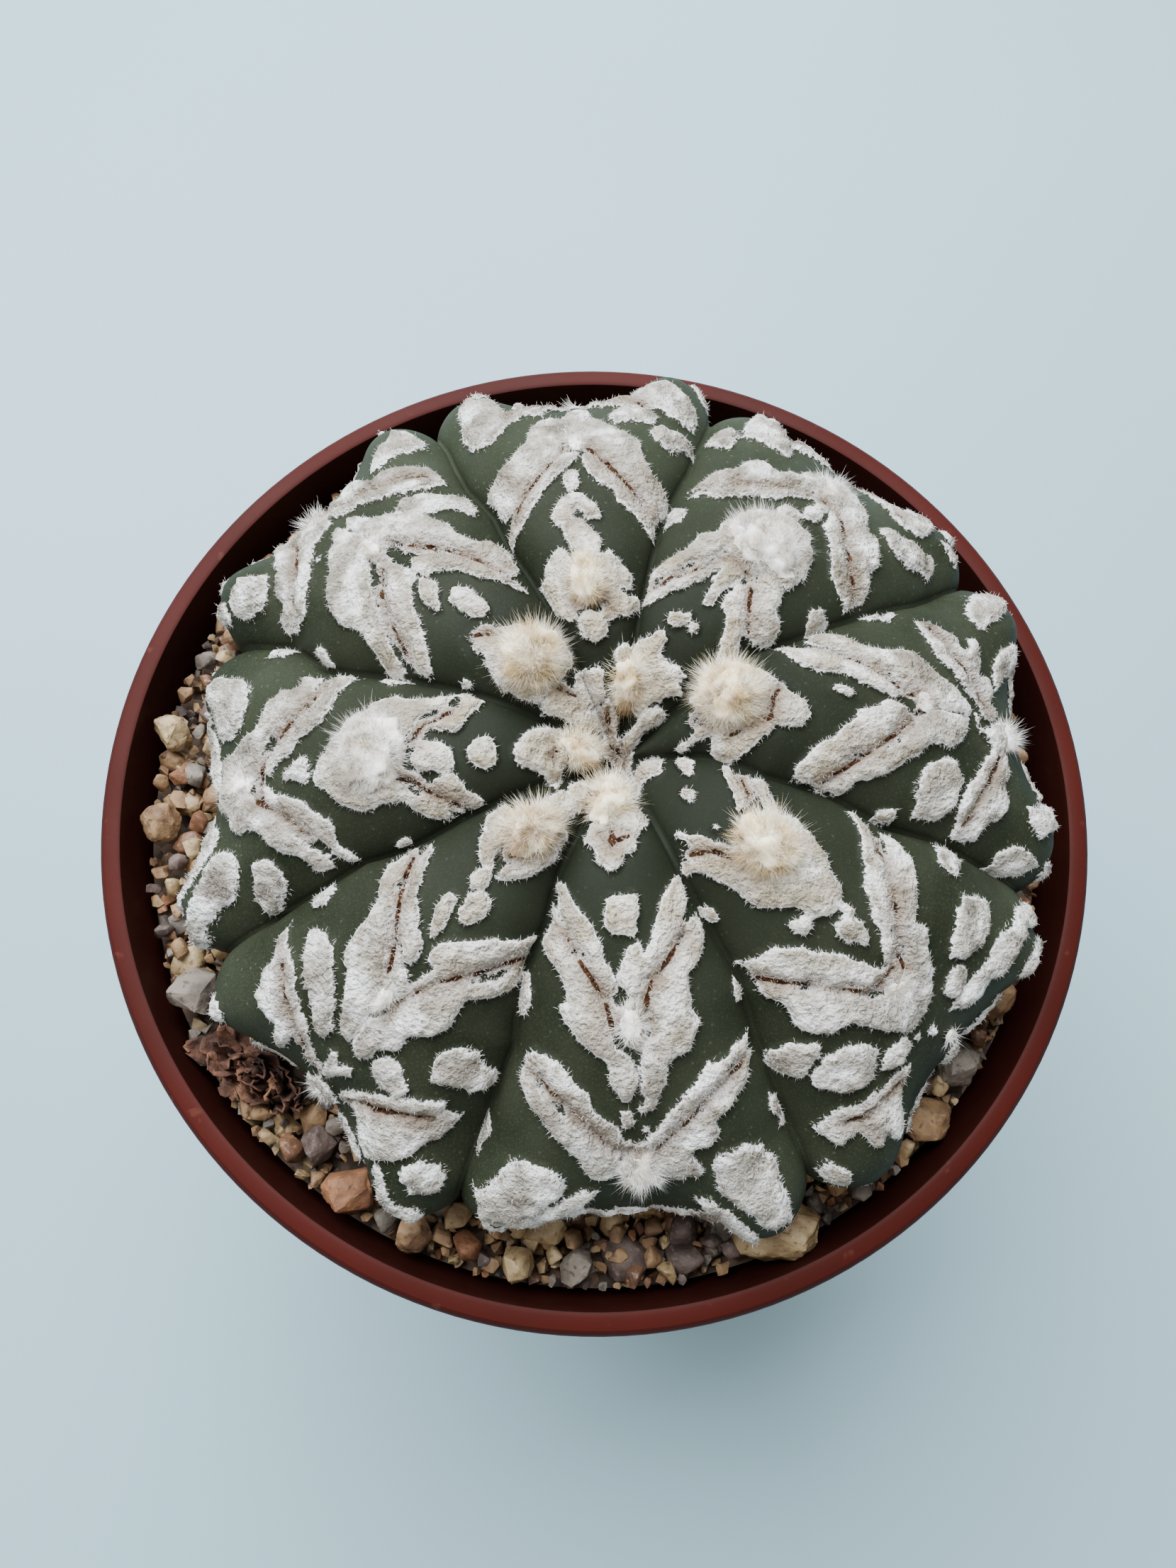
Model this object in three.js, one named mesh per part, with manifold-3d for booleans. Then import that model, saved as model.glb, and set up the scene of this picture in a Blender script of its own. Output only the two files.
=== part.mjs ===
// A super kabuto star cactus in a round plastic pot: pot, mineral fill, loose stones, a dried flower
// and the plant. Millimetres, +Z up. The origin is at the middle of the pot's base, on the surface.
import * as THREE from "three";
import { mergeVertices } from "three/addons/utils/BufferGeometryUtils.js";
import Module from "manifold-3d";

// The pot
const POT_HEIGHT = 90;
const RIM_RADIUS = 52.9;
const LIP_WIDTH = 2.2;
const COLLAR_HEIGHT = 11.5;
const WALL = 1.7;
const BASE_RADIUS = 39;
const FOOT_HEIGHT = 3;
const FOOT_WIDTH = 3.5;
const DRAIN_RADIUS = 4;
const DRAIN_CIRCLE = 24;
const OUTER_DRAINS = 6;
const POT_SIDES = 56;

// The mineral fill and what lies on it
const FILL_DEPTH = 6.4;
const FILL_TILT = 0.5;
const GAP = 0.32;
const SEAT_GAP = 0.42;
const GRAIN_COUNT = 40;
const BED_SIDES = 64;
const GRAIN_RADIUS = [1.8, 3.2];
const GRAIN_RING = [38.5, 47.9];
const GOLDEN_ANGLE = 2.39996;

// The plant, whose heights count from the top of the rim
const BODY_RADIUS = 43;
const BODY_CENTRE = [2.2, 1.4];
const APEX_CENTRE = [1.7, 0.2];
const WIDEST_LEVEL = 3;
const RISE_ABOVE = 18.5;
const DROP_BELOW = 17;
const ROUNDNESS = 2.3;
const APEX_DIP = [6, 7.5];
const GROOVE_DEPTH = [1.2, 4.4];
const CREST_FLAT = 1.3;
const SECTION_POWERS = [2.3, 0.62];
const FLANK_FROM = [40, 51];
const FLANK_MIDDLE = 0.68;
const FLANK_HALF = 0.28;
const FORM_FADE = 24;
const FLOCK_THICKNESS = 0.7;
const FLOCK_EDGE = [-0.35, 0.45];
const CREASE_DEPTH = 1;
const CREASE_HALF = 1.7;
const CHEVRON_RISE = 8.5;
const SOIL_LINE = 58;
const SKIN_COLUMNS = 13;
const SKIN_ROW = 2.05;
const HOLE_COLUMNS = 11;
const HOLE_CLEARANCE = 1.25;
const ROOT_RADIUS = 10;
const ROOT_TIP = 1.5;
const ROOT_LENGTH = 46;

// Where each groove between two ribs runs: distance from the apex along the surface in millimetres,
// and the direction in degrees round the plant. The ribs are lettered clockwise from the far side.
const GROOVES = {
  CD: [[0, 4], [6, 1], [10, -5], [14, -11], [21, -11.5], [27, -13.8], [33, -12.3], [60, -13]],
  BC: [[0, 44], [14, 42], [16, 40.5], [20, 36.5], [27, 35], [38, 33], [46, 33.5], [60, 34]],
  AB: [[0, 90], [15, 87.5], [23, 85.5], [29, 83.5], [34, 81.5], [46, 80], [60, 80]],
  HA: [[0, 122], [13, 123], [25, 123.8], [30, 122.5], [36, 123.5], [46, 122], [60, 122]],
  GH: [[0, 165], [14, 166], [21, 167.5], [33, 168.3], [36, 166.5], [40, 164.5], [60, 166]],
  FG: [[0, 210], [22, 211], [26, 210], [29, 208.5], [35, 209], [60, 209]],
  EF: [[0, 246], [15, 247.5], [20, 250.3], [25, 249.7], [32, 253.5], [40, 253], [60, 253]],
  DE: [[0, 295], [14, 295], [20, 296.5], [26, 298.3], [32, 297.2], [60, 298.5]],
};
const RIBS = ["C", "B", "A", "H", "G", "F", "E", "D"];
const RIB_GROOVES = ["CD", "BC", "AB", "HA", "GH", "FG", "EF", "DE"];
const RIB_SWELL = { A: 0.3, B: -0.2, C: -0.6, D: 0.3, E: 0, F: 0.8, G: -0.5, H: 1 };

// How far each rib's two flanks swell low on the plant: the clockwise flank, then the other.
const FLANK_SWELL = {
  A: [3.6, 2.5],
  B: [1.8, 1.4],
  C: [2.6, 3.2],
  D: [3.0, 2.1],
  E: [1.2, 3.4],
  F: [2.3, 3.2],
  G: [1.7, 3.0],
  H: [2.7, 3.6],
};

// How far each groove fills up again low on the plant.
const GROOVE_FILL = { CD: 2, BC: 2.8, AB: 2.6, HA: 4, GH: 2.2, FG: 3.2, EF: 4.2, DE: 3 };
const GROOVE_FILL_FROM = [42, 52];
const GROOVE_FILL_HALF = 6;

// The white markings of each rib. A point is its place across the rib, counterclockwise positive, and
// its distance from the apex along the crest, in millimetres. flock: outlines of the raised white
// patches. cleft: the creases that split a chevron's arms. wool: place across and along, half width,
// half length and height of each areole's tuft.
const PATTERN = {
  A: {
    flock: [
      "-0.8 11.0, 0.6 10.6, 1.8 11.4, 2.4 13.0, 1.6 14.2, 0.2 13.6, -0.8 12.2",
      "-3.8 14.0, -2.6 12.8, -1.2 13.0, -0.2 14.2, 0.0 16.2, 0.6 17.8, -0.4 19.0, -1.8 19.2, -2.6 18.0," +
      " -3.8 17.0, -3.4 15.6, -2.0 15.6, -2.6 15.0, -3.8 14.8",
      "1.6 13.0, 3.0 13.6, 4.2 15.0, 5.2 17.8, 4.8 19.4, 3.4 20.4, 2.6 20.8, 1.8 19.0, 2.0 17.0, 2.4 15.4",
      "0.0 14.2, 1.4 14.0, 1.8 16.4, 1.8 19.4, 2.4 21.2, 2.2 22.6, 0.8 23.2, -0.4 22.0, -1.2 20.6," +
      " -0.8 18.8",
      "-1.4 22.6, -0.2 22.8, 0.6 23.8, 1.6 22.8, 2.6 22.8, 3.2 24.2, 2.6 25.4, 1.4 25.9, 0.0 25.8," +
      " -1.2 24.8",
      "0.2 27.0, 1.0 26.4, 1.8 27.4, 1.6 28.8, 0.9 29.3, 0.2 28.6",
      "-6.8 21.8, -5.6 22.4, -4.6 23.8, -3.2 25.4, -1.8 27.0, -0.6 28.8, 0.0 30.4, -0.4 31.8, -1.6 30.8," +
      " -2.8 29.0, -4.2 27.2, -5.8 25.4, -7.2 23.6",
      "-7.2 24.0, -8.4 26.0, -8.9 28.2, -7.4 29.4, -6.2 31.0, -6.2 33.0, -5.2 34.8, -3.8 35.8, -3.0 37.4," +
      " -2.4 38.6, -1.0 38.4, -0.4 37.0, -0.3 34.0, -0.4 32.6, -2.0 31.2, -3.6 29.0, -5.2 27.0, -6.8 25.2",
      "7.8 24.4, 6.6 24.8, 5.2 26.2, 3.8 27.6, 2.2 28.9, 0.6 30.4, 0.2 31.8, 1.4 32.0, 2.8 31.0," +
      " 4.4 29.4, 6.2 27.6, 7.6 26.2, 8.2 25.4",
      "8.2 27.0, 9.0 29.2, 9.6 30.6, 10.2 32.2, 8.6 33.2, 6.8 34.2, 5.4 35.2, 5.0 37.0, 4.2 38.8," +
      " 2.6 39.2, 1.4 38.8, 0.8 37.2, 0.9 34.0, 1.0 32.4, 2.6 31.6, 4.4 30.0, 6.4 28.0",
      "-0.6 33.0, 0.6 32.6, 1.2 34.4, 1.2 37.0, 1.6 39.2, 0.8 40.8, -0.2 41.2, -1.2 40.6, -2.0 39.4," +
      " -1.2 38.6, -0.6 36.0",
      "-13.8 38.2, -11.6 36.0, -9.4 34.2, -8.0 34.2, -7.4 35.6, -8.6 37.0, -10.6 38.0, -12.4 38.8",
      "-8.8 39.2, -8.2 37.6, -6.0 37.2, -4.0 37.0, -3.4 38.6, -4.6 40.2, -6.6 40.6, -8.2 40.4",
      "-13.6 41.8, -11.0 41.0, -8.6 41.2, -6.4 41.6, -5.4 42.6, -6.0 44.8, -8.0 46.0, -12.0 46.0," +
      " -13.8 44.4",
      "7.0 40.6, 7.6 38.8, 8.8 38.2, 10.6 39.2, 12.0 41.2, 12.6 43.6, 12.6 46.4, 11.0 47.8, 8.6 46.0," +
      " 7.4 43.4",
      "3.4 41.4, 5.0 41.8, 6.2 43.0, 6.8 45.0, 6.0 47.0, 4.6 45.4, 3.6 43.2",
    ],
    cleft: [
      "-1.0 13.4, -0.2 15.2", "1.9 14.8, 2.3 16.8",
      "-6.6 24.8, -4.6 26.9, -3.0 28.9, -1.6 31.0, -0.8 32.8",
      "7.2 26.6, 5.0 28.9, 3.2 30.8, 1.8 32.2, 1.5 34.6",
    ],
    wool: [[0.8, 16.4, 1.5, 2.6, 1.6], [0.3, 33.8, 1.1, 2.2, 0.8]],
  },
  B: {
    flock: [
      "-0.9 3.0, 0.0 2.6, -0.2 4.4, -0.9 6.0, -1.6 5.8, -1.3 4.0",
      "0.2 4.0, 1.2 4.6, 2.2 7.0, 3.2 10.0, 3.6 10.8, 2.4 12.0, 1.5 11.4, 0.6 9.8, -0.6 10.2, -2.0 9.6," +
      " -1.6 8.6, -2.4 7.8, -1.4 7.0, -0.2 6.2",
      "-1.0 13.2, -0.4 12.6, 0.4 13.2, 1.0 12.6, 2.0 13.0, 2.3 14.0, 1.4 14.2, 0.6 14.4, 0.0 13.8," +
      " -0.8 14.2",
      "-4.6 12.6, -3.6 12.2, -3.2 14.4, -2.0 16.0, -1.0 16.4, -0.8 17.6, -1.4 19.2, -2.6 18.4, -3.8 16.8," +
      " -4.8 15.2",
      "-5.8 16.2, -7.2 18.0, -6.4 19.2, -5.2 20.2, -4.4 22.0, -3.0 22.4, -1.8 21.2, -2.2 19.6, -3.4 18.0," +
      " -4.6 16.6",
      "-0.5 15.9, 0.2 15.6, 0.6 17.4, 1.4 19.4, 1.2 20.6, -0.4 20.8, -1.4 19.9, -0.6 18.2",
      "5.4 14.4, 4.0 15.0, 2.8 16.2, 1.6 17.6, 1.5 19.4, 2.0 19.4, 3.4 18.0, 4.8 16.6, 6.0 15.6",
      "6.6 17.0, 7.0 18.6, 6.2 19.8, 5.4 20.8, 5.4 22.4, 4.2 23.4, 2.0 22.6, 1.9 20.8, 3.6 19.0, 5.2 17.4",
      "-5.0 22.0, -5.4 24.6, -4.4 27.0, -2.8 28.4, -0.4 28.6, 2.0 28.0, 3.6 26.4, 4.2 24.2, 3.8 22.2," +
      " 1.0 21.0, -2.4 21.2",
      "-0.8 28.6, 0.6 28.0, 1.4 29.2, 0.9 30.4, 0.0 30.4, -0.8 29.6",
      "-1.9 30.4, -1.0 29.8, -0.4 31.2, -0.6 33.2, -1.8 33.4, -2.2 31.8",
      "-9.9 21.6, -8.4 22.2, -7.4 23.4, -8.4 24.6, -10.2 25.0",
      "8.2 24.4, 9.4 23.8, 10.2 25.4, 10.6 27.0, 9.2 26.4, 8.2 25.4",
      "-10.6 27.4, -8.8 26.8, -7.0 27.2, -5.6 28.4, -4.2 29.8, -2.8 31.4, -2.0 33.0, -2.0 33.8," +
      " -3.2 33.4, -4.8 31.8, -6.6 30.2, -8.4 29.0, -10.4 28.4",
      "-11.4 29.4, -10.6 31.2, -9.4 31.8, -9.4 33.6, -8.0 34.6, -6.4 35.0, -5.6 36.2, -4.8 37.6," +
      " -3.6 38.6, -2.2 39.2, -1.2 40.4, -1.0 38.0, -1.2 35.4, -2.4 34.6, -4.0 33.2, -6.2 31.2," +
      " -8.6 29.8, -10.6 29.0",
      "9.8 27.8, 8.0 28.0, 6.2 27.8, 4.8 28.4, 3.0 29.8, 1.6 31.4, 0.6 32.8, 0.4 34.0, 1.6 33.4," +
      " 3.0 31.8, 5.0 30.4, 7.4 29.4, 9.6 29.0",
      "10.4 29.2, 10.2 30.8, 9.4 32.6, 8.0 32.4, 8.2 34.2, 6.6 35.4, 4.8 34.8, 3.4 36.2, 2.6 38.2," +
      " 2.4 40.0, 1.0 38.8, 0.6 36.8, 0.8 34.8, 2.2 33.4, 4.0 31.6, 6.6 30.4, 9.0 29.6",
      "-2.4 35.4, -0.6 34.6, 1.4 35.2, 1.8 37.4, 1.2 39.8, -0.4 40.6, -2.0 39.4, -2.8 37.4",
      "-14.2 41.0, -12.8 39.4, -11.6 37.8, -9.6 36.4, -7.2 36.4, -6.4 37.4, -8.4 38.8, -9.6 40.6," +
      " -11.4 41.6, -12.4 43.2, -14.0 43.0",
      "5.0 38.4, 7.2 39.4, 9.4 40.0, 11.4 41.4, 12.4 43.6, 12.6 46.0, 10.6 47.0, 8.4 45.6, 7.0 43.4," +
      " 6.0 41.2",
      "11.2 37.4, 13.0 38.4, 15.0 40.4, 15.6 42.4, 15.0 43.6, 13.2 43.2, 12.0 41.0",
      "-10.8 44.6, -9.6 42.8, -7.4 42.0, -6.0 43.4, -6.6 46.0, -8.6 47.6, -10.6 46.8",
      "-11.7 45.9, -13.1 46.4, -14.6 46.8, -15.7 47.6, -15.0 48.2, -13.4 47.2",
    ],
    cleft: [
      "-4.6 16.6, -3.2 18.0, -2.2 19.6", "5.4 16.6, 3.4 18.2, 2.0 19.6", "-1.4 20.4, 0.6 21.0, 1.8 20.4",
      "-10.0 28.8, -7.4 30.2, -4.6 32.2, -2.4 34.0, -0.6 34.3", "8.8 29.4, 5.0 30.8, 2.4 32.8, 0.6 34.2",
    ],
    wool: [[2.5, 6.8, 2.2, 3.0, 2.4], [-0.5, 24.3, 4.5, 4.0, 2.6], [-0.6, 37.0, 2.4, 2.4, 1.4]],
  },
  C: {
    flock: [
      "-1.4 5.2, -0.8 6.8, 0.0 8.8, 0.6 9.4, -0.6 9.6, -1.4 8.4, -1.8 6.6",
      "-2.6 8.6, -3.8 9.4, -4.0 11.2, -3.2 12.8, -2.2 14.2, -1.6 14.6, -2.0 16.6, -1.0 17.9, 0.4 17.8," +
      " 1.6 16.6, 2.8 16.0, 4.2 15.0, 4.8 13.8, 5.8 13.6, 4.8 11.2, 4.0 9.2, 3.0 8.0, 1.4 8.2, -0.2 9.2",
      "0.6 21.2, 1.4 20.2, 2.2 20.6, 2.2 21.8, 1.2 22.6, 0.6 22.0",
      "-6.8 16.4, -5.4 16.4, -3.8 18.0, -2.8 19.8, -1.8 21.6, -0.4 22.6, 0.0 24.4, 0.6 26.0, 0.2 27.6," +
      " -1.0 27.4, -2.4 25.4, -4.0 23.2, -5.6 21.2, -6.8 19.0",
      "-7.4 19.2, -8.2 21.6, -6.8 23.2, -6.8 24.8, -5.6 26.6, -4.2 28.2, -3.6 30.0, -3.8 32.0, -3.0 33.8," +
      " -1.8 35.0, -0.4 35.8, -0.2 33.0, 0.0 29.8, -0.9 28.7, -2.6 26.8, -4.4 24.2, -6.2 21.7",
      "6.8 17.6, 5.0 18.2, 3.6 19.6, 3.2 21.6, 2.2 23.6, 1.6 25.0, 1.0 26.4, 1.0 27.8, 2.2 27.2," +
      " 3.6 25.2, 5.0 23.0, 6.4 20.8, 7.0 18.8",
      "7.2 20.8, 8.6 22.4, 8.2 24.4, 6.6 26.0, 6.2 27.2, 6.6 29.2, 6.2 30.8, 4.4 31.6, 3.4 32.6," +
      " 2.2 34.4, 0.6 35.6, -0.4 35.8, 0.0 32.0, 0.6 29.6, 2.3 28.1, 4.0 25.9, 5.6 23.6",
      "-11.0 31.2, -10.0 29.6, -8.0 28.7, -6.0 29.0, -4.7 30.6, -4.9 32.6, -6.8 33.9, -9.0 33.6," +
      " -10.6 32.6",
      "-10.6 25.6, -9.4 25.8, -9.2 27.0, -10.2 27.9, -11.2 28.0",
      "10.2 30.6, 11.4 31.0, 12.2 33.2, 11.0 32.4", "10.8 29.2, 11.8 29.4, 12.0 31.0, 11.0 30.8",
      "-12.4 34.4, -10.8 34.4, -8.4 34.0, -7.0 34.6, -5.8 36.0, -4.4 37.4, -3.0 39.2, -2.4 38.2," +
      " -1.4 37.8, -0.6 39.2, -0.2 41.8, -1.8 42.4, -3.6 40.8, -5.6 41.0, -7.4 40.4, -9.4 40.6," +
      " -10.6 39.6, -10.8 38.4, -12.4 37.8, -12.8 36.4",
      "0.0 38.2, 1.6 37.4, 2.8 35.8, 4.6 34.2, 6.6 33.0, 8.4 33.4, 10.2 33.8, 10.6 34.8, 9.6 36.4," +
      " 8.4 37.2, 6.8 36.8, 7.0 38.0, 8.6 39.4, 7.8 40.2, 5.6 39.4, 4.2 38.6, 4.8 40.2, 3.4 40.6," +
      " 1.6 39.8, 0.4 40.8, -0.4 39.8",
      "-0.9 36.8, 0.2 36.7, -0.2 37.4", "-1.9 36.9, -1.3 36.7, -1.5 37.4",
      "-16.6 43.4, -15.8 42.2, -14.0 42.2, -13.0 43.6, -13.4 45.8, -14.6 47.8, -16.2 46.8",
      "-12.0 46.2, -10.4 44.2, -9.0 43.8, -8.6 46.0, -8.0 49.0, -10.6 48.6",
      "3.4 42.0, 5.8 42.4, 7.8 44.6, 8.8 47.6, 8.0 50.4, 6.2 48.4, 5.2 45.6",
      "9.6 42.6, 11.4 42.0, 13.2 43.4, 14.8 45.8, 15.2 48.8, 13.0 48.6, 11.2 45.8",
      "-13.6 49.2, -14.4 48.6, -15.4 50.0, -15.6 51.4, -14.6 51.2",
    ],
    cleft: [
      "-1.9 10.6, -1.5 12.6, -0.8 14.4, 1.0 14.8, 1.6 15.6",
      "-6.8 19.8, -4.7 22.9, -2.5 26.0, -0.8 28.2, 0.0 29.4",
      "5.6 22.6, 4.4 24.6, 2.6 26.8, 1.5 28.2, 1.2 29.8",
      "-11.2 35.6, -8.2 36.4, -5.8 38.2, -3.8 39.8", "9.4 35.0, 6.0 35.6, 3.0 37.6, 1.0 38.8",
    ],
    wool: [[1.9, 11.5, 2.8, 2.9, 2.8], [0.5, 29.8, 1.2, 1.2, 0.5], [-1.8, 42.0, 1.6, 1.9, 1.1]],
  },
  D: {
    flock: [
      "1.2 6.2, 1.9 5.2, 2.8 5.6, 2.9 7.0, 2.0 7.8, 1.3 7.2",
      "-0.7 7.8, 0.0 7.6, 0.2 8.6, -0.4 9.6, -0.9 9.0",
      "-4.2 10.4, -3.4 10.6, -2.6 12.4, -2.0 13.6, -3.0 13.8, -4.0 12.6",
      "-5.4 12.8, -6.2 14.6, -5.0 15.4, -4.8 17.0, -4.6 18.6, -4.6 20.6, -3.2 22.0, -2.2 22.8, -2.0 24.2," +
      " -0.6 25.2, 0.8 25.2, 2.0 24.6, 2.4 22.8, 3.2 21.8, 4.0 19.6, 4.2 17.2, 3.2 15.8, 1.2 15.4," +
      " -1.6 15.0, -3.0 14.6, -4.2 13.8",
      "3.8 9.8, 4.4 10.4, 3.6 12.0, 2.2 13.4, 1.2 13.2, 2.4 11.6",
      "4.4 12.4, 5.8 14.0, 4.6 15.4, 3.4 16.4, 2.4 15.6, 3.4 14.0",
      "-1.8 12.6, -1.2 11.6, -0.6 12.6, -1.2 13.4",
      "0.2 25.2, 1.4 25.4, 1.2 26.6, 0.2 27.0", "-8.4 18.0, -7.2 18.2, -7.2 19.8, -8.0 20.2",
      "-4.2 23.2, -3.2 22.8, -2.0 23.8, -2.6 24.8, -3.6 25.0, -4.2 24.2",
      "-1.8 26.8, -1.0 26.0, 0.2 26.4, 1.0 27.6, 0.8 28.8, 0.0 29.7, -0.8 28.6, -1.6 28.0",
      "-9.6 24.0, -8.0 24.6, -6.2 24.4, -4.4 25.6, -3.6 26.8, -2.2 28.4, -1.6 30.2, -1.0 31.6, -1.2 33.0," +
      " -2.6 32.4, -3.8 30.8, -5.2 29.0, -6.8 27.4, -8.8 25.8",
      "-9.8 26.4, -10.0 28.2, -9.2 29.4, -9.9 31.2, -9.4 32.8, -8.0 33.9, -6.2 34.0, -5.2 35.4," +
      " -4.6 37.0, -3.4 38.6, -1.8 39.6, -0.4 39.2, -0.4 36.4, -1.6 34.6, -3.0 33.4, -4.6 31.6," +
      " -6.2 29.4, -8.2 27.2",
      "8.8 22.8, 7.4 24.0, 5.4 24.8, 3.6 26.2, 2.4 27.6, 1.4 29.2, 0.6 30.6, 0.0 32.0, 0.4 32.6," +
      " 1.6 31.6, 3.0 30.0, 4.6 28.4, 6.4 26.8, 8.4 25.4, 9.2 24.0",
      "9.6 25.8, 10.2 28.0, 9.4 29.6, 7.6 30.8, 6.0 31.6, 4.6 32.2, 5.0 33.6, 4.0 34.6, 3.2 35.8," +
      " 2.2 37.4, 0.6 38.6, -0.8 39.4, -0.6 37.0, 0.2 34.8, 1.6 33.0, 3.4 31.0, 5.4 29.2, 7.4 27.4",
      "-1.8 33.8, -0.4 33.3, 0.6 33.2, 1.2 34.4, 0.4 36.4, -0.8 37.4, -2.2 36.4, -2.8 35.0",
      "-14.8 35.2, -13.8 33.6, -11.4 33.0, -9.6 34.0, -10.4 35.4, -12.2 36.2, -13.6 37.0",
      "-12.6 38.0, -11.8 36.6, -10.0 35.4, -8.0 35.4, -6.6 36.4, -5.8 37.8, -7.2 39.4, -9.0 40.4," +
      " -11.2 39.8",
      "-7.2 40.2, -6.2 39.0, -4.8 38.6, -3.4 39.4, -3.6 40.6, -5.4 41.2",
      "5.0 37.8, 6.4 36.4, 8.4 36.0, 10.4 36.2, 11.4 37.6, 12.4 39.6, 10.8 40.4, 8.2 40.4, 6.2 39.4",
      "2.0 39.4, 3.2 38.6, 5.0 38.8, 5.8 40.0, 4.6 41.2, 2.6 40.8",
      "10.8 34.2, 11.4 33.0, 13.0 32.6, 14.2 34.2, 15.0 35.8, 13.6 36.2, 11.8 35.2",
      "-2.9 40.2, -2.2 40.2, -2.3 41.0", "-1.2 41.3, -0.4 41.2, -0.5 42.1, -1.1 42.0",
      "-15.6 43.4, -13.6 41.8, -12.0 41.4, -9.6 41.8, -7.4 41.4, -5.6 42.0, -4.0 42.6, -5.6 43.0," +
      " -6.8 43.8, -7.6 45.2, -8.4 46.6, -9.4 48.0, -10.4 46.0, -12.0 45.8, -12.6 44.4, -14.6 44.8",
      "1.6 41.8, 3.4 41.4, 5.6 41.6, 8.0 42.2, 10.6 42.0, 12.2 43.6, 14.4 45.0, 15.6 46.6, 13.4 46.4," +
      " 10.8 45.0, 8.4 44.8, 6.2 44.4, 4.2 43.8, 2.6 43.0",
      "-17.8 48.0, -16.4 46.8, -14.8 47.6, -15.4 49.2, -17.0 49.8",
      "15.1 45.4, 16.6 47.6, 16.1 48.8, 14.6 48.2, 13.4 46.2",
      "14.8 49.7, 13.6 50.4, 10.8 49.4, 9.4 49.0, 10.8 47.4, 13.1 48.0",
    ],
    cleft: [
      "-4.4 13.0, -2.8 14.2, -2.4 15.6", "3.9 12.0, 2.7 13.8, 2.2 14.8",
      "-9.0 26.2, -6.6 28.4, -4.8 30.6, -3.0 32.8, -1.4 33.2, 0.0 32.9",
      "8.0 26.2, 5.4 28.6, 3.2 30.5, 1.4 32.4, 0.8 33.9",
      "-12.6 43.0, -9.6 42.8, -6.6 42.8",
    ],
    wool: [[0.3, 17.0, 2.7, 3.2, 2.2], [-1.0, 35.2, 1.5, 1.7, 0.8], [0.4, 44.8, 0.9, 0.9, 0.6]],
  },
  E: {
    flock: [
      "-2.6 8.6, -3.6 10.8, -2.6 11.4, -2.2 12.9, -0.9 13.9, -0.1 13.4, 0.4 11.9, 1.4 11.3, 1.3 10.0," +
      " 2.6 8.2, 2.0 6.6, 1.0 6.0, -1.0 6.0",
      "-2.0 17.4, -1.4 16.0, 0.2 15.6, 1.4 15.6, 1.3 17.8, 0.5 19.4, -0.6 19.2, -1.9 18.9",
      "-6.2 15.9, -5.0 15.7, -4.1 17.6, -2.7 19.2, -2.1 20.8, -1.4 22.6, -1.0 24.4, -2.0 25.0, -2.9 23.4," +
      " -4.0 21.9, -5.2 20.1, -6.0 18.2",
      "-6.4 17.8, -7.0 19.6, -7.7 21.4, -7.4 22.6, -6.3 24.0, -5.6 25.4, -6.5 26.6, -5.4 28.4, -4.2 29.6," +
      " -2.9 30.3, -2.3 32.4, -1.6 34.2, -0.3 34.4, -0.2 33.0, -0.2 30.2, -1.6 28.9, -2.1 27.0," +
      " -2.3 25.6, -3.3 24.2, -4.4 22.6, -5.6 20.8",
      "0.2 20.2, 1.0 20.0, 1.5 22.2, 0.9 24.2, 0.2 24.9, -0.8 24.2, -1.2 22.6, -0.6 21.2",
      "5.2 14.2, 5.7 15.4, 5.8 17.2, 4.9 19.0, 3.5 21.0, 2.1 22.6, 1.3 23.2, 1.1 21.2, 2.0 19.8," +
      " 2.6 17.6, 3.8 15.8",
      "6.2 17.3, 6.4 19.4, 7.1 20.8, 6.4 22.4, 5.0 23.4, 5.2 24.8, 5.1 26.4, 5.7 27.6, 5.2 29.2," +
      " 3.6 30.2, 2.4 31.6, 1.8 33.2, 0.9 34.0, 0.1 33.4, 0.1 30.4, 1.2 28.6, 1.2 26.0, 1.6 24.2," +
      " 3.1 22.6, 4.7 20.6",
      "-1.6 26.0, -0.4 25.0, 0.8 25.6, 1.1 28.0, 0.2 29.4, -1.2 28.8",
      "-0.2 34.8, 0.6 34.0, 1.5 34.0, 1.2 34.9, 0.2 35.4", "-1.7 35.0, -0.6 34.8, -0.4 36.4, -1.2 36.7",
      "0.2 36.2, 1.0 36.5, 0.9 37.3, 0.2 37.2",
      "-10.8 32.0, -9.4 31.6, -8.0 31.0, -6.8 31.6, -5.6 32.9, -4.4 33.8, -3.6 35.3, -2.2 36.4," +
      " -1.2 38.2, -1.0 39.2, -2.2 38.6, -3.6 37.2, -5.2 35.6, -7.0 34.2, -9.0 33.0",
      "-11.0 31.0, -10.4 32.6, -11.0 34.0, -10.4 35.8, -9.0 36.9, -7.6 38.2, -6.3 39.2, -5.6 40.4," +
      " -4.9 41.2, -4.6 42.9, -3.0 42.8, -2.0 42.4, -1.9 40.6, -0.9 39.9, -2.6 39.2, -4.2 37.7," +
      " -6.0 36.1, -8.0 34.6, -9.8 33.5",
      "10.8 30.4, 9.4 31.0, 7.8 31.4, 6.0 31.4, 4.8 32.6, 3.4 34.2, 2.2 36.2, 1.0 37.8, 0.6 39.1," +
      " 1.5 39.0, 2.8 37.6, 4.4 35.8, 6.2 34.0, 8.4 32.6, 10.2 32.0",
      "10.6 32.4, 10.4 33.6, 9.5 35.2, 8.2 36.2, 6.8 36.9, 7.2 38.2, 6.4 39.2, 5.0 39.9, 5.9 41.2," +
      " 5.8 42.5, 4.2 42.9, 2.6 42.8, 2.2 41.0, 1.4 39.9, 2.9 38.7, 4.7 36.8, 6.7 34.8, 8.9 33.4",
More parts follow.
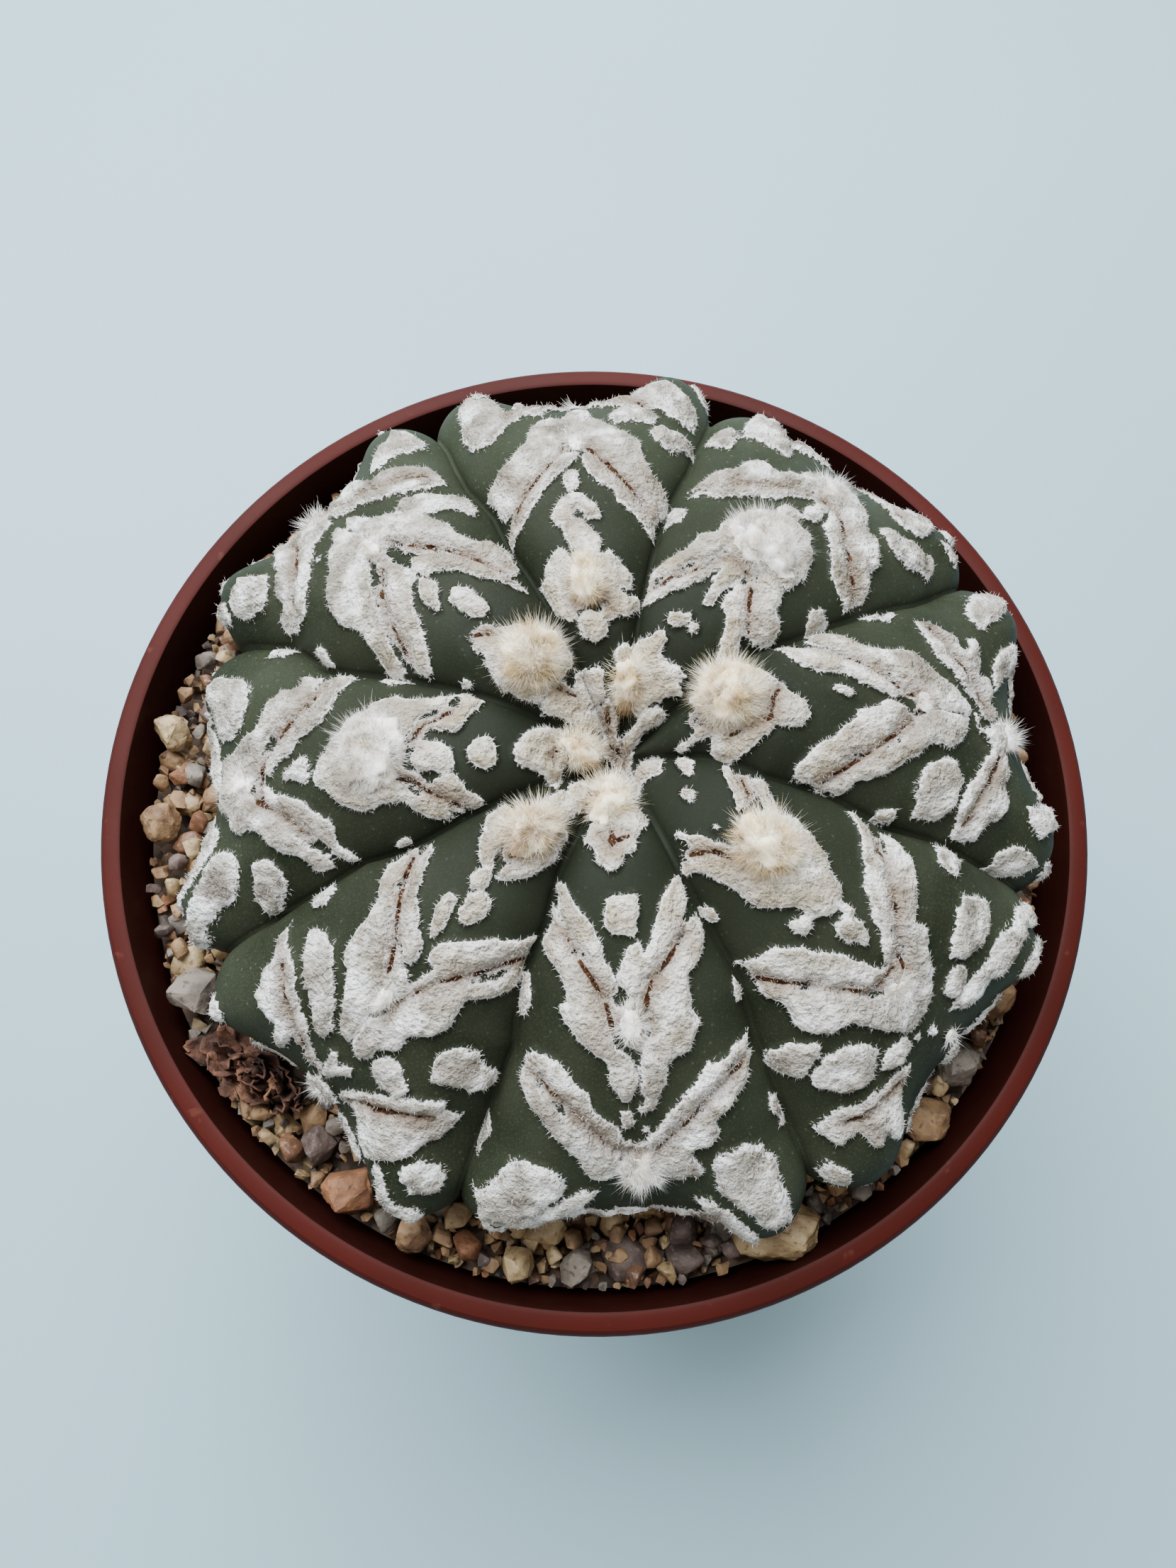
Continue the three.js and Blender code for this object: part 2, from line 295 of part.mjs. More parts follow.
      "-1.9 41.0, -0.8 39.9, 1.2 39.9, 2.2 41.4, 2.4 43.6, 1.0 44.4, -1.4 44.0",
      "-12.6 44.0, -11.2 42.4, -8.6 42.0, -6.4 43.4, -7.2 45.4, -9.0 47.0, -11.0 48.6, -12.6 50.0," +
      " -14.2 49.0, -14.0 46.8",
      "-7.4 46.4, -5.4 44.6, -3.2 44.2, -3.6 45.6, -6.0 47.8, -6.6 49.6, -9.6 50.6, -9.9 48.8",
      "6.6 41.6, 7.2 40.3, 9.6 40.2, 11.4 41.6, 13.0 44.0, 13.6 47.0, 13.4 49.0, 11.6 48.6, 9.4 46.6," +
      " 7.2 44.4",
      "5.0 45.8, 6.6 45.9, 9.2 47.9, 10.4 49.9, 9.6 51.4, 7.0 49.6, 6.2 48.0",
      "-9.3 25.0, -9.2 27.2, -10.0 28.6, -10.9 29.0, -10.8 27.2, -10.2 25.2",
      "9.6 24.6, 10.4 25.6, 10.9 27.8, 9.6 27.9, 9.2 26.4",
      "12.8 37.6, 14.2 39.4, 15.4 42.0, 15.8 43.8, 14.2 41.6, 13.0 39.4",
      "-7.0 51.2, -4.4 50.4, -1.6 50.2, 1.0 50.4, 0.8 51.8, -2.2 52.2, -5.6 52.8",
      "-15.4 41.0, -14.2 39.8, -14.5 42.4, -15.2 45.1, -15.9 46.6, -16.2 44.0",
      "-15.6 47.4, -14.3 46.8, -12.3 47.6, -9.5 48.2, -6.7 48.8, -4.5 48.4, -5.4 49.6, -8.0 50.0," +
      " -10.8 49.6, -13.6 49.0",
    ],
    cleft: [
      "-1.8 9.9, -0.8 10.6, 0.6 9.9",
      "-5.6 20.2, -4.3 22.1, -3.1 23.8, -2.2 25.3, -1.9 27.4",
      "5.0 19.6, 3.4 21.7, 1.9 23.4, 1.3 25.0, 1.3 27.0",
      "-9.8 33.2, -7.0 34.4, -4.8 36.4, -2.4 38.9, -0.2 39.5", "9.6 32.8, 6.4 34.5, 3.7 37.1, 1.7 39.4",
    ],
    wool: [[-0.9, 5.7, 1.8, 3.0, 2.2], [-0.3, 27.0, 1.3, 2.0, 1.3], [0.3, 42.0, 2.0, 2.3, 1.5]],
  },
  F: {
    flock: [
      "1.8 11.6, 2.6 12.2, 3.4 13.8, 3.6 15.6, 2.8 17.2, 1.6 18.6, 0.8 18.8, 0.6 17.4, 1.4 15.6, 1.7 13.6",
      "-3.4 13.8, -3.6 15.6, -3.0 17.2, -1.8 18.6, -0.8 19.2, -0.2 18.2, -0.6 16.6, -1.4 14.8, -2.4 13.4",
      "-1.2 8.0, 0.2 7.6, 1.4 8.0, 1.6 10.4, 2.6 11.0, 3.0 11.4, 1.4 12.2, -0.6 12.6, -2.0 12.4, -1.2 10.4",
      "-0.2 17.6, 0.4 19.0, 0.8 20.0, -0.2 21.0, -1.2 20.4, -1.2 19.4",
      "-0.2 21.6, 0.8 20.4, 2.0 20.6, 2.6 22.2, 2.0 23.8, 0.8 24.0, 0.2 23.0",
      "-1.2 22.6, -0.4 22.4, 0.4 24.2, 0.8 25.0, 0.2 26.6, -0.6 25.6, -1.2 24.2",
      "-6.4 21.6, -5.4 21.6, -4.6 23.2, -3.2 24.6, -1.8 25.4, -1.0 26.6, 0.2 27.2, 1.0 28.4, 0.6 29.6," +
      " -0.6 29.4, -1.9 28.3, -3.3 26.9, -4.7 25.1, -6.1 23.4",
      "-6.8 24.2, -7.9 26.2, -7.0 27.6, -5.8 28.4, -5.4 30.2, -5.8 31.8, -5.2 33.2, -4.0 34.4, -2.8 35.8," +
      " -2.0 37.4, -1.0 39.0, 0.4 39.6, 0.2 36.0, -0.4 32.6, -1.2 30.8, -2.4 29.0, -4.0 27.5, -5.6 25.5",
      "6.8 21.2, 5.8 22.4, 4.4 23.2, 3.2 24.4, 1.8 25.6, 0.8 27.0, 1.2 28.0, 2.2 28.4, 1.8 29.8," +
      " 3.2 28.5, 4.4 27.0, 6.0 25.2, 7.2 23.4",
      "7.8 24.4, 8.6 26.4, 7.8 28.2, 6.4 29.0, 6.2 31.4, 5.6 33.4, 4.2 34.4, 4.0 36.4, 2.8 37.4," +
      " 2.6 39.2, 1.6 40.0, 0.4 39.0, 0.2 35.6, 1.3 33.6, 2.8 31.3, 4.4 29.0, 6.2 26.8",
      "-0.7 30.4, 0.8 29.8, 1.2 31.4, 0.9 33.6, 0.2 35.6, -0.3 34.0, -0.8 32.0",
      "-9.4 35.8, -8.4 34.4, -6.6 34.0, -5.0 34.8, -3.8 36.2, -2.6 37.8, -1.8 39.6, -1.8 41.2, -2.6 41.4," +
      " -4.0 40.2, -5.8 38.8, -8.0 37.6",
      "3.2 38.2, 4.0 37.4, 5.4 37.6, 6.2 38.6, 7.4 39.0, 6.8 40.6, 5.2 41.0, 4.0 40.4, 3.2 39.2",
      "7.0 34.2, 8.0 33.0, 9.8 33.0, 11.0 34.4, 12.4 35.0, 12.8 36.6, 11.6 37.4, 9.6 37.2, 8.0 37.4," +
      " 7.2 35.8",
      "-12.6 34.8, -11.8 33.0, -10.8 32.2, -10.2 33.4, -11.2 35.0, -12.8 35.6",
      "-0.8 41.2, 0.2 41.2, 0.6 42.6, 1.8 41.2, 2.2 42.4, 1.2 43.6, 0.4 45.0, -0.6 44.4, -0.6 42.8",
      "-12.4 38.2, -10.8 39.0, -9.2 38.4, -7.4 39.2, -5.4 40.6, -3.4 42.2, -1.6 44.0, 0.2 45.8," +
      " -0.8 46.0, -2.8 44.8, -4.2 44.4, -4.6 46.8, -5.6 46.2, -6.4 44.6, -8.0 44.6, -9.6 43.8," +
      " -10.4 42.6, -10.8 41.2, -11.8 40.0",
      "2.6 44.8, 4.2 42.4, 6.4 40.6, 8.4 39.2, 10.2 38.8, 11.0 39.8, 12.4 40.2, 12.2 42.6, 10.8 44.6," +
      " 9.2 46.0, 7.6 48.0, 6.6 48.0, 5.4 46.6, 4.2 45.6, 2.6 46.2",
      "-1.8 47.6, -0.4 46.4, 1.4 46.4, 2.6 47.8, 1.8 49.8, -0.8 50.0",
      "2.6 50.4, 4.0 49.0, 5.8 49.4, 7.4 50.6, 6.6 52.0, 4.4 52.4",
      "10.4 46.0, 11.8 44.8, 13.6 45.2, 14.6 46.6, 14.4 47.8, 12.5 47.4",
      "8.4 47.4, 9.2 46.6, 10.2 47.6, 11.8 48.8, 13.6 49.2, 14.6 49.8, 14.4 50.6, 12.2 50.2, 10.0 49.0",
    ],
    cleft: [
      "1.9 12.6, 1.6 15.0, 0.4 16.4",
      "-6.2 23.9, -4.3 26.3, -2.2 28.6, -1.0 30.4, -0.6 33.4",
      "7.2 23.9, 5.2 26.8, 3.2 29.2, 1.8 31.8, 1.0 34.0",
      "-9.4 40.0, -6.4 41.6, -3.4 43.6, -0.8 45.6", "10.4 40.8, 7.0 42.2, 4.2 44.2, 2.8 45.6",
    ],
    wool: [[0.2, 13.3, 1.9, 2.8, 2.2], [0.3, 33.2, 0.9, 1.8, 0.9], [0.4, 48.0, 1.3, 1.2, 1.0]],
  },
  G: {
    flock: [
      "-2.0 6.0, -2.4 8.0, -1.6 10.0, -0.4 10.4, 0.4 11.4, 1.4 11.4, 2.0 10.0, 2.5 8.6, 1.8 6.8, 0.8 6.0," +
      " -0.8 5.8",
      "-0.8 13.4, 0.4 12.6, 1.6 13.0, 2.2 14.4, 1.6 15.4, 0.4 15.8, -0.6 14.8",
      "-4.6 14.4, -3.6 15.2, -2.2 15.6, -1.4 16.8, -1.2 18.2, -2.0 19.4, -2.6 18.0, -3.6 16.8, -5.6 17.0",
      "-5.4 17.2, -5.6 19.4, -5.2 21.2, -5.8 23.2, -5.6 24.8, -4.2 26.6, -2.6 28.0, -0.4 29.4, 0.8 30.4," +
      " 2.4 30.4, 3.2 29.2, 4.4 28.2, 5.0 26.2, 4.6 24.2, 4.6 22.6, 5.8 21.4, 6.6 20.0, 6.4 18.0," +
      " 5.0 19.8, 3.2 21.4, 1.0 21.6, -1.6 21.2, -3.2 20.0, -4.0 17.8",
      "-0.8 18.0, 0.4 17.0, 2.0 17.2, 2.4 18.4, 2.0 20.4, 0.4 21.0, -1.2 20.4",
      "5.0 15.0, 5.8 16.0, 5.8 17.2, 4.7 18.6, 3.4 20.0, 2.7 18.8, 2.6 17.2, 3.8 16.4",
      "-1.2 31.4, 0.0 30.9, 1.6 31.4, 1.4 33.0, 0.8 34.2, 0.0 33.8, -0.8 32.6",
      "-9.0 28.8, -7.2 29.2, -5.0 29.2, -3.6 30.2, -2.6 32.0, -1.4 33.8, -0.2 35.2, 0.8 36.2, 0.4 37.2," +
      " -1.0 36.6, -2.5 35.2, -3.9 33.2, -5.5 31.6, -8.0 30.8, -9.8 31.6",
      "-9.8 32.2, -9.8 34.2, -8.4 34.4, -7.8 36.0, -6.6 37.4, -5.0 38.0, -3.8 39.6, -2.6 41.4, -2.2 43.4," +
      " 0.0 44.0, 1.0 42.0, 0.8 39.4, 0.6 38.2, -1.4 37.6, -3.2 36.1, -4.8 33.9, -6.8 32.3",
      "9.8 29.0, 8.2 29.8, 6.4 29.8, 4.8 30.8, 3.4 32.0, 2.6 33.8, 2.0 35.8, 1.4 37.0, 2.4 37.2," +
      " 3.5 35.9, 4.5 34.0, 5.9 32.3, 8.0 31.0, 9.8 30.4",
      "9.8 31.4, 9.9 33.4, 8.6 34.6, 8.0 36.6, 6.4 37.4, 6.2 39.4, 6.2 40.8, 4.8 42.0, 3.6 43.4," +
      " 1.6 44.2, 1.0 41.6, 1.6 39.2, 3.3 38.0, 4.5 35.8, 6.1 33.7, 8.0 32.2",
      "-0.6 39.4, 1.2 38.4, 3.0 39.4, 3.2 42.0, 1.4 44.0, -0.4 42.6",
      "8.8 38.2, 9.6 37.0, 11.4 37.4, 13.0 38.8, 14.4 40.4, 14.6 42.0, 12.8 42.0, 10.8 40.8, 9.4 39.6",
      "7.2 43.2, 8.4 41.6, 10.4 42.2, 12.2 43.8, 13.2 46.0, 13.8 49.0, 12.2 49.0, 9.8 46.6, 8.0 45.0",
      "-10.2 42.4, -8.6 40.6, -6.6 40.2, -4.8 41.2, -3.8 42.8, -4.4 44.6, -6.2 45.8, -9.0 47.2," +
      " -11.4 46.4, -10.8 44.4",
      "4.6 45.2, 5.6 44.0, 7.2 45.4, 8.8 46.6, 10.0 49.0, 8.0 50.0, 6.0 49.6, 4.4 47.4",
      "-14.2 39.0, -12.6 39.0, -13.0 41.0, -14.0 42.6",
      "-6.0 46.8, -3.6 45.4, -0.6 44.8, 1.0 45.2, 0.0 47.4, -2.6 48.8, -5.4 48.6",
      "8.2 22.6, 8.8 24.0, 9.0 25.8, 8.4 25.2", "-8.0 22.6, -7.5 24.0, -8.2 26.4, -8.8 25.0",
      "7.6 24.0, 8.4 23.4, 9.0 24.6, 8.2 25.6",
      "10.9 47.6, 12.2 47.0, 13.8 48.0, 15.0 49.8, 15.4 51.8, 14.4 52.2, 13.2 50.4, 12.0 49.0",
    ],
    cleft: [
      "-1.2 5.6, -0.2 6.9, 0.8 7.5",
      "-3.3 17.4, -2.5 19.6, -1.0 20.9", "5.2 17.8, 4.1 19.7, 2.7 20.9, 2.2 22.8",
      "-8.6 31.2, -6.2 31.9, -4.2 33.8, -2.6 35.8, -0.6 37.4, 1.6 37.7, 3.4 36.8",
      "6.6 32.4, 5.0 34.0, 3.7 36.4, 3.0 38.2",
    ],
    wool: [[-0.5, 4.6, 1.6, 2.4, 1.8], [-0.2, 24.6, 4.4, 3.8, 2.4], [1.3, 41.0, 2.0, 2.6, 1.3]],
  },
  H: {
    flock: [
      "-2.6 9.6, -1.4 9.4, 0.6 9.8, 2.2 9.4, 3.3 11.2, 3.8 12.8, 3.2 15.0, 2.6 16.4, 2.8 17.4, 1.6 18.4," +
      " 0.4 18.4, -0.4 16.8, -1.8 15.8, -2.4 14.6, -3.8 13.6, -3.8 11.8",
      "-1.4 5.4, 0.4 5.0, 1.4 6.4, 2.2 8.4, 1.6 9.6, -0.8 9.4, -1.8 7.6",
      "-1.8 19.6, -1.2 18.4, 0.0 18.4, 0.8 20.4, 0.4 22.2, -0.8 22.6, -1.6 21.4",
      "0.2 23.0, 1.6 22.2, 2.0 23.4, 1.4 24.8, 0.4 25.4, -0.2 24.2",
      "-5.4 18.2, -4.6 19.2, -4.0 20.6, -3.2 21.8, -2.4 23.4, -1.6 24.6, -0.4 25.4, 0.0 27.0, -0.8 28.0," +
      " -2.2 27.2, -3.4 25.8, -4.3 23.8, -5.0 21.2",
      "-5.8 20.4, -7.2 21.6, -8.2 23.8, -8.0 25.4, -6.4 25.8, -5.6 27.0, -6.4 28.8, -5.6 30.6, -5.0 32.6," +
      " -4.0 34.0, -2.6 35.6, -1.4 37.6, -0.2 38.8, 0.0 36.0, -0.6 32.0, -1.9 30.0, -2.8 28.3, -4.2 26.8," +
      " -5.0 24.4, -5.6 22.2",
      "7.2 20.6, 5.4 21.0, 4.2 22.6, 3.0 24.0, 1.8 25.4, 0.4 26.2, 0.2 28.4, 0.6 29.6, 2.1 29.3," +
      " 3.2 27.7, 4.6 26.0, 6.2 23.9, 7.7 22.2",
      "8.0 23.4, 9.0 25.4, 8.2 27.6, 7.6 29.6, 8.0 31.6, 7.4 33.4, 5.8 34.4, 4.4 35.2, 3.6 37.2," +
      " 2.4 37.6, 1.8 38.8, 0.6 38.8, 0.0 36.4, 0.4 33.0, 1.7 31.3, 3.5 29.5, 5.3 27.2, 7.1 24.8",
      "-0.2 30.6, 1.6 30.4, 1.4 33.0, 0.6 35.8, -0.6 35.0, -1.0 32.0",
      "-11.0 32.4, -10.4 30.4, -9.0 29.4, -7.8 30.8, -6.2 30.8, -4.8 32.4, -4.0 33.8, -5.2 34.8," +
      " -7.4 34.4, -9.0 33.2",
      "10.8 33.0, 11.8 32.2, 12.2 34.0, 11.4 34.4", "3.8 38.2, 4.6 37.4, 5.2 38.2, 4.2 38.8",
      "8.8 43.6, 9.8 42.4, 11.8 43.0, 13.4 44.8, 14.0 46.8, 12.6 47.2, 10.4 45.9",
      "5.0 15.6, 5.9 17.4, 5.3 17.2",
      "-10.6 35.6, -8.6 34.9, -6.8 35.2, -5.6 36.4, -4.0 37.6, -2.4 39.2, -0.8 40.8, 0.0 42.0, -0.4 44.6," +
      " -2.4 45.6, -4.6 45.6, -5.2 43.6, -5.6 42.0, -7.4 41.0, -9.2 39.9, -10.6 39.6, -10.8 37.6",
      "0.6 41.0, 2.4 40.8, 4.0 39.6, 5.4 38.0, 7.4 36.8, 9.4 36.2, 11.4 37.2, 12.6 39.0, 12.2 41.2," +
      " 10.8 40.4, 9.8 42.0, 8.0 42.4, 7.2 44.2, 6.0 46.0, 3.6 46.4, 1.2 45.4, 0.4 43.0",
      "13.2 50.4, 13.0 48.4, 14.2 48.0, 14.6 49.8, 14.2 51.6",
      "-13.4 44.8, -11.6 43.6, -9.6 43.4, -7.8 42.8, -6.4 42.8, -6.0 43.8, -7.4 44.8, -9.4 46.2," +
      " -11.6 47.0, -13.6 47.0",
    ],
    cleft: [
      "0.6 16.8, 1.6 18.0",
      "-5.3 21.4, -4.6 24.2, -3.2 27.0, -1.8 29.0, -1.3 31.6", "6.6 23.7, 4.9 26.4, 3.1 28.8, 0.9 30.1",
      "-9.6 37.0, -5.6 38.8, -2.6 41.6, -0.8 44.0", "9.6 38.4, 6.6 40.0, 5.0 42.4, 4.6 45.0",
    ],
    wool: [[-0.2, 12.6, 2.9, 2.8, 2.4], [0.4, 32.6, 1.3, 2.2, 0.9], [1.4, 44.4, 1.7, 1.7, 1.2]],
  },
};

const wasm = await Module();
wasm.setup();

function smooth(from, to, x) {
  return THREE.MathUtils.smoothstep(x, from, to);
}

// A repeatable number from 0 to 1 for each seed.
function draw(seed) {
  const x = Math.sin(seed * 127.1 + 311.7) * 43758.5453;
  return x - Math.floor(x);
}

function interpolate(knots, x) {
  const i = knots.findIndex(([at]) => at >= x);
  if (i === 0) return knots[0][1];
  if (i < 0) return knots.at(-1)[1];
  const [x0, y0] = knots[i - 1];
  const [x1, y1] = knots[i];
  return y0 + ((y1 - y0) * (x - x0)) / (x1 - x0);
}

function toSolid(geometry) {
  const plain = geometry.index ? geometry.toNonIndexed() : geometry.clone();
  for (const name of Object.keys(plain.attributes)) if (name !== "position") plain.deleteAttribute(name);
  const merged = mergeVertices(plain, 1e-3);
  return new wasm.Manifold(
    new wasm.Mesh({
      numProp: 3,
      vertProperties: merged.attributes.position.array,
      triVerts: new Uint32Array(merged.index.array),
    }),
  );
}

function toGeometry(solid) {
  const mesh = solid.getMesh();
  return new THREE.BufferGeometry()
    .setAttribute("position", new THREE.BufferAttribute(mesh.vertProperties, 3))
    .setIndex(new THREE.BufferAttribute(mesh.triVerts, 1));
}

// The largest connected body, without the scraps that a cut leaves.
function mainBody(solid) {
  return solid.decompose().sort((a, b) => b.volume() - a.volume())[0];
}

function turned(profile, sides) {
  return new THREE.LatheGeometry(
    profile.map(([r, z]) => new THREE.Vector2(r, z)),
    sides,
  ).rotateX(Math.PI / 2);
}

// The meridian of the plant: a flattened round curve with a dip at the apex, measured along its length.
function buildMeridian(steps = 1600) {
  const rows = [];
  for (let i = 0, s = 0; i <= steps; i++) {
    const angle = (Math.PI * i) / steps;
    const power = 2 / ROUNDNESS;
    const rho = BODY_RADIUS * Math.abs(Math.sin(angle)) ** power;
    const rise = Math.abs(Math.cos(angle)) ** power;
    const upper = angle < Math.PI / 2;
    const dip = upper ? APEX_DIP[0] * Math.exp(-((rho / APEX_DIP[1]) ** 2)) : 0;
    const z = WIDEST_LEVEL + (upper ? RISE_ABOVE * rise : -DROP_BELOW * rise) - dip;
    const last = rows.at(-1);
    if (last) s += Math.hypot(rho - last.rho, z - last.z);
    rows.push({ s, rho, z });
  }
  return rows;
}
const MERIDIAN = buildMeridian();
const MERIDIAN_LENGTH = MERIDIAN.at(-1).s;

function meridianPoint(s) {
  let low = 0;
  let high = MERIDIAN.length - 1;
  while (high - low > 1) {
    const middle = (low + high) >> 1;
    if (MERIDIAN[middle].s <= s) low = middle;
    else high = middle;
  }
  const a = MERIDIAN[low];
  const b = MERIDIAN[high];
  const t = THREE.MathUtils.clamp((s - a.s) / (b.s - a.s), 0, 1);
  return { rho: a.rho + (b.rho - a.rho) * t, z: a.z + (b.z - a.z) * t };
}

function meridianNormal(s) {
  const a = meridianPoint(Math.max(s - 0.8, 0));
  const b = meridianPoint(s + 0.8);
  const length = Math.hypot(b.rho - a.rho, b.z - a.z) || 1;
  return [-(b.z - a.z) / length, (b.rho - a.rho) / length];
}

function ribEdges(rib, s) {
  const i = RIBS.indexOf(rib);
  const from = interpolate(GROOVES[RIB_GROOVES[i]], s);
  const to = interpolate(GROOVES[RIB_GROOVES[(i + 1) % RIBS.length]], s);
  return [from, to < from ? to + 360 : to];
}

function halfWidth(rib, s) {
  const [from, to] = ribEdges(rib, s);
  return THREE.MathUtils.degToRad((to - from) / 2) * Math.max(meridianPoint(s).rho, 0.3);
}

// The rib's own form: convex across, sunk at the grooves, flatter on its crest near the rim.
function ribForm(rib, u, s) {
  const section = Math.max(1 - Math.abs(u) ** SECTION_POWERS[0], 0) ** SECTION_POWERS[1];
  const fade = 1 - smooth(SOIL_LINE, SOIL_LINE + FORM_FADE, s);
  const depth = GROOVE_DEPTH[0] + (GROOVE_DEPTH[1] - GROOVE_DEPTH[0]) * smooth(2, 32, s);
  const flat = CREST_FLAT * smooth(27, 42, s) * Math.max(1 - (u / 0.62) ** 2, 0) ** 1.5;
  const flank = FLANK_SWELL[rib][u < 0 ? 0 : 1] * smooth(...FLANK_FROM, s);
  const full = flank * Math.exp(-(((Math.abs(u) - FLANK_MIDDLE) / FLANK_HALF) ** 2));
  const crest = RIB_SWELL[rib] * smooth(10, 40, s) * section;
  const i = RIBS.indexOf(rib) + (u < 0 ? 0 : 1);
  const toGroove = (1 - Math.abs(u)) * halfWidth(rib, s);
  const fill =
    GROOVE_FILL[RIB_GROOVES[i % RIBS.length]] *
    smooth(...GROOVE_FILL_FROM, s) *
    Math.exp(-((toGroove / GROOVE_FILL_HALF) ** 2));
  return fade * (crest + full + fill - depth * (1 - section) - flat);
}

// A point of the plant: rib, place across it from -1 to 1, distance from the apex, height over the form.
function plantPoint(rib, u, s, lift) {
  const [from, to] = ribEdges(rib, s);
  const angle = THREE.MathUtils.degToRad((from + to) / 2 + (u * (to - from)) / 2);
  const { rho, z } = meridianPoint(s);
  const [nr, nz] = meridianNormal(s);
  const out = ribForm(rib, u, s) + lift;
  const shift = smooth(0, 25, s);
  const radius = Math.max(rho + nr * out, 0);
  return new THREE.Vector3(
    APEX_CENTRE[0] + (BODY_CENTRE[0] - APEX_CENTRE[0]) * shift + radius * Math.cos(angle),
    APEX_CENTRE[1] + (BODY_CENTRE[1] - APEX_CENTRE[1]) * shift + radius * Math.sin(angle),
    POT_HEIGHT + z + nz * out,
  );
}

function readPoints(text) {
  return text.split(",").map((pair) => pair.trim().split(" ").map(Number));
}
const MARKINGS = Object.fromEntries(
  RIBS.map((rib) => [
    rib,
    { flock: PATTERN[rib].flock.map(readPoints), cleft: PATTERN[rib].cleft.map(readPoints) },
  ]),
);

function distanceToLine(x, y, points, closed) {
  let nearest = Infinity;
  const count = closed ? points.length : points.length - 1;
  for (let i = 0; i < count; i++) {
    const [ax, ay] = points[i];
    const [bx, by] = points[(i + 1) % points.length];
    const length2 = (bx - ax) ** 2 + (by - ay) ** 2 || 1e-9;
    const t = THREE.MathUtils.clamp(((x - ax) * (bx - ax) + (y - ay) * (by - ay)) / length2, 0, 1);
    nearest = Math.min(nearest, Math.hypot(x - ax - t * (bx - ax), y - ay - t * (by - ay)));
  }
  return nearest;
}

function isInside(x, y, points) {
  let inside = false;
  for (let i = 0, j = points.length - 1; i < points.length; j = i++) {
    const [xi, yi] = points[i];
    const [xj, yj] = points[j];
    if (yi > y !== yj > y && x < ((xj - xi) * (y - yi)) / (yj - yi) + xi) inside = !inside;
  }
  return inside;
}

// What stands over or under the rib's form: raised flock, and a crease along each chevron.
function relief(rib, u, s) {
  const x = u * halfWidth(rib, s);
  let depthInFlock = -Infinity;
  for (const outline of MARKINGS[rib].flock) {
    const distance = distanceToLine(x, s, outline, true);
    depthInFlock = Math.max(depthInFlock, isInside(x, s, outline) ? distance : -distance);
  }
  let toCleft = Infinity;
  for (const line of MARKINGS[rib].cleft) toCleft = Math.min(toCleft, distanceToLine(x, s, line, false));
  const flock = FLOCK_THICKNESS * smooth(...FLOCK_EDGE, depthInFlock);
  const crease = CREASE_DEPTH * Math.exp(-((toCleft / CREASE_HALF) ** 2));
  const edge = Math.min((1 - Math.abs(u)) / 0.1, 1);
  return (flock - crease) * edge * (1 - smooth(SOIL_LINE - 4, SOIL_LINE, s));
}

// A row of the skin climbs from each rib's crest to its grooves, as the arms of the chevrons do.
function rowLevel(s, u) {
  return s - CHEVRON_RISE * smooth(6, 26, s) * (1 - smooth(46, 62, s)) * Math.abs(u);
}

// The closed skin of the plant, from the apex to its underside, as one grid round all the ribs.
function plantSkin(columns, rows, liftAt) {
  const positions = [];
  const index = [];
  const around = columns * RIBS.length;
  const apex = plantPoint("A", 0, 0, liftAt("A", 0, 0));
  positions.push(APEX_CENTRE[0], APEX_CENTRE[1], apex.z);
  for (const s of rows) {
    for (let c = 0; c < around; c++) {
      const rib = RIBS[Math.floor(c / columns)];
      const u = ((c % columns) / columns) * 2 - 1;
      const level = rowLevel(s, u);
      positions.push(...plantPoint(rib, u, level, liftAt(rib, u, level)));
    }
  }
  const bottom = positions.length / 3;
  const lowest = plantPoint("A", 0, MERIDIAN_LENGTH, liftAt("A", 0, MERIDIAN_LENGTH));
  positions.push(BODY_CENTRE[0], BODY_CENTRE[1], lowest.z);
  for (let c = 0; c < around; c++) {
    const next = (c + 1) % around;
    index.push(0, 1 + c, 1 + next);
    for (let r = 0; r + 1 < rows.length; r++) {
      const a = 1 + r * around + c;
      const b = 1 + r * around + next;
      index.push(a, a + around, b, b, a + around, b + around);
    }
    const last = 1 + (rows.length - 1) * around;
    index.push(last + c, bottom, last + next);
  }
  return new THREE.BufferGeometry()
    .setAttribute("position", new THREE.Float32BufferAttribute(positions, 3))
    .setIndex(index);
}

function evenRows(from, to, step) {
  const count = Math.ceil((to - from) / step);
  return Array.from({ length: count + 1 }, (_, i) => from + ((to - from) * i) / count);
}

function taproot(extra) {
  const top = POT_HEIGHT + WIDEST_LEVEL - DROP_BELOW + 3;
  const profile = [[0, top - ROOT_LENGTH - extra]];
  const rings = 8;
  for (let i = 0; i <= rings; i++) {
    const t = i / rings;
    const radius = ROOT_TIP + (ROOT_RADIUS - ROOT_TIP) * t ** 1.3 + 0.4 * Math.sin(t * 17);
    profile.push([radius + extra, top - ROOT_LENGTH * (1 - t) - (i === 0 ? extra : 0)]);
  }
  profile.push([0, top]);
  return turned(profile, 16).translate(BODY_CENTRE[0], BODY_CENTRE[1], 0);
}

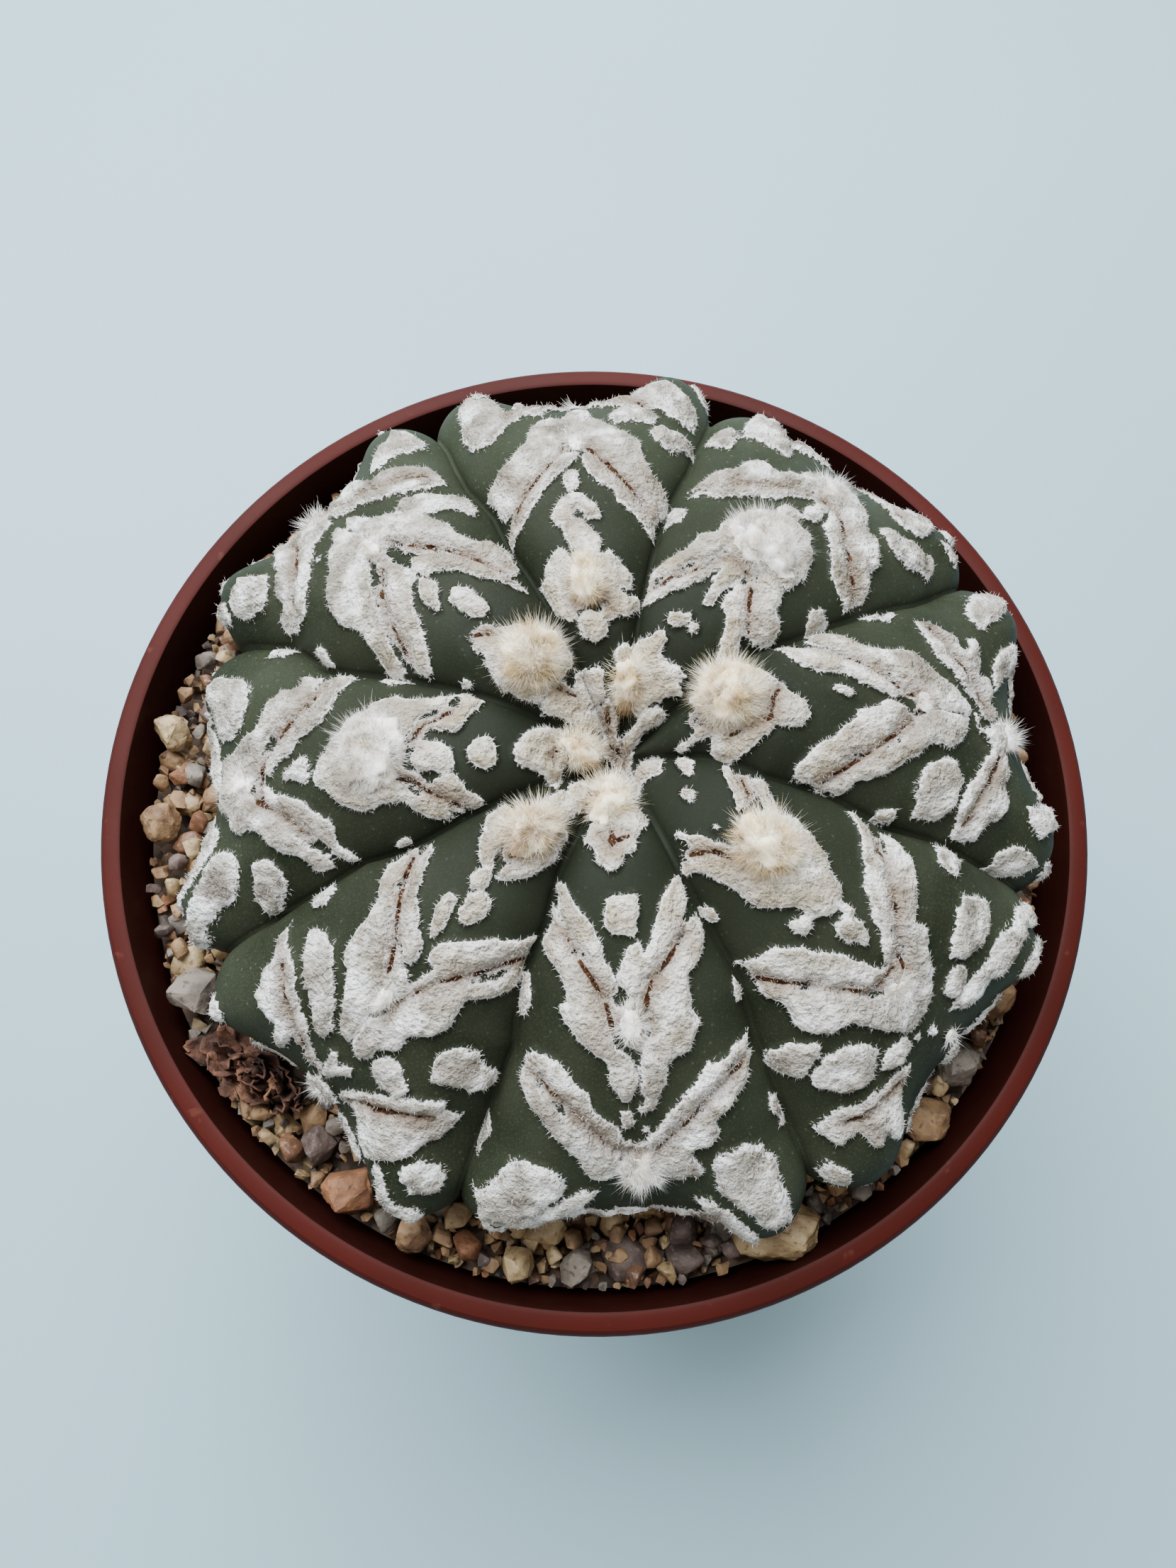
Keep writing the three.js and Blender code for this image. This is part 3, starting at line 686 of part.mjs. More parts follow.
// A domed tuft of wool, standing square on the surface at its areole.
function woolTuft(rib, [across, along, halfAcross, halfAlong, height], seed) {
  const u = THREE.MathUtils.clamp(across / halfWidth(rib, along), -1, 1);
  const centre = plantPoint(rib, u, along, 0);
  const down = plantPoint(rib, u, along + 0.5, 0).sub(plantPoint(rib, u, along - 0.5, 0)).normalize();
  const side = new THREE.Vector3(-(centre.y - BODY_CENTRE[1]), centre.x - BODY_CENTRE[0], 0).normalize();
  const up = new THREE.Vector3().crossVectors(side, down).normalize();
  if (up.z < 0) up.negate();
  side.crossVectors(down, up);
  const geometry = new THREE.IcosahedronGeometry(1, height > 1.5 ? 1 : 0);
  const place = geometry.attributes.position;
  const point = new THREE.Vector3();
  for (let i = 0; i < place.count; i++) {
    point.fromBufferAttribute(place, i);
    const bump = 1 + 0.12 * Math.sin(5 * point.x + seed) * Math.sin(4 * point.y + 2 * seed);
    point.multiplyScalar(bump);
    const raised = point.z > 0 ? point.z * height : point.z * 1.2;
    const moved = centre.clone().addScaledVector(side, point.x * halfAcross);
    moved.addScaledVector(down, point.y * halfAlong).addScaledVector(up, raised + 0.2);
    place.setXYZ(i, moved.x, moved.y, moved.z);
  }
  return toSolid(geometry);
}

function makeCactus() {
  const rows = [1.6, 3.2, ...evenRows(5, SOIL_LINE + 2, SKIN_ROW), 65, 72, 82, 92];
  let solid = toSolid(plantSkin(SKIN_COLUMNS, rows, relief)).add(toSolid(taproot(0)));
  RIBS.forEach((rib, i) =>
    PATTERN[rib].wool.forEach((tuft, k) => {
      solid = solid.add(woolTuft(rib, tuft, 3 * i + k + 1));
    }),
  );
  return mainBody(solid);
}

// The room that the plant takes in the fill: its own form, a little larger, and a plain hole for the root.
function plantHole() {
  const rows = [3, 20, 40, 46, 50, 54, 58, 63, 68, 76, 88];
  const room = toSolid(plantSkin(HOLE_COLUMNS, rows, () => HOLE_CLEARANCE));
  return room.add(toSolid(taproot(GAP + 0.1)));
}

const LEDGE = POT_HEIGHT - COLLAR_HEIGHT;
const INNER_RIM = RIM_RADIUS - LIP_WIDTH;
const INNER_COLLAR = INNER_RIM - 0.6;
const OUTER_WALL = INNER_COLLAR - 0.6;
const INNER_FLOOR = FOOT_HEIGHT + WALL;

// The inside of the pot as radius and height, from the lip down to the floor, drawn in by a gap.
function innerProfile(gap) {
  return [
    [INNER_RIM - 0.15 - gap, POT_HEIGHT - 0.1],
    [INNER_COLLAR - gap, LEDGE + 2],
    [OUTER_WALL - WALL + 0.8 - gap, LEDGE + 0.4],
    [OUTER_WALL - WALL - gap, LEDGE - 1],
    [BASE_RADIUS - WALL + 0.3 - gap, INNER_FLOOR + 1.2 + gap],
    [BASE_RADIUS - WALL - 0.8 - gap, INNER_FLOOR + gap],
  ];
}

function makePot() {
  const footInner = BASE_RADIUS - FOOT_WIDTH;
  const profile = [
    [0, FOOT_HEIGHT],
    [footInner - 1, FOOT_HEIGHT],
    [footInner, 0],
    [BASE_RADIUS - 0.8, 0],
    [BASE_RADIUS, 1],
    [OUTER_WALL, LEDGE - 0.4],
    [RIM_RADIUS - 1, LEDGE],
    [RIM_RADIUS, POT_HEIGHT - 1.1],
    [RIM_RADIUS - 0.25, POT_HEIGHT - 0.5],
    [RIM_RADIUS - 0.7, POT_HEIGHT - 0.12],
    [INNER_RIM + 0.3, POT_HEIGHT],
    ...innerProfile(0),
    [0, INNER_FLOOR],
  ];
  let pot = toSolid(turned(profile, POT_SIDES));
  const holes = [[0, 0]];
  for (let i = 0; i < OUTER_DRAINS; i++) {
    const angle = (i * 2 * Math.PI) / OUTER_DRAINS;
    holes.push([DRAIN_CIRCLE * Math.cos(angle), DRAIN_CIRCLE * Math.sin(angle)]);
  }
  for (const [x, y] of holes) {
    const drill = new THREE.CylinderGeometry(DRAIN_RADIUS, DRAIN_RADIUS, 3 * WALL, 14);
    pot = pot.subtract(toSolid(drill.rotateX(Math.PI / 2).translate(x, y, FOOT_HEIGHT + WALL / 2)));
  }
  return pot;
}

// A stone: a rough many-sided lump with its own half sizes, turned about the vertical.
function lump([x, y, z], [a, b, c], turn, seed, detail, grow = 0) {
  const geometry = new THREE.IcosahedronGeometry(1, detail);
  const place = geometry.attributes.position;
  const point = new THREE.Vector3();
  for (let i = 0; i < place.count; i++) {
    point.fromBufferAttribute(place, i).normalize();
    const key = Math.round(point.x * 50) * 7 + Math.round(point.y * 50) * 13 + Math.round(point.z * 50) * 29;
    const bump = 0.84 + 0.3 * draw(key + seed * 17);
    point.set(point.x * (a + grow), point.y * (b + grow), point.z * (c + grow)).multiplyScalar(bump);
    place.setXYZ(i, point.x, point.y, point.z);
  }
  return toSolid(geometry.rotateZ(turn).translate(x, y, POT_HEIGHT + z));
}

// The larger stones: place, half sizes, turn and colour. Heights count from the rim.
const STONE_SEED = 40;
const STONES = [
  { at: [20.6, -42.1, -3.8], half: [5.2, 3.4, 3.0], turn: 0.1, colour: "#c9b79a" },
  { at: [36.3, -30.4, -4.8], half: [3.1, 2.7, 2.6], turn: 0.4, colour: "#b39a78" },
  { at: [39.9, -24.7, -5.0], half: [3.0, 2.7, 2.6], turn: 1.1, colour: "#6f6a66" },
  { at: [43.9, -17.6, -4.8], half: [2.6, 2.4, 2.4], turn: 0.7, colour: "#a58a68" },
  { at: [-40.9, -23.2, -3.8], half: [3.2, 2.8, 2.8], turn: 0.9, colour: "#85796c" },
  { at: [-47.0, -5.3, -3.2], half: [2.3, 2.6, 2.5], turn: 0.2, colour: "#b3a68f" },
  { at: [-47.6, 4.8, -3.4], half: [2.1, 2.3, 2.4], turn: 0.9, colour: "#bcae96" },
  { at: [-22.0, -41.4, -4.2], half: [3.4, 2.8, 2.7], turn: 0.3, colour: "#8c5f45" },
  { at: [-26.3, -37.6, -4.8], half: [2.3, 2.1, 2.3], turn: 1.4, colour: "#7f7870" },
  { at: [-4.7, -47.2, -4.2], half: [2.1, 1.9, 2.2], turn: 0.6, colour: "#d3c6ac" },
  { at: [-15.4, -45.0, -4.5], half: [2.3, 2.2, 2.2], turn: 0.0, colour: "#b08d5e" },
  { at: [1.4, -47.2, -4.4], half: [2.2, 2.0, 2.3], turn: 0.8, colour: "#8d8983" },
];
const FLOWER = { at: [-33.8, -30.2, -3.4], half: [7.3, 4.0, 3.0], turn: -0.5 };

function makeFlower(grow = 0) {
  const geometry = new THREE.IcosahedronGeometry(1, 2);
  const place = geometry.attributes.position;
  const point = new THREE.Vector3();
  const [a, b, c] = FLOWER.half;
  for (let i = 0; i < place.count; i++) {
    point.fromBufferAttribute(place, i).normalize();
    const turn = Math.atan2(point.y, point.x);
    const pleat = 1 + 0.13 * Math.sin(9 * turn + 3 * point.z) * (1 - point.z * point.z);
    point.set(point.x * (a + grow), point.y * (b + grow), point.z * (c + grow)).multiplyScalar(pleat);
    place.setXYZ(i, point.x, point.y, point.z);
  }
  const [x, y, z] = FLOWER.at;
  return toSolid(geometry.rotateZ(FLOWER.turn).translate(x, y, POT_HEIGHT + z));
}

// The room inside the pot, a gap short of its wall and floor, up to the lip.
function potRoom() {
  const wall = innerProfile(GAP).reverse();
  return toSolid(turned([[0, INNER_FLOOR + GAP], ...wall, [0, POT_HEIGHT - 0.1]], POT_SIDES));
}

// The fill: a bed shaped by the pot, with an uneven top that grains of gravel stand out of.
function makeGravelBed(room, hole) {
  const top = POT_HEIGHT - FILL_DEPTH;
  const radii = [52.4, 49, 46.4, 43.9, 41.2, 38];
  const outline = [[0, 0], [radii[0], 0], ...radii.map((r) => [r, top]), [0, top]];
  const base = turned(outline, BED_SIDES);
  const place = base.attributes.position;
  for (let i = 0; i < place.count; i++) {
    if (place.getZ(i) < top - 1) continue;
    const x = place.getX(i);
    const y = place.getY(i);
    const wave = 0.7 * Math.sin(x * 0.31 + 1) * Math.cos(y * 0.27);
    const pebble = 1.5 * draw(Math.round(x * 10) + 7 * Math.round(y * 10)) - 0.6;
    place.setZ(i, top + wave + pebble - (0.9 * Math.max(y, 0) + FILL_TILT * x) / RIM_RADIUS);
  }
  let bed = toSolid(base);
  for (let i = 0; i < GRAIN_COUNT; i++) {
    const angle = i * GOLDEN_ANGLE;
    const distance = GRAIN_RING[0] + (GRAIN_RING[1] - GRAIN_RING[0]) * draw(i + 0.5);
    const size = GRAIN_RADIUS[0] + (GRAIN_RADIUS[1] - GRAIN_RADIUS[0]) * draw(i + 7.2);
    const half = [size, size * (0.7 + 0.3 * draw(i + 3)), size * 0.8];
    const at = [distance * Math.cos(angle), distance * Math.sin(angle), -FILL_DEPTH + 0.35 * size];
    bed = bed.add(lump(at, half, draw(i) * 3, i, 0));
  }
  bed = bed.intersect(room).subtract(hole);
  for (const [i, stone] of STONES.entries()) {
    bed = bed.subtract(lump(stone.at, stone.half, stone.turn, i + STONE_SEED, 1, SEAT_GAP));
  }
  return mainBody(bed.subtract(makeFlower(SEAT_GAP)));
}

function mesh(name, solid, colour, roughness) {
  const made = new THREE.Mesh(
    toGeometry(solid),
    new THREE.MeshStandardMaterial({ color: colour, roughness, metalness: 0 }),
  );
  made.name = name;
  return made;
}

const room = potRoom();
const hole = plantHole();
const group = new THREE.Group();
group.add(mesh("pot", makePot(), "#783f3a", 0.45));
group.add(mesh("gravel_bed", makeGravelBed(room, hole), "#8f7d66", 0.95));
group.add(mesh("cactus", makeCactus(), "#4b5548", 0.8));
group.add(mesh("dried_flower", makeFlower().intersect(room).subtract(hole), "#4a3228", 0.95));
for (const [i, stone] of STONES.entries()) {
  const name = "stone_" + String(i + 1).padStart(2, "0");
  const whole = lump(stone.at, stone.half, stone.turn, i + STONE_SEED, 1);
  const solid = mainBody(whole.intersect(room).subtract(hole));
  group.add(mesh(name, solid, stone.colour, 0.9));
}

export default group;
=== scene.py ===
import math
import random

import bmesh
import bpy
import numpy as np
from mathutils import Matrix, Vector, noise


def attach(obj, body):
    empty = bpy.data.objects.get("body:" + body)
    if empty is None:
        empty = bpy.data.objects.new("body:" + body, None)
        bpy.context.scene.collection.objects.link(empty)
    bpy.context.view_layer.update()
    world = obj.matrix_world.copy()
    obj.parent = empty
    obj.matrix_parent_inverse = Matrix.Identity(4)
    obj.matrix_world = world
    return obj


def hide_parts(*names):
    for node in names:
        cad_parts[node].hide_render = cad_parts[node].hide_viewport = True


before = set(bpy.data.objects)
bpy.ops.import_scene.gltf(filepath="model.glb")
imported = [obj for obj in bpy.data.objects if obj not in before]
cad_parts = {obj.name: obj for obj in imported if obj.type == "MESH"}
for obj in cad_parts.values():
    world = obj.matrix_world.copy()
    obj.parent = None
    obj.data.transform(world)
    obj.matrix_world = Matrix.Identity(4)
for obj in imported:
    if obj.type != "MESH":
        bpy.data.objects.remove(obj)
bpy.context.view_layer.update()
MM = 0.001

# Camera
# The photograph was taken with a short phone lens from close over the plant, a little from the near
# side and turned a few degrees, so the near wall of the pot leans out of sight under its rim.
LENS = 26.0
SENSOR_WIDTH = 36.0
CAMERA_AT = Vector((-1.196, -29.275, 207.477)) * MM
CAMERA_TILT = math.radians(14.73)
CAMERA_ROLL = math.radians(4.15)

camera_data = bpy.data.cameras.new("camera")
camera_data.lens = LENS
camera_data.sensor_width = SENSOR_WIDTH
camera_data.clip_start = 10 * MM
camera_data.clip_end = 20.0
camera = bpy.data.objects.new("camera", camera_data)
bpy.context.scene.collection.objects.link(camera)
camera.matrix_world = (
    Matrix.Translation(CAMERA_AT)
    @ Matrix.Rotation(CAMERA_TILT, 4, "X")
    @ Matrix.Rotation(CAMERA_ROLL, 4, "Z")
)
bpy.context.scene.camera = camera


# Table and daylight
# The pot stands on a smooth pale board by a window. The window is wide and beyond the far side, so
# the light is soft, cool and nearly even, and only deep gaps go dark.
def linear(code):
    """The linear colour of an sRGB hex code."""
    parts = [int(code[i:i + 2], 16) / 255 for i in (1, 3, 5)]
    turned = [p / 12.92 if p <= 0.04045 else ((p + 0.055) / 1.055) ** 2.4 for p in parts]
    return (*turned, 1.0)


def add(tree, kind, inputs=None, **settings):
    """One shader node with its settings, and its sockets set or linked."""
    made = tree.nodes.new(kind)
    for name, value in settings.items():
        setattr(made, name, value)
    for key, value in (inputs or {}).items():
        if isinstance(value, bpy.types.NodeSocket):
            tree.links.new(value, made.inputs[key])
        else:
            made.inputs[key].default_value = value
    return made


def ramp(tree, factor, *stops):
    """A colour ramp through stops of place and hex colour, or place and grey level."""
    made = add(tree, "ShaderNodeValToRGB", {"Fac": factor})
    while len(made.color_ramp.elements) < len(stops):
        made.color_ramp.elements.new(0.5)
    for element, (place, tone) in zip(made.color_ramp.elements, stops):
        element.position = place
        element.color = linear(tone) if isinstance(tone, str) else (tone, tone, tone, 1.0)
    return made.outputs["Color"]


def clouds(tree, place, per_metre, detail):
    """Soft noise with so many lumps in a metre."""
    made = add(tree, "ShaderNodeTexNoise", {"Vector": place, "Scale": per_metre, "Detail": detail})
    return made.outputs["Fac"]


def new_material(name):
    """A new finish, its node tree, its shader, and the places of the piece in metres."""
    made = bpy.data.materials.new(name)
    made.use_nodes = True
    tree = made.node_tree
    place = add(tree, "ShaderNodeTexCoord").outputs["Object"]
    return made, tree, tree.nodes["Principled BSDF"], place


# The satin board is a pale blue grey with clouds so faint that the eye takes it as one tone.
board_white, tree, shader, place = new_material("satin_white_board")
tint = ramp(tree, clouds(tree, place, 6.0, 2.0), (0.35, "#8fadb7"), (0.65, "#93b2bc"))
tree.links.new(tint, shader.inputs["Base Color"])
shader.inputs["Roughness"].default_value = 0.55

BOARD_REACH = 3.0

table_mesh = bmesh.new()
bmesh.ops.create_grid(table_mesh, x_segments=2, y_segments=2, size=BOARD_REACH)
table_data = bpy.data.meshes.new("table")
table_mesh.to_mesh(table_data)
table_mesh.free()
table_data.materials.append(board_white)
table = bpy.data.objects.new("table", table_data)
bpy.context.scene.collection.objects.link(table)

world = bpy.data.worlds.new("room")
world.use_nodes = True
bpy.context.scene.world = world
sky = world.node_tree.nodes["Background"]
sky.inputs["Color"].default_value = linear("#e6edf0")
sky.inputs["Strength"].default_value = 0.6
LIGHTS_AIM = Vector((0, 0, 0.08))


def window(name, at, width, height, watts, tone):
    """A soft rectangular light that faces the plant."""
    light = bpy.data.lights.new(name, "AREA")
    light.shape = "RECTANGLE"
    light.size = width
    light.size_y = height
    light.energy = watts
    light.color = linear(tone)[:3]
    made = bpy.data.objects.new(name, light)
    bpy.context.scene.collection.objects.link(made)
    made.location = at
    made.rotation_mode = "QUATERNION"
    made.rotation_quaternion = (LIGHTS_AIM - Vector(at)).to_track_quat("-Z", "Y")


window("window", at=(-0.16, 0.34, 0.62), width=0.7, height=0.55, watts=20.5, tone="#f4faff")
window("room_fill", at=(-0.2, -0.5, 0.7), width=0.5, height=0.5, watts=1.2, tone="#fff4e8")


# Pot
# A thin round nursery pot, injection moulded from terracotta-red polypropylene: a tapered wall, a
# deep collar that steps out under the rim, a foot ring and seven drain holes in the floor.
# The satin surface has fine flow streaks and pale scuffs; inside, painted shade darkens it.
POT_HEIGHT = 90.0
RIM_RADIUS = 52.9
POT_SIDES = 160
POT_PROFILE = (
    (0, 3), (34.5, 3), (35.5, 0), (38.2, 0), (39, 1), (49.5, 78.1), (51.9, 78.5), (52.9, 88.9),
    (52.65, 89.5), (52.2, 89.88), (51.0, 90), (50.55, 89.9), (50.1, 80.5), (48.6, 78.9),
    (47.8, 77.5), (37.6, 5.9), (36.5, 4.7), (0, 4.7),
)
DRAIN_RADIUS = 4.0
DRAIN_CIRCLE = 24.0
OUTER_DRAINS = 6
DRILL_LEVEL = 3.8
DRILL_LENGTH = 6.0
EDGE_WIDTH = 0.22
EDGE_ANGLE = 28
SHARP_ANGLE = 40

# The painted shade of the inner wall begins between these two radii and these two heights, so that
# only the inner side of the collar has it.
PAINTED_SHADE_FROM = (50.7, 50.5)
PAINTED_SHADE_ABOVE = (78.8, 79.6)


def between(tree, value, low, high, to_low=0.0, to_high=1.0):
    """A value spread from one range to another, and held at its ends."""
    made = add(tree, "ShaderNodeMapRange", {
        "Value": value, "From Min": low, "From Max": high, "To Min": to_low, "To Max": to_high,
    })
    return made.outputs["Result"]


def arithmetic(tree, operation, a, b):
    """Two values added, multiplied and so on."""
    return add(tree, "ShaderNodeMath", {0: a, 1: b}, operation=operation).outputs["Value"]


def blend(tree, factor, a, b):
    """Two colours mixed by a factor; each is a socket or a hex code."""
    a, b = (linear(tone) if isinstance(tone, str) else tone for tone in (a, b))
    return add(tree, "ShaderNodeMix", {0: factor, 6: a, 7: b}, data_type="RGBA").outputs[2]


def relief(tree, shader, height, strength, depth, sunken=False):
    """A bumped surface, as deep as depth in metres."""
    bump = add(tree, "ShaderNodeBump", {"Height": height, "Strength": strength, "Distance": depth})
    bump.invert = sunken
    tree.links.new(bump.outputs["Normal"], shader.inputs["Normal"])


# Moulded polypropylene: brick red with upright flow streaks, rare pale scuffs and a low satin sheen.
polypropylene, tree, shader, place = new_material("moulded_terracotta_polypropylene")
flow = add(tree, "ShaderNodeMapping", {"Vector": place, "Scale": (60.0, 60.0, 14.0)}).outputs["Vector"]
body_tone = ramp(tree, clouds(tree, flow, 1.0, 5.0), (0.3, "#340d07"), (0.7, "#3e100a"))
scuff = ramp(tree, clouds(tree, place, 420.0, 3.0), (0.68, 0.0), (0.74, 0.4))
dusty = blend(tree, scuff, body_tone, "#572f23")
flat = add(tree, "ShaderNodeVectorMath", {0: place, 1: (1.0, 1.0, 0.0)}, operation="MULTIPLY")
from_axis = add(tree, "ShaderNodeVectorMath", {0: flat.outputs["Vector"]}, operation="LENGTH")
inside = between(tree, from_axis.outputs["Value"], PAINTED_SHADE_FROM[0] * MM, PAINTED_SHADE_FROM[1] * MM, 0.0, 0.8)
height = add(tree, "ShaderNodeSeparateXYZ", {"Vector": place}).outputs["Z"]
in_collar = between(tree, height, PAINTED_SHADE_ABOVE[0] * MM, PAINTED_SHADE_ABOVE[1] * MM)
# Painted shade: the inner side of the collar is darkened nearly to black.
painted_wall_shade = blend(tree, arithmetic(tree, "MULTIPLY", inside, in_collar), dusty, "#1c0805")
tree.links.new(painted_wall_shade, shader.inputs["Base Color"])
satin = between(tree, clouds(tree, place, 90.0, 4.0), 0.0, 1.0, 0.5, 0.66)
tree.links.new(satin, shader.inputs["Roughness"])
shader.inputs["Specular IOR Level"].default_value = 0.1
relief(tree, shader, clouds(tree, place, 1500.0, 2.0), 0.12, 0.0001)


def to_piece(shape, name, *materials):
    """A smooth mesh object at the origin from a finished bmesh, with its finishes."""
    data = bpy.data.meshes.new(name)
    shape.to_mesh(data)
    shape.free()
    for material in materials:
        data.materials.append(material)
    data.shade_smooth()
    made = bpy.data.objects.new(name, data)
    bpy.context.scene.collection.objects.link(made)
    return made


def turned(profile, sides):
    """A closed turned form from a profile of radius and height that starts and ends on the axis."""
    shape = bmesh.new()
    line = [shape.verts.new((r * MM, 0, z * MM)) for r, z in profile]
    edges = [shape.edges.new(pair) for pair in zip(line, line[1:])]
    bmesh.ops.spin(
        shape, geom=line + edges, cent=(0, 0, 0), axis=(0, 0, 1), dvec=(0, 0, 0),
        angle=math.tau, steps=sides, use_merge=True,
    )
    bmesh.ops.remove_doubles(shape, verts=shape.verts, dist=1e-6)
    bmesh.ops.recalc_face_normals(shape, faces=shape.faces)
    return shape


def finish_modifiers(piece):
    """Makes the modifiers of a piece part of its mesh."""
    bpy.context.view_layer.update()
    depsgraph = bpy.context.evaluated_depsgraph_get()
    data = bpy.data.meshes.new_from_object(piece.evaluated_get(depsgraph))
    piece.modifiers.clear()
    old = piece.data
    piece.data = data
    bpy.data.meshes.remove(old)
    data.name = piece.name


pot = to_piece(turned(POT_PROFILE, POT_SIDES), "pot_shell", polypropylene)
drills = bmesh.new()
for i in range(OUTER_DRAINS + 1):
    turn = math.tau * (i - 1) / OUTER_DRAINS
    reach = DRAIN_CIRCLE if i else 0.0
    at = Vector((reach * math.cos(turn), reach * math.sin(turn), DRILL_LEVEL)) * MM
    bmesh.ops.create_cone(
        drills, cap_ends=True, segments=32, radius1=DRAIN_RADIUS * MM, radius2=DRAIN_RADIUS * MM,
        depth=DRILL_LENGTH * MM, matrix=Matrix.Translation(at),
    )
drill = to_piece(drills, "drill", polypropylene)
cut = pot.modifiers.new("drain_holes", "BOOLEAN")
cut.object = drill
cut.operation = "DIFFERENCE"
cut.solver = "EXACT"
edge = pot.modifiers.new("soft_edges", "BEVEL")
edge.width = EDGE_WIDTH * MM
edge.segments = 2
edge.limit_method = "ANGLE"
edge.angle_limit = math.radians(EDGE_ANGLE)
finish_modifiers(pot)
bpy.data.objects.remove(drill)
pot.data.set_sharp_from_angle(angle=math.radians(SHARP_ANGLE))
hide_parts("pot")
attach(pot, "root")


# Gravel
# The pot is filled with crushed stone of six minerals, from sharp chips of 1 mm to worn stones of
# 10 mm. They are poured in loose, so they lie at every angle, and darker grit fills the gaps under
# them. The fill drops a little to the far side and to the right.
WALL_RADIUS = 49.7
FILL_DROP = 0.9
FILL_TILT = 0.5
PLANT_CENTRE = (2.2, 1.4)
BED_PROFILE = (
    (0, 5.1), (36.1, 5.1), (37.2, 6.2), (47.4, 77.4), (48.2, 79.1), (49.6, 80.6), (49.6, 82.6),
    (44, 82.7), (38, 82.4), (33, 80.2), (30.5, 78.4), (22, 75.6), (12.5, 73.8), (11.2, 60), (6, 40),
    (0, 30.5),
)
BED_SIDES = 96


def mineral(name, light, dark, vein, roughness, grain_mm):
    """A crushed stone: two tones in clouds, specks of a third, and a broken surface."""
    made, tree, shader, place = new_material(name)
    tone = ramp(tree, clouds(tree, place, 330.0, 6.0), (0.4, dark), (0.6, light))
    speck = ramp(tree, clouds(tree, place, 1000.0 / grain_mm, 3.0), (0.58, 0.0), (0.68, 0.7))
    tree.links.new(blend(tree, speck, tone, vein), shader.inputs["Base Color"])
    shader.inputs["Roughness"].default_value = roughness
    relief(tree, shader, clouds(tree, place, 900.0, 6.0), 0.7, 0.0004)
    return made


# Quartz and flint are the smoother ones and catch a soft light. The others are dull, and their grain
# shows as specks: limestone even, sandstone rusty, granite and porphyry grey and brown.
MINERALS = (
    mineral("cream_quartz", "#a28c68", "#7b6345", "#634627", roughness=0.5, grain_mm=0.7),
    mineral("tan_limestone", "#8d6f4d", "#634831", "#44301f", roughness=0.7, grain_mm=0.8),
    mineral("rusty_sandstone", "#855a3c", "#5f3b24", "#402416", roughness=0.7, grain_mm=0.6),
    mineral("grey_granite", "#72685d", "#4d443c", "#302925", roughness=0.7, grain_mm=0.55),
    mineral("brown_flint", "#6b4a35", "#452f21", "#977656", roughness=0.5, grain_mm=0.7),
    mineral("plum_porphyry", "#5d4c45", "#3d302b", "#74625a", roughness=0.7, grain_mm=0.5),
)

# How much of the mix each mineral is.
MINERAL_SHARES = (0.22, 0.34, 0.08, 0.18, 0.13, 0.05)

# A grain is broken between corners that reach so far out, and nearly level faces become one.
CORNER_REACH = (0.82, 1.08)
LEVEL_ANGLE = 14

# Uneven skin of a grain: how deep each noise goes and how often it comes, in sizes of the grain.
SWELLS = (0.1, 1.7)
PITS = (0.05, 4.5)
POCKS = (0.03, 11)


def broken_stone(chance, half, corners, wear, rounding=1, fine=0):
    """A crushed grain: the hull of a few corners, with worn edges and an uneven skin."""
    stone = bmesh.new()
    for _ in range(corners):
        corner = Vector([chance.gauss(0, 1) for _ in range(3)]).normalized()
        corner *= chance.uniform(*CORNER_REACH)
        stone.verts.new([c * h for c, h in zip(corner, half)])
    hull = bmesh.ops.convex_hull(stone, input=stone.verts)
    bmesh.ops.delete(stone, geom=[g for g in hull["geom_interior"] if g.is_valid], context="VERTS")
    level = math.radians(LEVEL_ANGLE)
    bmesh.ops.dissolve_limit(stone, angle_limit=level, verts=stone.verts, edges=stone.edges)
    if wear:
        bmesh.ops.bevel(
            stone, geom=stone.edges[:] + stone.verts[:], offset=wear * min(half), offset_type="OFFSET",
            segments=rounding, profile=0.5, affect="EDGES", material=-1, clamp_overlap=True,
        )
    bmesh.ops.triangulate(stone, faces=stone.faces)
    for _ in range(fine):
        bmesh.ops.subdivide_edges(stone, edges=stone.edges, cuts=1, use_grid_fill=True)
    size = sum(half) / 3
    shift = Vector([chance.uniform(-50, 50) for _ in range(3)])
    for vert in stone.verts:
        unit = vert.co / size
        uneven = sum(depth * noise.noise(unit * often + shift) for depth, often in (SWELLS, PITS))
        if fine:
            uneven += POCKS[0] * noise.noise(unit * POCKS[1] + shift)
        vert.co *= 1 + uneven
    return stone


# Where the larger stones lie: place, half sizes and turn, and which mineral each one is.
STONES = (
    ((20.6, -42.1, 86.2), (5.2, 3.4, 3.0), 0.1, 0), ((36.3, -30.4, 85.2), (3.1, 2.7, 2.6), 0.4, 1),
    ((39.9, -24.7, 85.0), (3.0, 2.7, 2.6), 1.1, 3), ((43.9, -17.6, 85.2), (2.6, 2.4, 2.4), 0.7, 1),
    ((-40.9, -23.2, 86.2), (3.2, 2.8, 2.8), 0.9, 3), ((-47.0, -5.3, 86.8), (2.3, 2.6, 2.5), 0.2, 1),
    ((-47.6, 4.8, 86.6), (2.1, 2.3, 2.4), 0.9, 0), ((-22.0, -41.4, 85.8), (3.4, 2.8, 2.7), 0.3, 2),
    ((-26.3, -37.6, 85.2), (2.3, 2.1, 2.3), 1.4, 5), ((-4.7, -47.2, 85.8), (2.1, 1.9, 2.2), 0.6, 0),
    ((-15.4, -45.0, 85.5), (2.3, 2.2, 2.2), 0.0, 1), ((1.4, -47.2, 85.6), (2.2, 2.0, 2.3), 0.8, 3),
)
STONE_SEED = 700
STONE_SHARE = 0.97
STONE_SHARP_ANGLE = 38
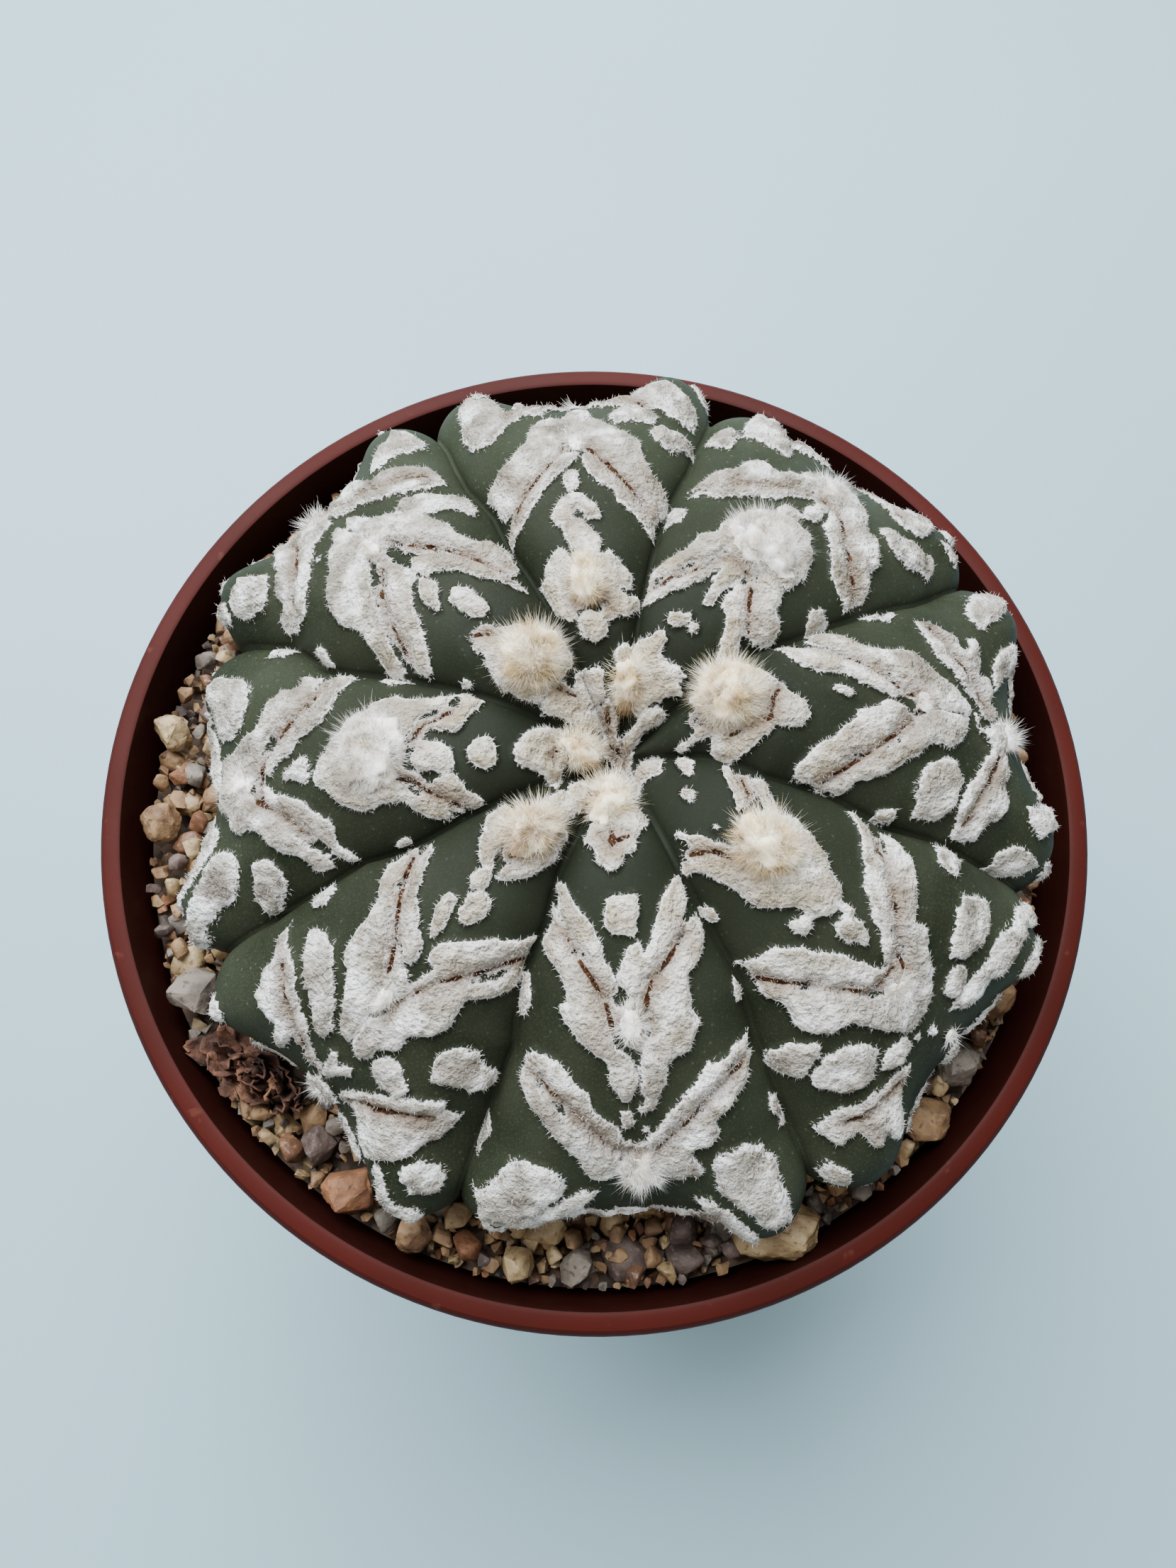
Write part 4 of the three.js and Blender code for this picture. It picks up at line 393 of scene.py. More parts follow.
for number, (at, half, turn, kind) in enumerate(STONES, 1):
    chance = random.Random(STONE_SEED + number)
    size = [h * STONE_SHARE * MM for h in half]
    shape = broken_stone(chance, size, corners=30, wear=0.26, rounding=2, fine=2)
    bmesh.ops.rotate(shape, verts=shape.verts, cent=(0, 0, 0), matrix=Matrix.Rotation(turn, 3, "Z"))
    bmesh.ops.translate(shape, verts=shape.verts, vec=Vector(at) * MM)
    stone = to_piece(shape, f"loose_stone_{number:02d}", MINERALS[kind])
    stone.data.set_sharp_from_angle(angle=math.radians(STONE_SHARP_ANGLE))
    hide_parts(f"stone_{number:02d}")
    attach(stone, "root")

# The dried flower lies among the grains: its middle, half sizes and turn, and the room it is left.
FLOWER_AT = (-33.8, -30.2, 86.6)
FLOWER_HALF = (7.3, 4.0, 3.0)
FLOWER_TURN = -0.5
FLOWER_STEPS = (-4, 0, 4)
FLOWER_ROOM = 3.4

# Smaller grains that lie where the photograph shows one: place, half size and mineral.
NOTED_GRAINS = (
    ((-9.9, -45.9), 1.95, 2), ((-28.7, -37.9), 1.98, 4), ((-18.3, -44.0), 1.65, 3), ((-46.6, -10.4), 1.31, 1),
    ((-44.5, 18.5), 1.4, 1), ((0.7, -44.6), 1.38, 1), ((-48.4, -0.6), 1.42, 1),
    ((-33.3, 35.3), 1.5, 1), ((-40.1, 26.5), 1.7, 1), ((-45.7, 14.2), 1.6, 3), ((-47.2, 9.8), 1.5, 1),
)

# Damp grit: dark brown specks that only show as shade between the grains.
grit, tree, shader, place = new_material("damp_mineral_grit")
cells = add(tree, "ShaderNodeTexVoronoi", {"Vector": place, "Scale": 700.0})
speck = ramp(tree, cells.outputs["Color"], (0.15, "#2c221b"), (0.5, "#4a3b30"), (0.9, "#6a5646"))
tree.links.new(speck, shader.inputs["Base Color"])
shader.inputs["Roughness"].default_value = 0.95
relief(tree, shader, cells.outputs["Distance"], 1.0, 0.0006, sunken=True)

# A dozen worn grains and a few sharp chips of unit size, each used many times over.
GRAIN_SEED = 40
GRAIN_SHAPES = 12
GRAIN_HALF = (1.0, 0.84, 0.72)
CHIP_SEED = 90
CHIP_SHAPES = 8
CHIP_HALF = (1.0, 0.86, 0.8)
bed = turned(BED_PROFILE, BED_SIDES)
shapes = [
    broken_stone(random.Random(GRAIN_SEED + i), GRAIN_HALF, corners=16 + i % 5, wear=0.24)
    for i in range(GRAIN_SHAPES)
]
shapes += [
    broken_stone(random.Random(CHIP_SEED + i), CHIP_HALF, corners=12, wear=0) for i in range(CHIP_SHAPES)
]
shape_meshes = []
for i, shape in enumerate(shapes):
    for face in shape.faces:
        face.smooth = True
    data = bpy.data.meshes.new(f"grain_shape_{i}")
    shape.to_mesh(data)
    shape.free()
    shape_meshes.append(data)

# The layers: height of the middle, least and greatest half size, how closely grains may lie, tries.
# The first and the last are chips. The two between are the grains that show.
GRAIN_LAYERS = (
    (83.2, 0.8, 1.1, 0.62, 6000), (84.1, 1.8, 3.6, 0.64, 7000), (85.3, 1.2, 2.5, 0.72, 6000),
    (84.3, 0.6, 1.1, 0.66, 8000),
)
# Chips are those of a smaller half size than CHIP. Nothing is laid nearer the axis than INNER_REACH,
# where the plant hides it, and each keeps a share of its half size from the wall.
CHIP = 1.1
CHIP_FROM_WALL = 0.78
GRAIN_FROM_WALL = 0.9
INNER_REACH = 36.0
NOTED_LEVEL = 85.3

# The higher the power MORE_SMALL, the more small grains. They lie a little higher or lower, tilted
# by GRAIN_TILT in radians, and each is less or more wide and high than its shape.
MORE_SMALL = 1.3
LEVEL_SPREAD = (-0.5, 0.6)
GRAIN_TILT = 0.5
GRAIN_WIDTHS = (0.85, 1.1)
GRAIN_HEIGHTS = (0.9, 1.1)
GRAIN_SHARP_ANGLE = 42
chance = random.Random(5)
laid = [(x, y, max(h[:2])) for (x, y, _), h, _, _ in STONES]
laid += [(x, y, half) for (x, y), half, _ in NOTED_GRAINS]
for step in FLOWER_STEPS:
    x = FLOWER_AT[0] + step * math.cos(FLOWER_TURN)
    y = FLOWER_AT[1] + step * math.sin(FLOWER_TURN)
    laid.append((x, y, FLOWER_ROOM))
grains = [(x, y, half, NOTED_LEVEL, kind) for (x, y), half, kind in NOTED_GRAINS]
for level, small, large, spacing, tries in GRAIN_LAYERS:
    layer = list(laid)
    for _ in range(tries):
        half = small + (large - small) * chance.random() ** MORE_SMALL
        clear = half * (CHIP_FROM_WALL if half < CHIP else GRAIN_FROM_WALL)
        reach = math.sqrt(chance.uniform(INNER_REACH ** 2, (WALL_RADIUS - clear) ** 2))
        turn = chance.uniform(0, math.tau)
        x, y = reach * math.cos(turn), reach * math.sin(turn)
        if all(math.hypot(x - a, y - b) > spacing * (half + c) for a, b, c in layer):
            slope = (FILL_DROP * max(y, 0) + FILL_TILT * x) / RIM_RADIUS
            layer.append((x, y, half))
            kind = chance.choices(range(len(MINERALS)), MINERAL_SHARES)[0]
            grains.append((x, y, half, level + chance.uniform(*LEVEL_SPREAD) - slope, kind))
for x, y, half, z, kind in grains:
    kinds = shape_meshes[-CHIP_SHAPES:] if half < CHIP else shape_meshes[:-CHIP_SHAPES]
    grain = chance.choice(kinds).copy()
    turn = Matrix.Rotation(chance.uniform(0, math.tau), 4, "Z")
    turn = turn @ Matrix.Rotation(chance.gauss(0, GRAIN_TILT), 4, "X")
    turn = turn @ Matrix.Rotation(chance.gauss(0, GRAIN_TILT), 4, "Y")
    wide = half * chance.uniform(*GRAIN_WIDTHS) * MM
    high = half * chance.uniform(*GRAIN_HEIGHTS) * MM
    stretch = Matrix.Diagonal((half * MM, wide, high, 1))
    grain.transform(Matrix.Translation(Vector((x, y, z)) * MM) @ turn @ stretch)
    grain.polygons.foreach_set("material_index", [kind + 1] * len(grain.polygons))
    bed.from_mesh(grain)
    bpy.data.meshes.remove(grain)
for data in shape_meshes:
    bpy.data.meshes.remove(data)
gravel = to_piece(bed, "gravel_fill", grit, *MINERALS)
gravel.data.set_sharp_from_angle(angle=math.radians(GRAIN_SHARP_ANGLE))
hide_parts("gravel_bed")
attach(gravel, "root")


# Dried flower
# An old bloom of the plant, fallen beside it and shrivelled: nearly fifty papery petals, dark brown,
# crumpled and curled over one another along its heart.
PETALS = 46
PETAL_LENGTH = 4.4
PETAL_WIDTH = 3.0
PETAL_THICKNESS = 0.16
CRUMPLE = 0.7
HEART_REACH = 4.4
HEART_HALF_WIDTH = 0.9
GOLDEN_ANGLE = 2.39996

# The noise that crumples the petals starts from this number, so every run gives the same flower.
CRUMPLE_SEED = 1795765017

# Dry petals: light tan where they are thin, nearly black in the folds, with fine raised veins.
papery_brown, tree, shader, place = new_material("dry_papery_petal")
wither = ramp(
    tree, clouds(tree, place, 420.0, 6.0), (0.34, "#2a1911"), (0.54, "#523223"), (0.72, "#8a6147"),
)
tree.links.new(wither, shader.inputs["Base Color"])
shader.inputs["Roughness"].default_value = 0.85
relief(tree, shader, clouds(tree, place, 1600.0, 4.0), 0.8, 0.0003)

# The first petals lie nearly flat, and the last stand up in the middle. Each is turned on from the
# one before by the golden angle.
flower = bmesh.new()
noise.seed_set(CRUMPLE_SEED)
chance = random.Random(11)
for i in range(PETALS):
    petal = bmesh.new()
    bmesh.ops.create_grid(petal, x_segments=4, y_segments=5, size=0.5)
    shift = Vector([chance.uniform(-40, 40) for _ in range(3)])
    length = PETAL_LENGTH * chance.uniform(0.6, 1.05)
    width = PETAL_WIDTH * chance.uniform(0.7, 1.2)
    curl = chance.uniform(0.3, 1.2)
    for vert in petal.verts:
        across, along = vert.co.x * 2, vert.co.y + 0.5
        taper = math.sin(math.pi * (0.16 + 0.74 * along)) ** 0.6
        crumple = CRUMPLE * noise.noise_vector(Vector((across, along * 2.4, 0)) * 1.6 + shift)
        vert.co = Vector((
            across * width / 2 * taper, along * length,
            curl * along * along * 1.6 + 0.5 * across * across * taper,
        )) + crumple
    bmesh.ops.recalc_face_normals(petal, faces=petal.faces)
    bmesh.ops.solidify(petal, geom=petal.faces, thickness=PETAL_THICKNESS)
    ring = i / PETALS
    lean = math.radians(15 + 65 * (1 - ring))
    along_heart = chance.uniform(-HEART_REACH, HEART_REACH)
    across_heart = chance.uniform(-HEART_HALF_WIDTH, HEART_HALF_WIDTH)
    place_on = (
        Matrix.Translation((along_heart, across_heart, 0.6 + 1.1 * ring))
        @ Matrix.Rotation(i * GOLDEN_ANGLE + chance.uniform(-0.3, 0.3), 4, "Z")
        @ Matrix.Rotation(math.pi / 2 - lean, 4, "X")
        @ Matrix.Translation((0, 0.4, 0))
    )
    bmesh.ops.transform(petal, matrix=place_on, verts=petal.verts)
    data = bpy.data.meshes.new("petal")
    petal.to_mesh(data)
    petal.free()
    flower.from_mesh(data)
    bpy.data.meshes.remove(data)
low = Vector([min(v.co[k] for v in flower.verts) for k in range(3)])
high = Vector([max(v.co[k] for v in flower.verts) for k in range(3)])
spread = high - low
fit = Matrix.Diagonal([2 * h / s for h, s in zip(FLOWER_HALF, spread)] + [1])
bmesh.ops.transform(
    flower, verts=flower.verts,
    matrix=Matrix.Diagonal((MM, MM, MM, 1)) @ Matrix.Translation(FLOWER_AT)
    @ Matrix.Rotation(FLOWER_TURN, 4, "Z") @ fit @ Matrix.Translation(-(low + high) / 2),
)
bloom = to_piece(flower, "withered_bloom", papery_brown)
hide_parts("dried_flower")
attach(bloom, "root")


# Plant
# A low dome of eight ribs that meet in sharp grooves, with a sunken crown. Ribs are lettered
# clockwise from the far side. A place on a rib is given by its distance from the crown along the
# crest, and its place across from -1 to 1, or in millimetres, counterclockwise positive.
BODY_RADIUS = 43.0
APEX_CENTRE = (1.7, 0.2)
WIDEST_LEVEL = 3.0
RISE_ABOVE = 18.5
DROP_BELOW = 17.0
ROUNDNESS = 2.3
MERIDIAN_STEP = 0.8
APEX_DIP = (6.0, 7.5)
CENTRE_REACHED = 25
SOIL_LINE = 58.0
RIB_FADE = 24

# The grooves deepen outward, the crests flatten and the ribs swell, each between two distances.
GROOVE_DEPTH = (1.2, 4.4)
GROOVE_DEEPENS = (2, 32)
CREST_FLAT = 1.3
CREST_FLATTENS = (27, 42)
CREST_FLAT_HALF = 0.62
RIB_SWELLS = (10, 40)
SECTION_POWERS = (2.3, 0.62)

# Directions of the grooves in degrees, at distances from the crown.
GROOVES = {
    "CD": ((0, 4), (6, 1), (10, -5), (14, -11), (21, -11.5), (27, -13.8), (33, -12.3), (60, -13)),
    "BC": ((0, 44), (14, 42), (16, 40.5), (20, 36.5), (27, 35), (38, 33), (46, 33.5), (60, 34)),
    "AB": ((0, 90), (15, 87.5), (23, 85.5), (29, 83.5), (34, 81.5), (46, 80), (60, 80)),
    "HA": ((0, 122), (13, 123), (25, 123.8), (30, 122.5), (36, 123.5), (46, 122), (60, 122)),
    "GH": ((0, 165), (14, 166), (21, 167.5), (33, 168.3), (36, 166.5), (40, 164.5), (60, 166)),
    "FG": ((0, 210), (22, 211), (26, 210), (29, 208.5), (35, 209), (60, 209)),
    "EF": ((0, 246), (15, 247.5), (20, 250.3), (25, 249.7), (32, 253.5), (40, 253), (60, 253)),
    "DE": ((0, 295), (14, 295), (20, 296.5), (26, 298.3), (32, 297.2), (60, 298.5)),
}
RIBS = ("C", "B", "A", "H", "G", "F", "E", "D")
RIB_GROOVES = ("CD", "BC", "AB", "HA", "GH", "FG", "EF", "DE")
RIB_SWELL = {"A": 0.3, "B": -0.2, "C": -0.6, "D": 0.3, "E": 0.0, "F": 0.8, "G": -0.5, "H": 1.0}

# Low on the plant the two flanks of each rib swell over the grooves: the clockwise one, the other.
FLANK_FROM = (40.0, 51.0)
FLANK_MIDDLE = 0.68
FLANK_HALF = 0.28
FLANK_SWELL = {
    "C": (2.6, 3.2), "B": (1.8, 1.4), "A": (3.6, 2.5), "H": (2.7, 3.6),
    "G": (1.7, 3.0), "F": (2.3, 3.2), "E": (1.2, 3.4), "D": (3.0, 2.1),
}

# Lower still the grooves themselves fill up again, each by its own depth.
GROOVE_FILL = {"CD": 2.0, "BC": 2.8, "AB": 2.6, "HA": 4.0, "GH": 2.2, "FG": 3.2, "EF": 4.2, "DE": 3.0}
GROOVE_FILL_FROM = (42.0, 52.0)
GROOVE_FILL_HALF = 6.0

angles = np.linspace(0, math.pi, 4001)
meridian_rho = BODY_RADIUS * np.abs(np.sin(angles)) ** (2 / ROUNDNESS)
meridian_rise = np.abs(np.cos(angles)) ** (2 / ROUNDNESS)
upper = angles < math.pi / 2
meridian_z = WIDEST_LEVEL + np.where(upper, RISE_ABOVE, -DROP_BELOW) * meridian_rise
meridian_z = meridian_z - np.where(upper, APEX_DIP[0] * np.exp(-(meridian_rho / APEX_DIP[1]) ** 2), 0)
meridian_s = np.concatenate([[0], np.cumsum(np.hypot(np.diff(meridian_rho), np.diff(meridian_z)))])
MERIDIAN_LENGTH = meridian_s[-1]


def smooth(low, high, x):
    """A soft step from 0 at the low value to 1 at the high one."""
    t = np.clip((x - low) / (high - low), 0, 1)
    return t * t * (3 - 2 * t)


def meridian(s):
    """Radius and height at a distance from the crown, and the outward direction there."""
    before, after = np.maximum(s - MERIDIAN_STEP, 0), s + MERIDIAN_STEP
    run = np.interp(after, meridian_s, meridian_rho) - np.interp(before, meridian_s, meridian_rho)
    rise = np.interp(after, meridian_s, meridian_z) - np.interp(before, meridian_s, meridian_z)
    length = np.hypot(run, rise) + 1e-9
    rho, z = np.interp(s, meridian_s, meridian_rho), np.interp(s, meridian_s, meridian_z)
    return rho, z, -rise / length, run / length


def rib_edges(rib, s):
    """Directions in degrees of the grooves on both sides, for arrays of rib numbers and distances."""
    ways = np.array([np.interp(s, *np.array(GROOVES[name], float).T) for name in RIB_GROOVES])
    here = np.arange(len(s))
    start, end = ways[rib, here], ways[(rib + 1) % 8, here]
    return start, np.where(end < start, end + 360, end)


def half_width(rib, s):
    """Half the width of a rib in millimetres."""
    start, end = rib_edges(rib, s)
    return np.radians(end - start) / 2 * np.maximum(meridian(s)[0], 0.3)


def plant_point(rib, u, s, lift):
    """Points of the skin in metres, for arrays of rib number, place across, distance and lift."""
    start, end = rib_edges(rib, s)
    way = np.radians((start + end) / 2 + u * (end - start) / 2)
    rho, z, out_rho, out_z = meridian(s)
    section = np.maximum(1 - np.abs(u) ** SECTION_POWERS[0], 0) ** SECTION_POWERS[1]
    fade = 1 - smooth(SOIL_LINE, SOIL_LINE + RIB_FADE, s)
    depth = GROOVE_DEPTH[0] + (GROOVE_DEPTH[1] - GROOVE_DEPTH[0]) * smooth(*GROOVE_DEEPENS, s)
    flat = CREST_FLAT * smooth(*CREST_FLATTENS, s) * np.maximum(1 - (u / CREST_FLAT_HALF) ** 2, 0) ** 1.5
    swell = np.array([RIB_SWELL[name] for name in RIBS])[rib]
    flank = np.array([FLANK_SWELL[name] for name in RIBS])[rib, (u > 0).astype(int)]
    full = flank * smooth(*FLANK_FROM, s) * np.exp(-((np.abs(u) - FLANK_MIDDLE) / FLANK_HALF) ** 2)
    to_groove = (1 - np.abs(u)) * np.radians(end - start) / 2 * np.maximum(rho, 0.3)
    filled = np.array([GROOVE_FILL[name] for name in RIB_GROOVES])[(rib + (u >= 0)) % 8]
    full = full + filled * smooth(*GROOVE_FILL_FROM, s) * np.exp(-(to_groove / GROOVE_FILL_HALF) ** 2)
    out = fade * (full - depth * (1 - section) + swell * smooth(*RIB_SWELLS, s) * section - flat) + lift
    radius = np.maximum(rho + out_rho * out, 0)
    shift = smooth(0, CENTRE_REACHED, s)
    x = APEX_CENTRE[0] + (PLANT_CENTRE[0] - APEX_CENTRE[0]) * shift + radius * np.cos(way)
    y = APEX_CENTRE[1] + (PLANT_CENTRE[1] - APEX_CENTRE[1]) * shift + radius * np.sin(way)
    return np.stack([x, y, POT_HEIGHT + z + out_z * out], -1) * MM


# Markings of each rib, in millimetres across and from the crown. flock: outlines of the white felt
# patches. cleft: the brown creases that split a chevron's arms. wool: place, half width, half length
# and height of each areole's tuft.
PATTERN = {
  "A": {
    "flock": [
      "-0.8 11.0, 0.6 10.6, 1.8 11.4, 2.4 13.0, 1.6 14.2, 0.2 13.6, -0.8 12.2",
      "-3.8 14.0, -2.6 12.8, -1.2 13.0, -0.2 14.2, 0.0 16.2, 0.6 17.8, -0.4 19.0, -1.8 19.2, -2.6 18.0,"
      " -3.8 17.0, -3.4 15.6, -2.0 15.6, -2.6 15.0, -3.8 14.8",
      "1.6 13.0, 3.0 13.6, 4.2 15.0, 5.2 17.8, 4.8 19.4, 3.4 20.4, 2.6 20.8, 1.8 19.0, 2.0 17.0, 2.4 15.4",
      "0.0 14.2, 1.4 14.0, 1.8 16.4, 1.8 19.4, 2.4 21.2, 2.2 22.6, 0.8 23.2, -0.4 22.0, -1.2 20.6,"
      " -0.8 18.8",
      "-1.4 22.6, -0.2 22.8, 0.6 23.8, 1.6 22.8, 2.6 22.8, 3.2 24.2, 2.6 25.4, 1.4 25.9, 0.0 25.8,"
      " -1.2 24.8",
      "0.2 27.0, 1.0 26.4, 1.8 27.4, 1.6 28.8, 0.9 29.3, 0.2 28.6",
      "-6.8 21.8, -5.6 22.4, -4.6 23.8, -3.2 25.4, -1.8 27.0, -0.6 28.8, 0.0 30.4, -0.4 31.8, -1.6 30.8,"
      " -2.8 29.0, -4.2 27.2, -5.8 25.4, -7.2 23.6",
      "-7.2 24.0, -8.4 26.0, -8.9 28.2, -7.4 29.4, -6.2 31.0, -6.2 33.0, -5.2 34.8, -3.8 35.8, -3.0 37.4,"
      " -2.4 38.6, -1.0 38.4, -0.4 37.0, -0.3 34.0, -0.4 32.6, -2.0 31.2, -3.6 29.0, -5.2 27.0, -6.8 25.2",
      "7.8 24.4, 6.6 24.8, 5.2 26.2, 3.8 27.6, 2.2 28.9, 0.6 30.4, 0.2 31.8, 1.4 32.0, 2.8 31.0, 4.4 29.4,"
      " 6.2 27.6, 7.6 26.2, 8.2 25.4",
      "8.2 27.0, 9.0 29.2, 9.6 30.6, 10.2 32.2, 8.6 33.2, 6.8 34.2, 5.4 35.2, 5.0 37.0, 4.2 38.8, 2.6 39.2,"
      " 1.4 38.8, 0.8 37.2, 0.9 34.0, 1.0 32.4, 2.6 31.6, 4.4 30.0, 6.4 28.0",
      "-0.6 33.0, 0.6 32.6, 1.2 34.4, 1.2 37.0, 1.6 39.2, 0.8 40.8, -0.2 41.2, -1.2 40.6, -2.0 39.4,"
      " -1.2 38.6, -0.6 36.0",
      "-13.8 38.2, -11.6 36.0, -9.4 34.2, -8.0 34.2, -7.4 35.6, -8.6 37.0, -10.6 38.0, -12.4 38.8",
      "-8.8 39.2, -8.2 37.6, -6.0 37.2, -4.0 37.0, -3.4 38.6, -4.6 40.2, -6.6 40.6, -8.2 40.4",
      "-13.6 41.8, -11.0 41.0, -8.6 41.2, -6.4 41.6, -5.4 42.6, -6.0 44.8, -8.0 46.0, -12.0 46.0,"
      " -13.8 44.4",
      "7.0 40.6, 7.6 38.8, 8.8 38.2, 10.6 39.2, 12.0 41.2, 12.6 43.6, 12.6 46.4, 11.0 47.8, 8.6 46.0,"
      " 7.4 43.4",
      "3.4 41.4, 5.0 41.8, 6.2 43.0, 6.8 45.0, 6.0 47.0, 4.6 45.4, 3.6 43.2",
    ],
    "cleft": [
      "-1.0 13.4, -0.2 15.2", "1.9 14.8, 2.3 16.8",
      "-6.6 24.8, -4.6 26.9, -3.0 28.9, -1.6 31.0, -0.8 32.8",
      "7.2 26.6, 5.0 28.9, 3.2 30.8, 1.8 32.2, 1.5 34.6",
    ],
    "wool": [[0.8, 16.4, 1.5, 2.6, 1.6], [0.3, 33.8, 1.1, 2.2, 0.8]],
  },
  "B": {
    "flock": [
      "-0.9 3.0, 0.0 2.6, -0.2 4.4, -0.9 6.0, -1.6 5.8, -1.3 4.0",
      "0.2 4.0, 1.2 4.6, 2.2 7.0, 3.2 10.0, 3.6 10.8, 2.4 12.0, 1.5 11.4, 0.6 9.8, -0.6 10.2, -2.0 9.6,"
      " -1.6 8.6, -2.4 7.8, -1.4 7.0, -0.2 6.2",
      "-1.0 13.2, -0.4 12.6, 0.4 13.2, 1.0 12.6, 2.0 13.0, 2.3 14.0, 1.4 14.2, 0.6 14.4, 0.0 13.8,"
      " -0.8 14.2",
      "-4.6 12.6, -3.6 12.2, -3.2 14.4, -2.0 16.0, -1.0 16.4, -0.8 17.6, -1.4 19.2, -2.6 18.4, -3.8 16.8,"
      " -4.8 15.2",
      "-5.8 16.2, -7.2 18.0, -6.4 19.2, -5.2 20.2, -4.4 22.0, -3.0 22.4, -1.8 21.2, -2.2 19.6, -3.4 18.0,"
      " -4.6 16.6",
      "-0.5 15.9, 0.2 15.6, 0.6 17.4, 1.4 19.4, 1.2 20.6, -0.4 20.8, -1.4 19.9, -0.6 18.2",
      "5.4 14.4, 4.0 15.0, 2.8 16.2, 1.6 17.6, 1.5 19.4, 2.0 19.4, 3.4 18.0, 4.8 16.6, 6.0 15.6",
      "6.6 17.0, 7.0 18.6, 6.2 19.8, 5.4 20.8, 5.4 22.4, 4.2 23.4, 2.0 22.6, 1.9 20.8, 3.6 19.0, 5.2 17.4",
      "-5.0 22.0, -5.4 24.6, -4.4 27.0, -2.8 28.4, -0.4 28.6, 2.0 28.0, 3.6 26.4, 4.2 24.2, 3.8 22.2,"
      " 1.0 21.0, -2.4 21.2",
      "-0.8 28.6, 0.6 28.0, 1.4 29.2, 0.9 30.4, 0.0 30.4, -0.8 29.6",
      "-1.9 30.4, -1.0 29.8, -0.4 31.2, -0.6 33.2, -1.8 33.4, -2.2 31.8",
      "-9.9 21.6, -8.4 22.2, -7.4 23.4, -8.4 24.6, -10.2 25.0",
      "8.2 24.4, 9.4 23.8, 10.2 25.4, 10.6 27.0, 9.2 26.4, 8.2 25.4",
      "-10.6 27.4, -8.8 26.8, -7.0 27.2, -5.6 28.4, -4.2 29.8, -2.8 31.4, -2.0 33.0, -2.0 33.8, -3.2 33.4,"
      " -4.8 31.8, -6.6 30.2, -8.4 29.0, -10.4 28.4",
      "-11.4 29.4, -10.6 31.2, -9.4 31.8, -9.4 33.6, -8.0 34.6, -6.4 35.0, -5.6 36.2, -4.8 37.6, -3.6 38.6,"
      " -2.2 39.2, -1.2 40.4, -1.0 38.0, -1.2 35.4, -2.4 34.6, -4.0 33.2, -6.2 31.2, -8.6 29.8, -10.6 29.0",
      "9.8 27.8, 8.0 28.0, 6.2 27.8, 4.8 28.4, 3.0 29.8, 1.6 31.4, 0.6 32.8, 0.4 34.0, 1.6 33.4, 3.0 31.8,"
      " 5.0 30.4, 7.4 29.4, 9.6 29.0",
      "10.4 29.2, 10.2 30.8, 9.4 32.6, 8.0 32.4, 8.2 34.2, 6.6 35.4, 4.8 34.8, 3.4 36.2, 2.6 38.2, 2.4 40.0,"
      " 1.0 38.8, 0.6 36.8, 0.8 34.8, 2.2 33.4, 4.0 31.6, 6.6 30.4, 9.0 29.6",
      "-2.4 35.4, -0.6 34.6, 1.4 35.2, 1.8 37.4, 1.2 39.8, -0.4 40.6, -2.0 39.4, -2.8 37.4",
      "-14.2 41.0, -12.8 39.4, -11.6 37.8, -9.6 36.4, -7.2 36.4, -6.4 37.4, -8.4 38.8, -9.6 40.6, -11.4 41.6,"
      " -12.4 43.2, -14.0 43.0",
      "5.0 38.4, 7.2 39.4, 9.4 40.0, 11.4 41.4, 12.4 43.6, 12.6 46.0, 10.6 47.0, 8.4 45.6, 7.0 43.4,"
      " 6.0 41.2",
      "11.2 37.4, 13.0 38.4, 15.0 40.4, 15.6 42.4, 15.0 43.6, 13.2 43.2, 12.0 41.0",
      "-10.8 44.6, -9.6 42.8, -7.4 42.0, -6.0 43.4, -6.6 46.0, -8.6 47.6, -10.6 46.8",
      "-11.7 45.9, -13.1 46.4, -14.6 46.8, -15.7 47.6, -15.0 48.2, -13.4 47.2",
    ],
    "cleft": [
      "-4.6 16.6, -3.2 18.0, -2.2 19.6", "5.4 16.6, 3.4 18.2, 2.0 19.6", "-1.4 20.4, 0.6 21.0, 1.8 20.4",
      "-10.0 28.8, -7.4 30.2, -4.6 32.2, -2.4 34.0, -0.6 34.3", "8.8 29.4, 5.0 30.8, 2.4 32.8, 0.6 34.2",
    ],
    "wool": [[2.5, 6.8, 2.2, 3.0, 2.4], [-0.5, 24.3, 4.5, 4.0, 2.6], [-0.6, 37.0, 2.4, 2.4, 1.4]],
  },
  "C": {
    "flock": [
      "-1.4 5.2, -0.8 6.8, 0.0 8.8, 0.6 9.4, -0.6 9.6, -1.4 8.4, -1.8 6.6",
      "-2.6 8.6, -3.8 9.4, -4.0 11.2, -3.2 12.8, -2.2 14.2, -1.6 14.6, -2.0 16.6, -1.0 17.9, 0.4 17.8,"
      " 1.6 16.6, 2.8 16.0, 4.2 15.0, 4.8 13.8, 5.8 13.6, 4.8 11.2, 4.0 9.2, 3.0 8.0, 1.4 8.2, -0.2 9.2",
      "0.6 21.2, 1.4 20.2, 2.2 20.6, 2.2 21.8, 1.2 22.6, 0.6 22.0",
      "-6.8 16.4, -5.4 16.4, -3.8 18.0, -2.8 19.8, -1.8 21.6, -0.4 22.6, 0.0 24.4, 0.6 26.0, 0.2 27.6,"
      " -1.0 27.4, -2.4 25.4, -4.0 23.2, -5.6 21.2, -6.8 19.0",
      "-7.4 19.2, -8.2 21.6, -6.8 23.2, -6.8 24.8, -5.6 26.6, -4.2 28.2, -3.6 30.0, -3.8 32.0, -3.0 33.8,"
      " -1.8 35.0, -0.4 35.8, -0.2 33.0, 0.0 29.8, -0.9 28.7, -2.6 26.8, -4.4 24.2, -6.2 21.7",
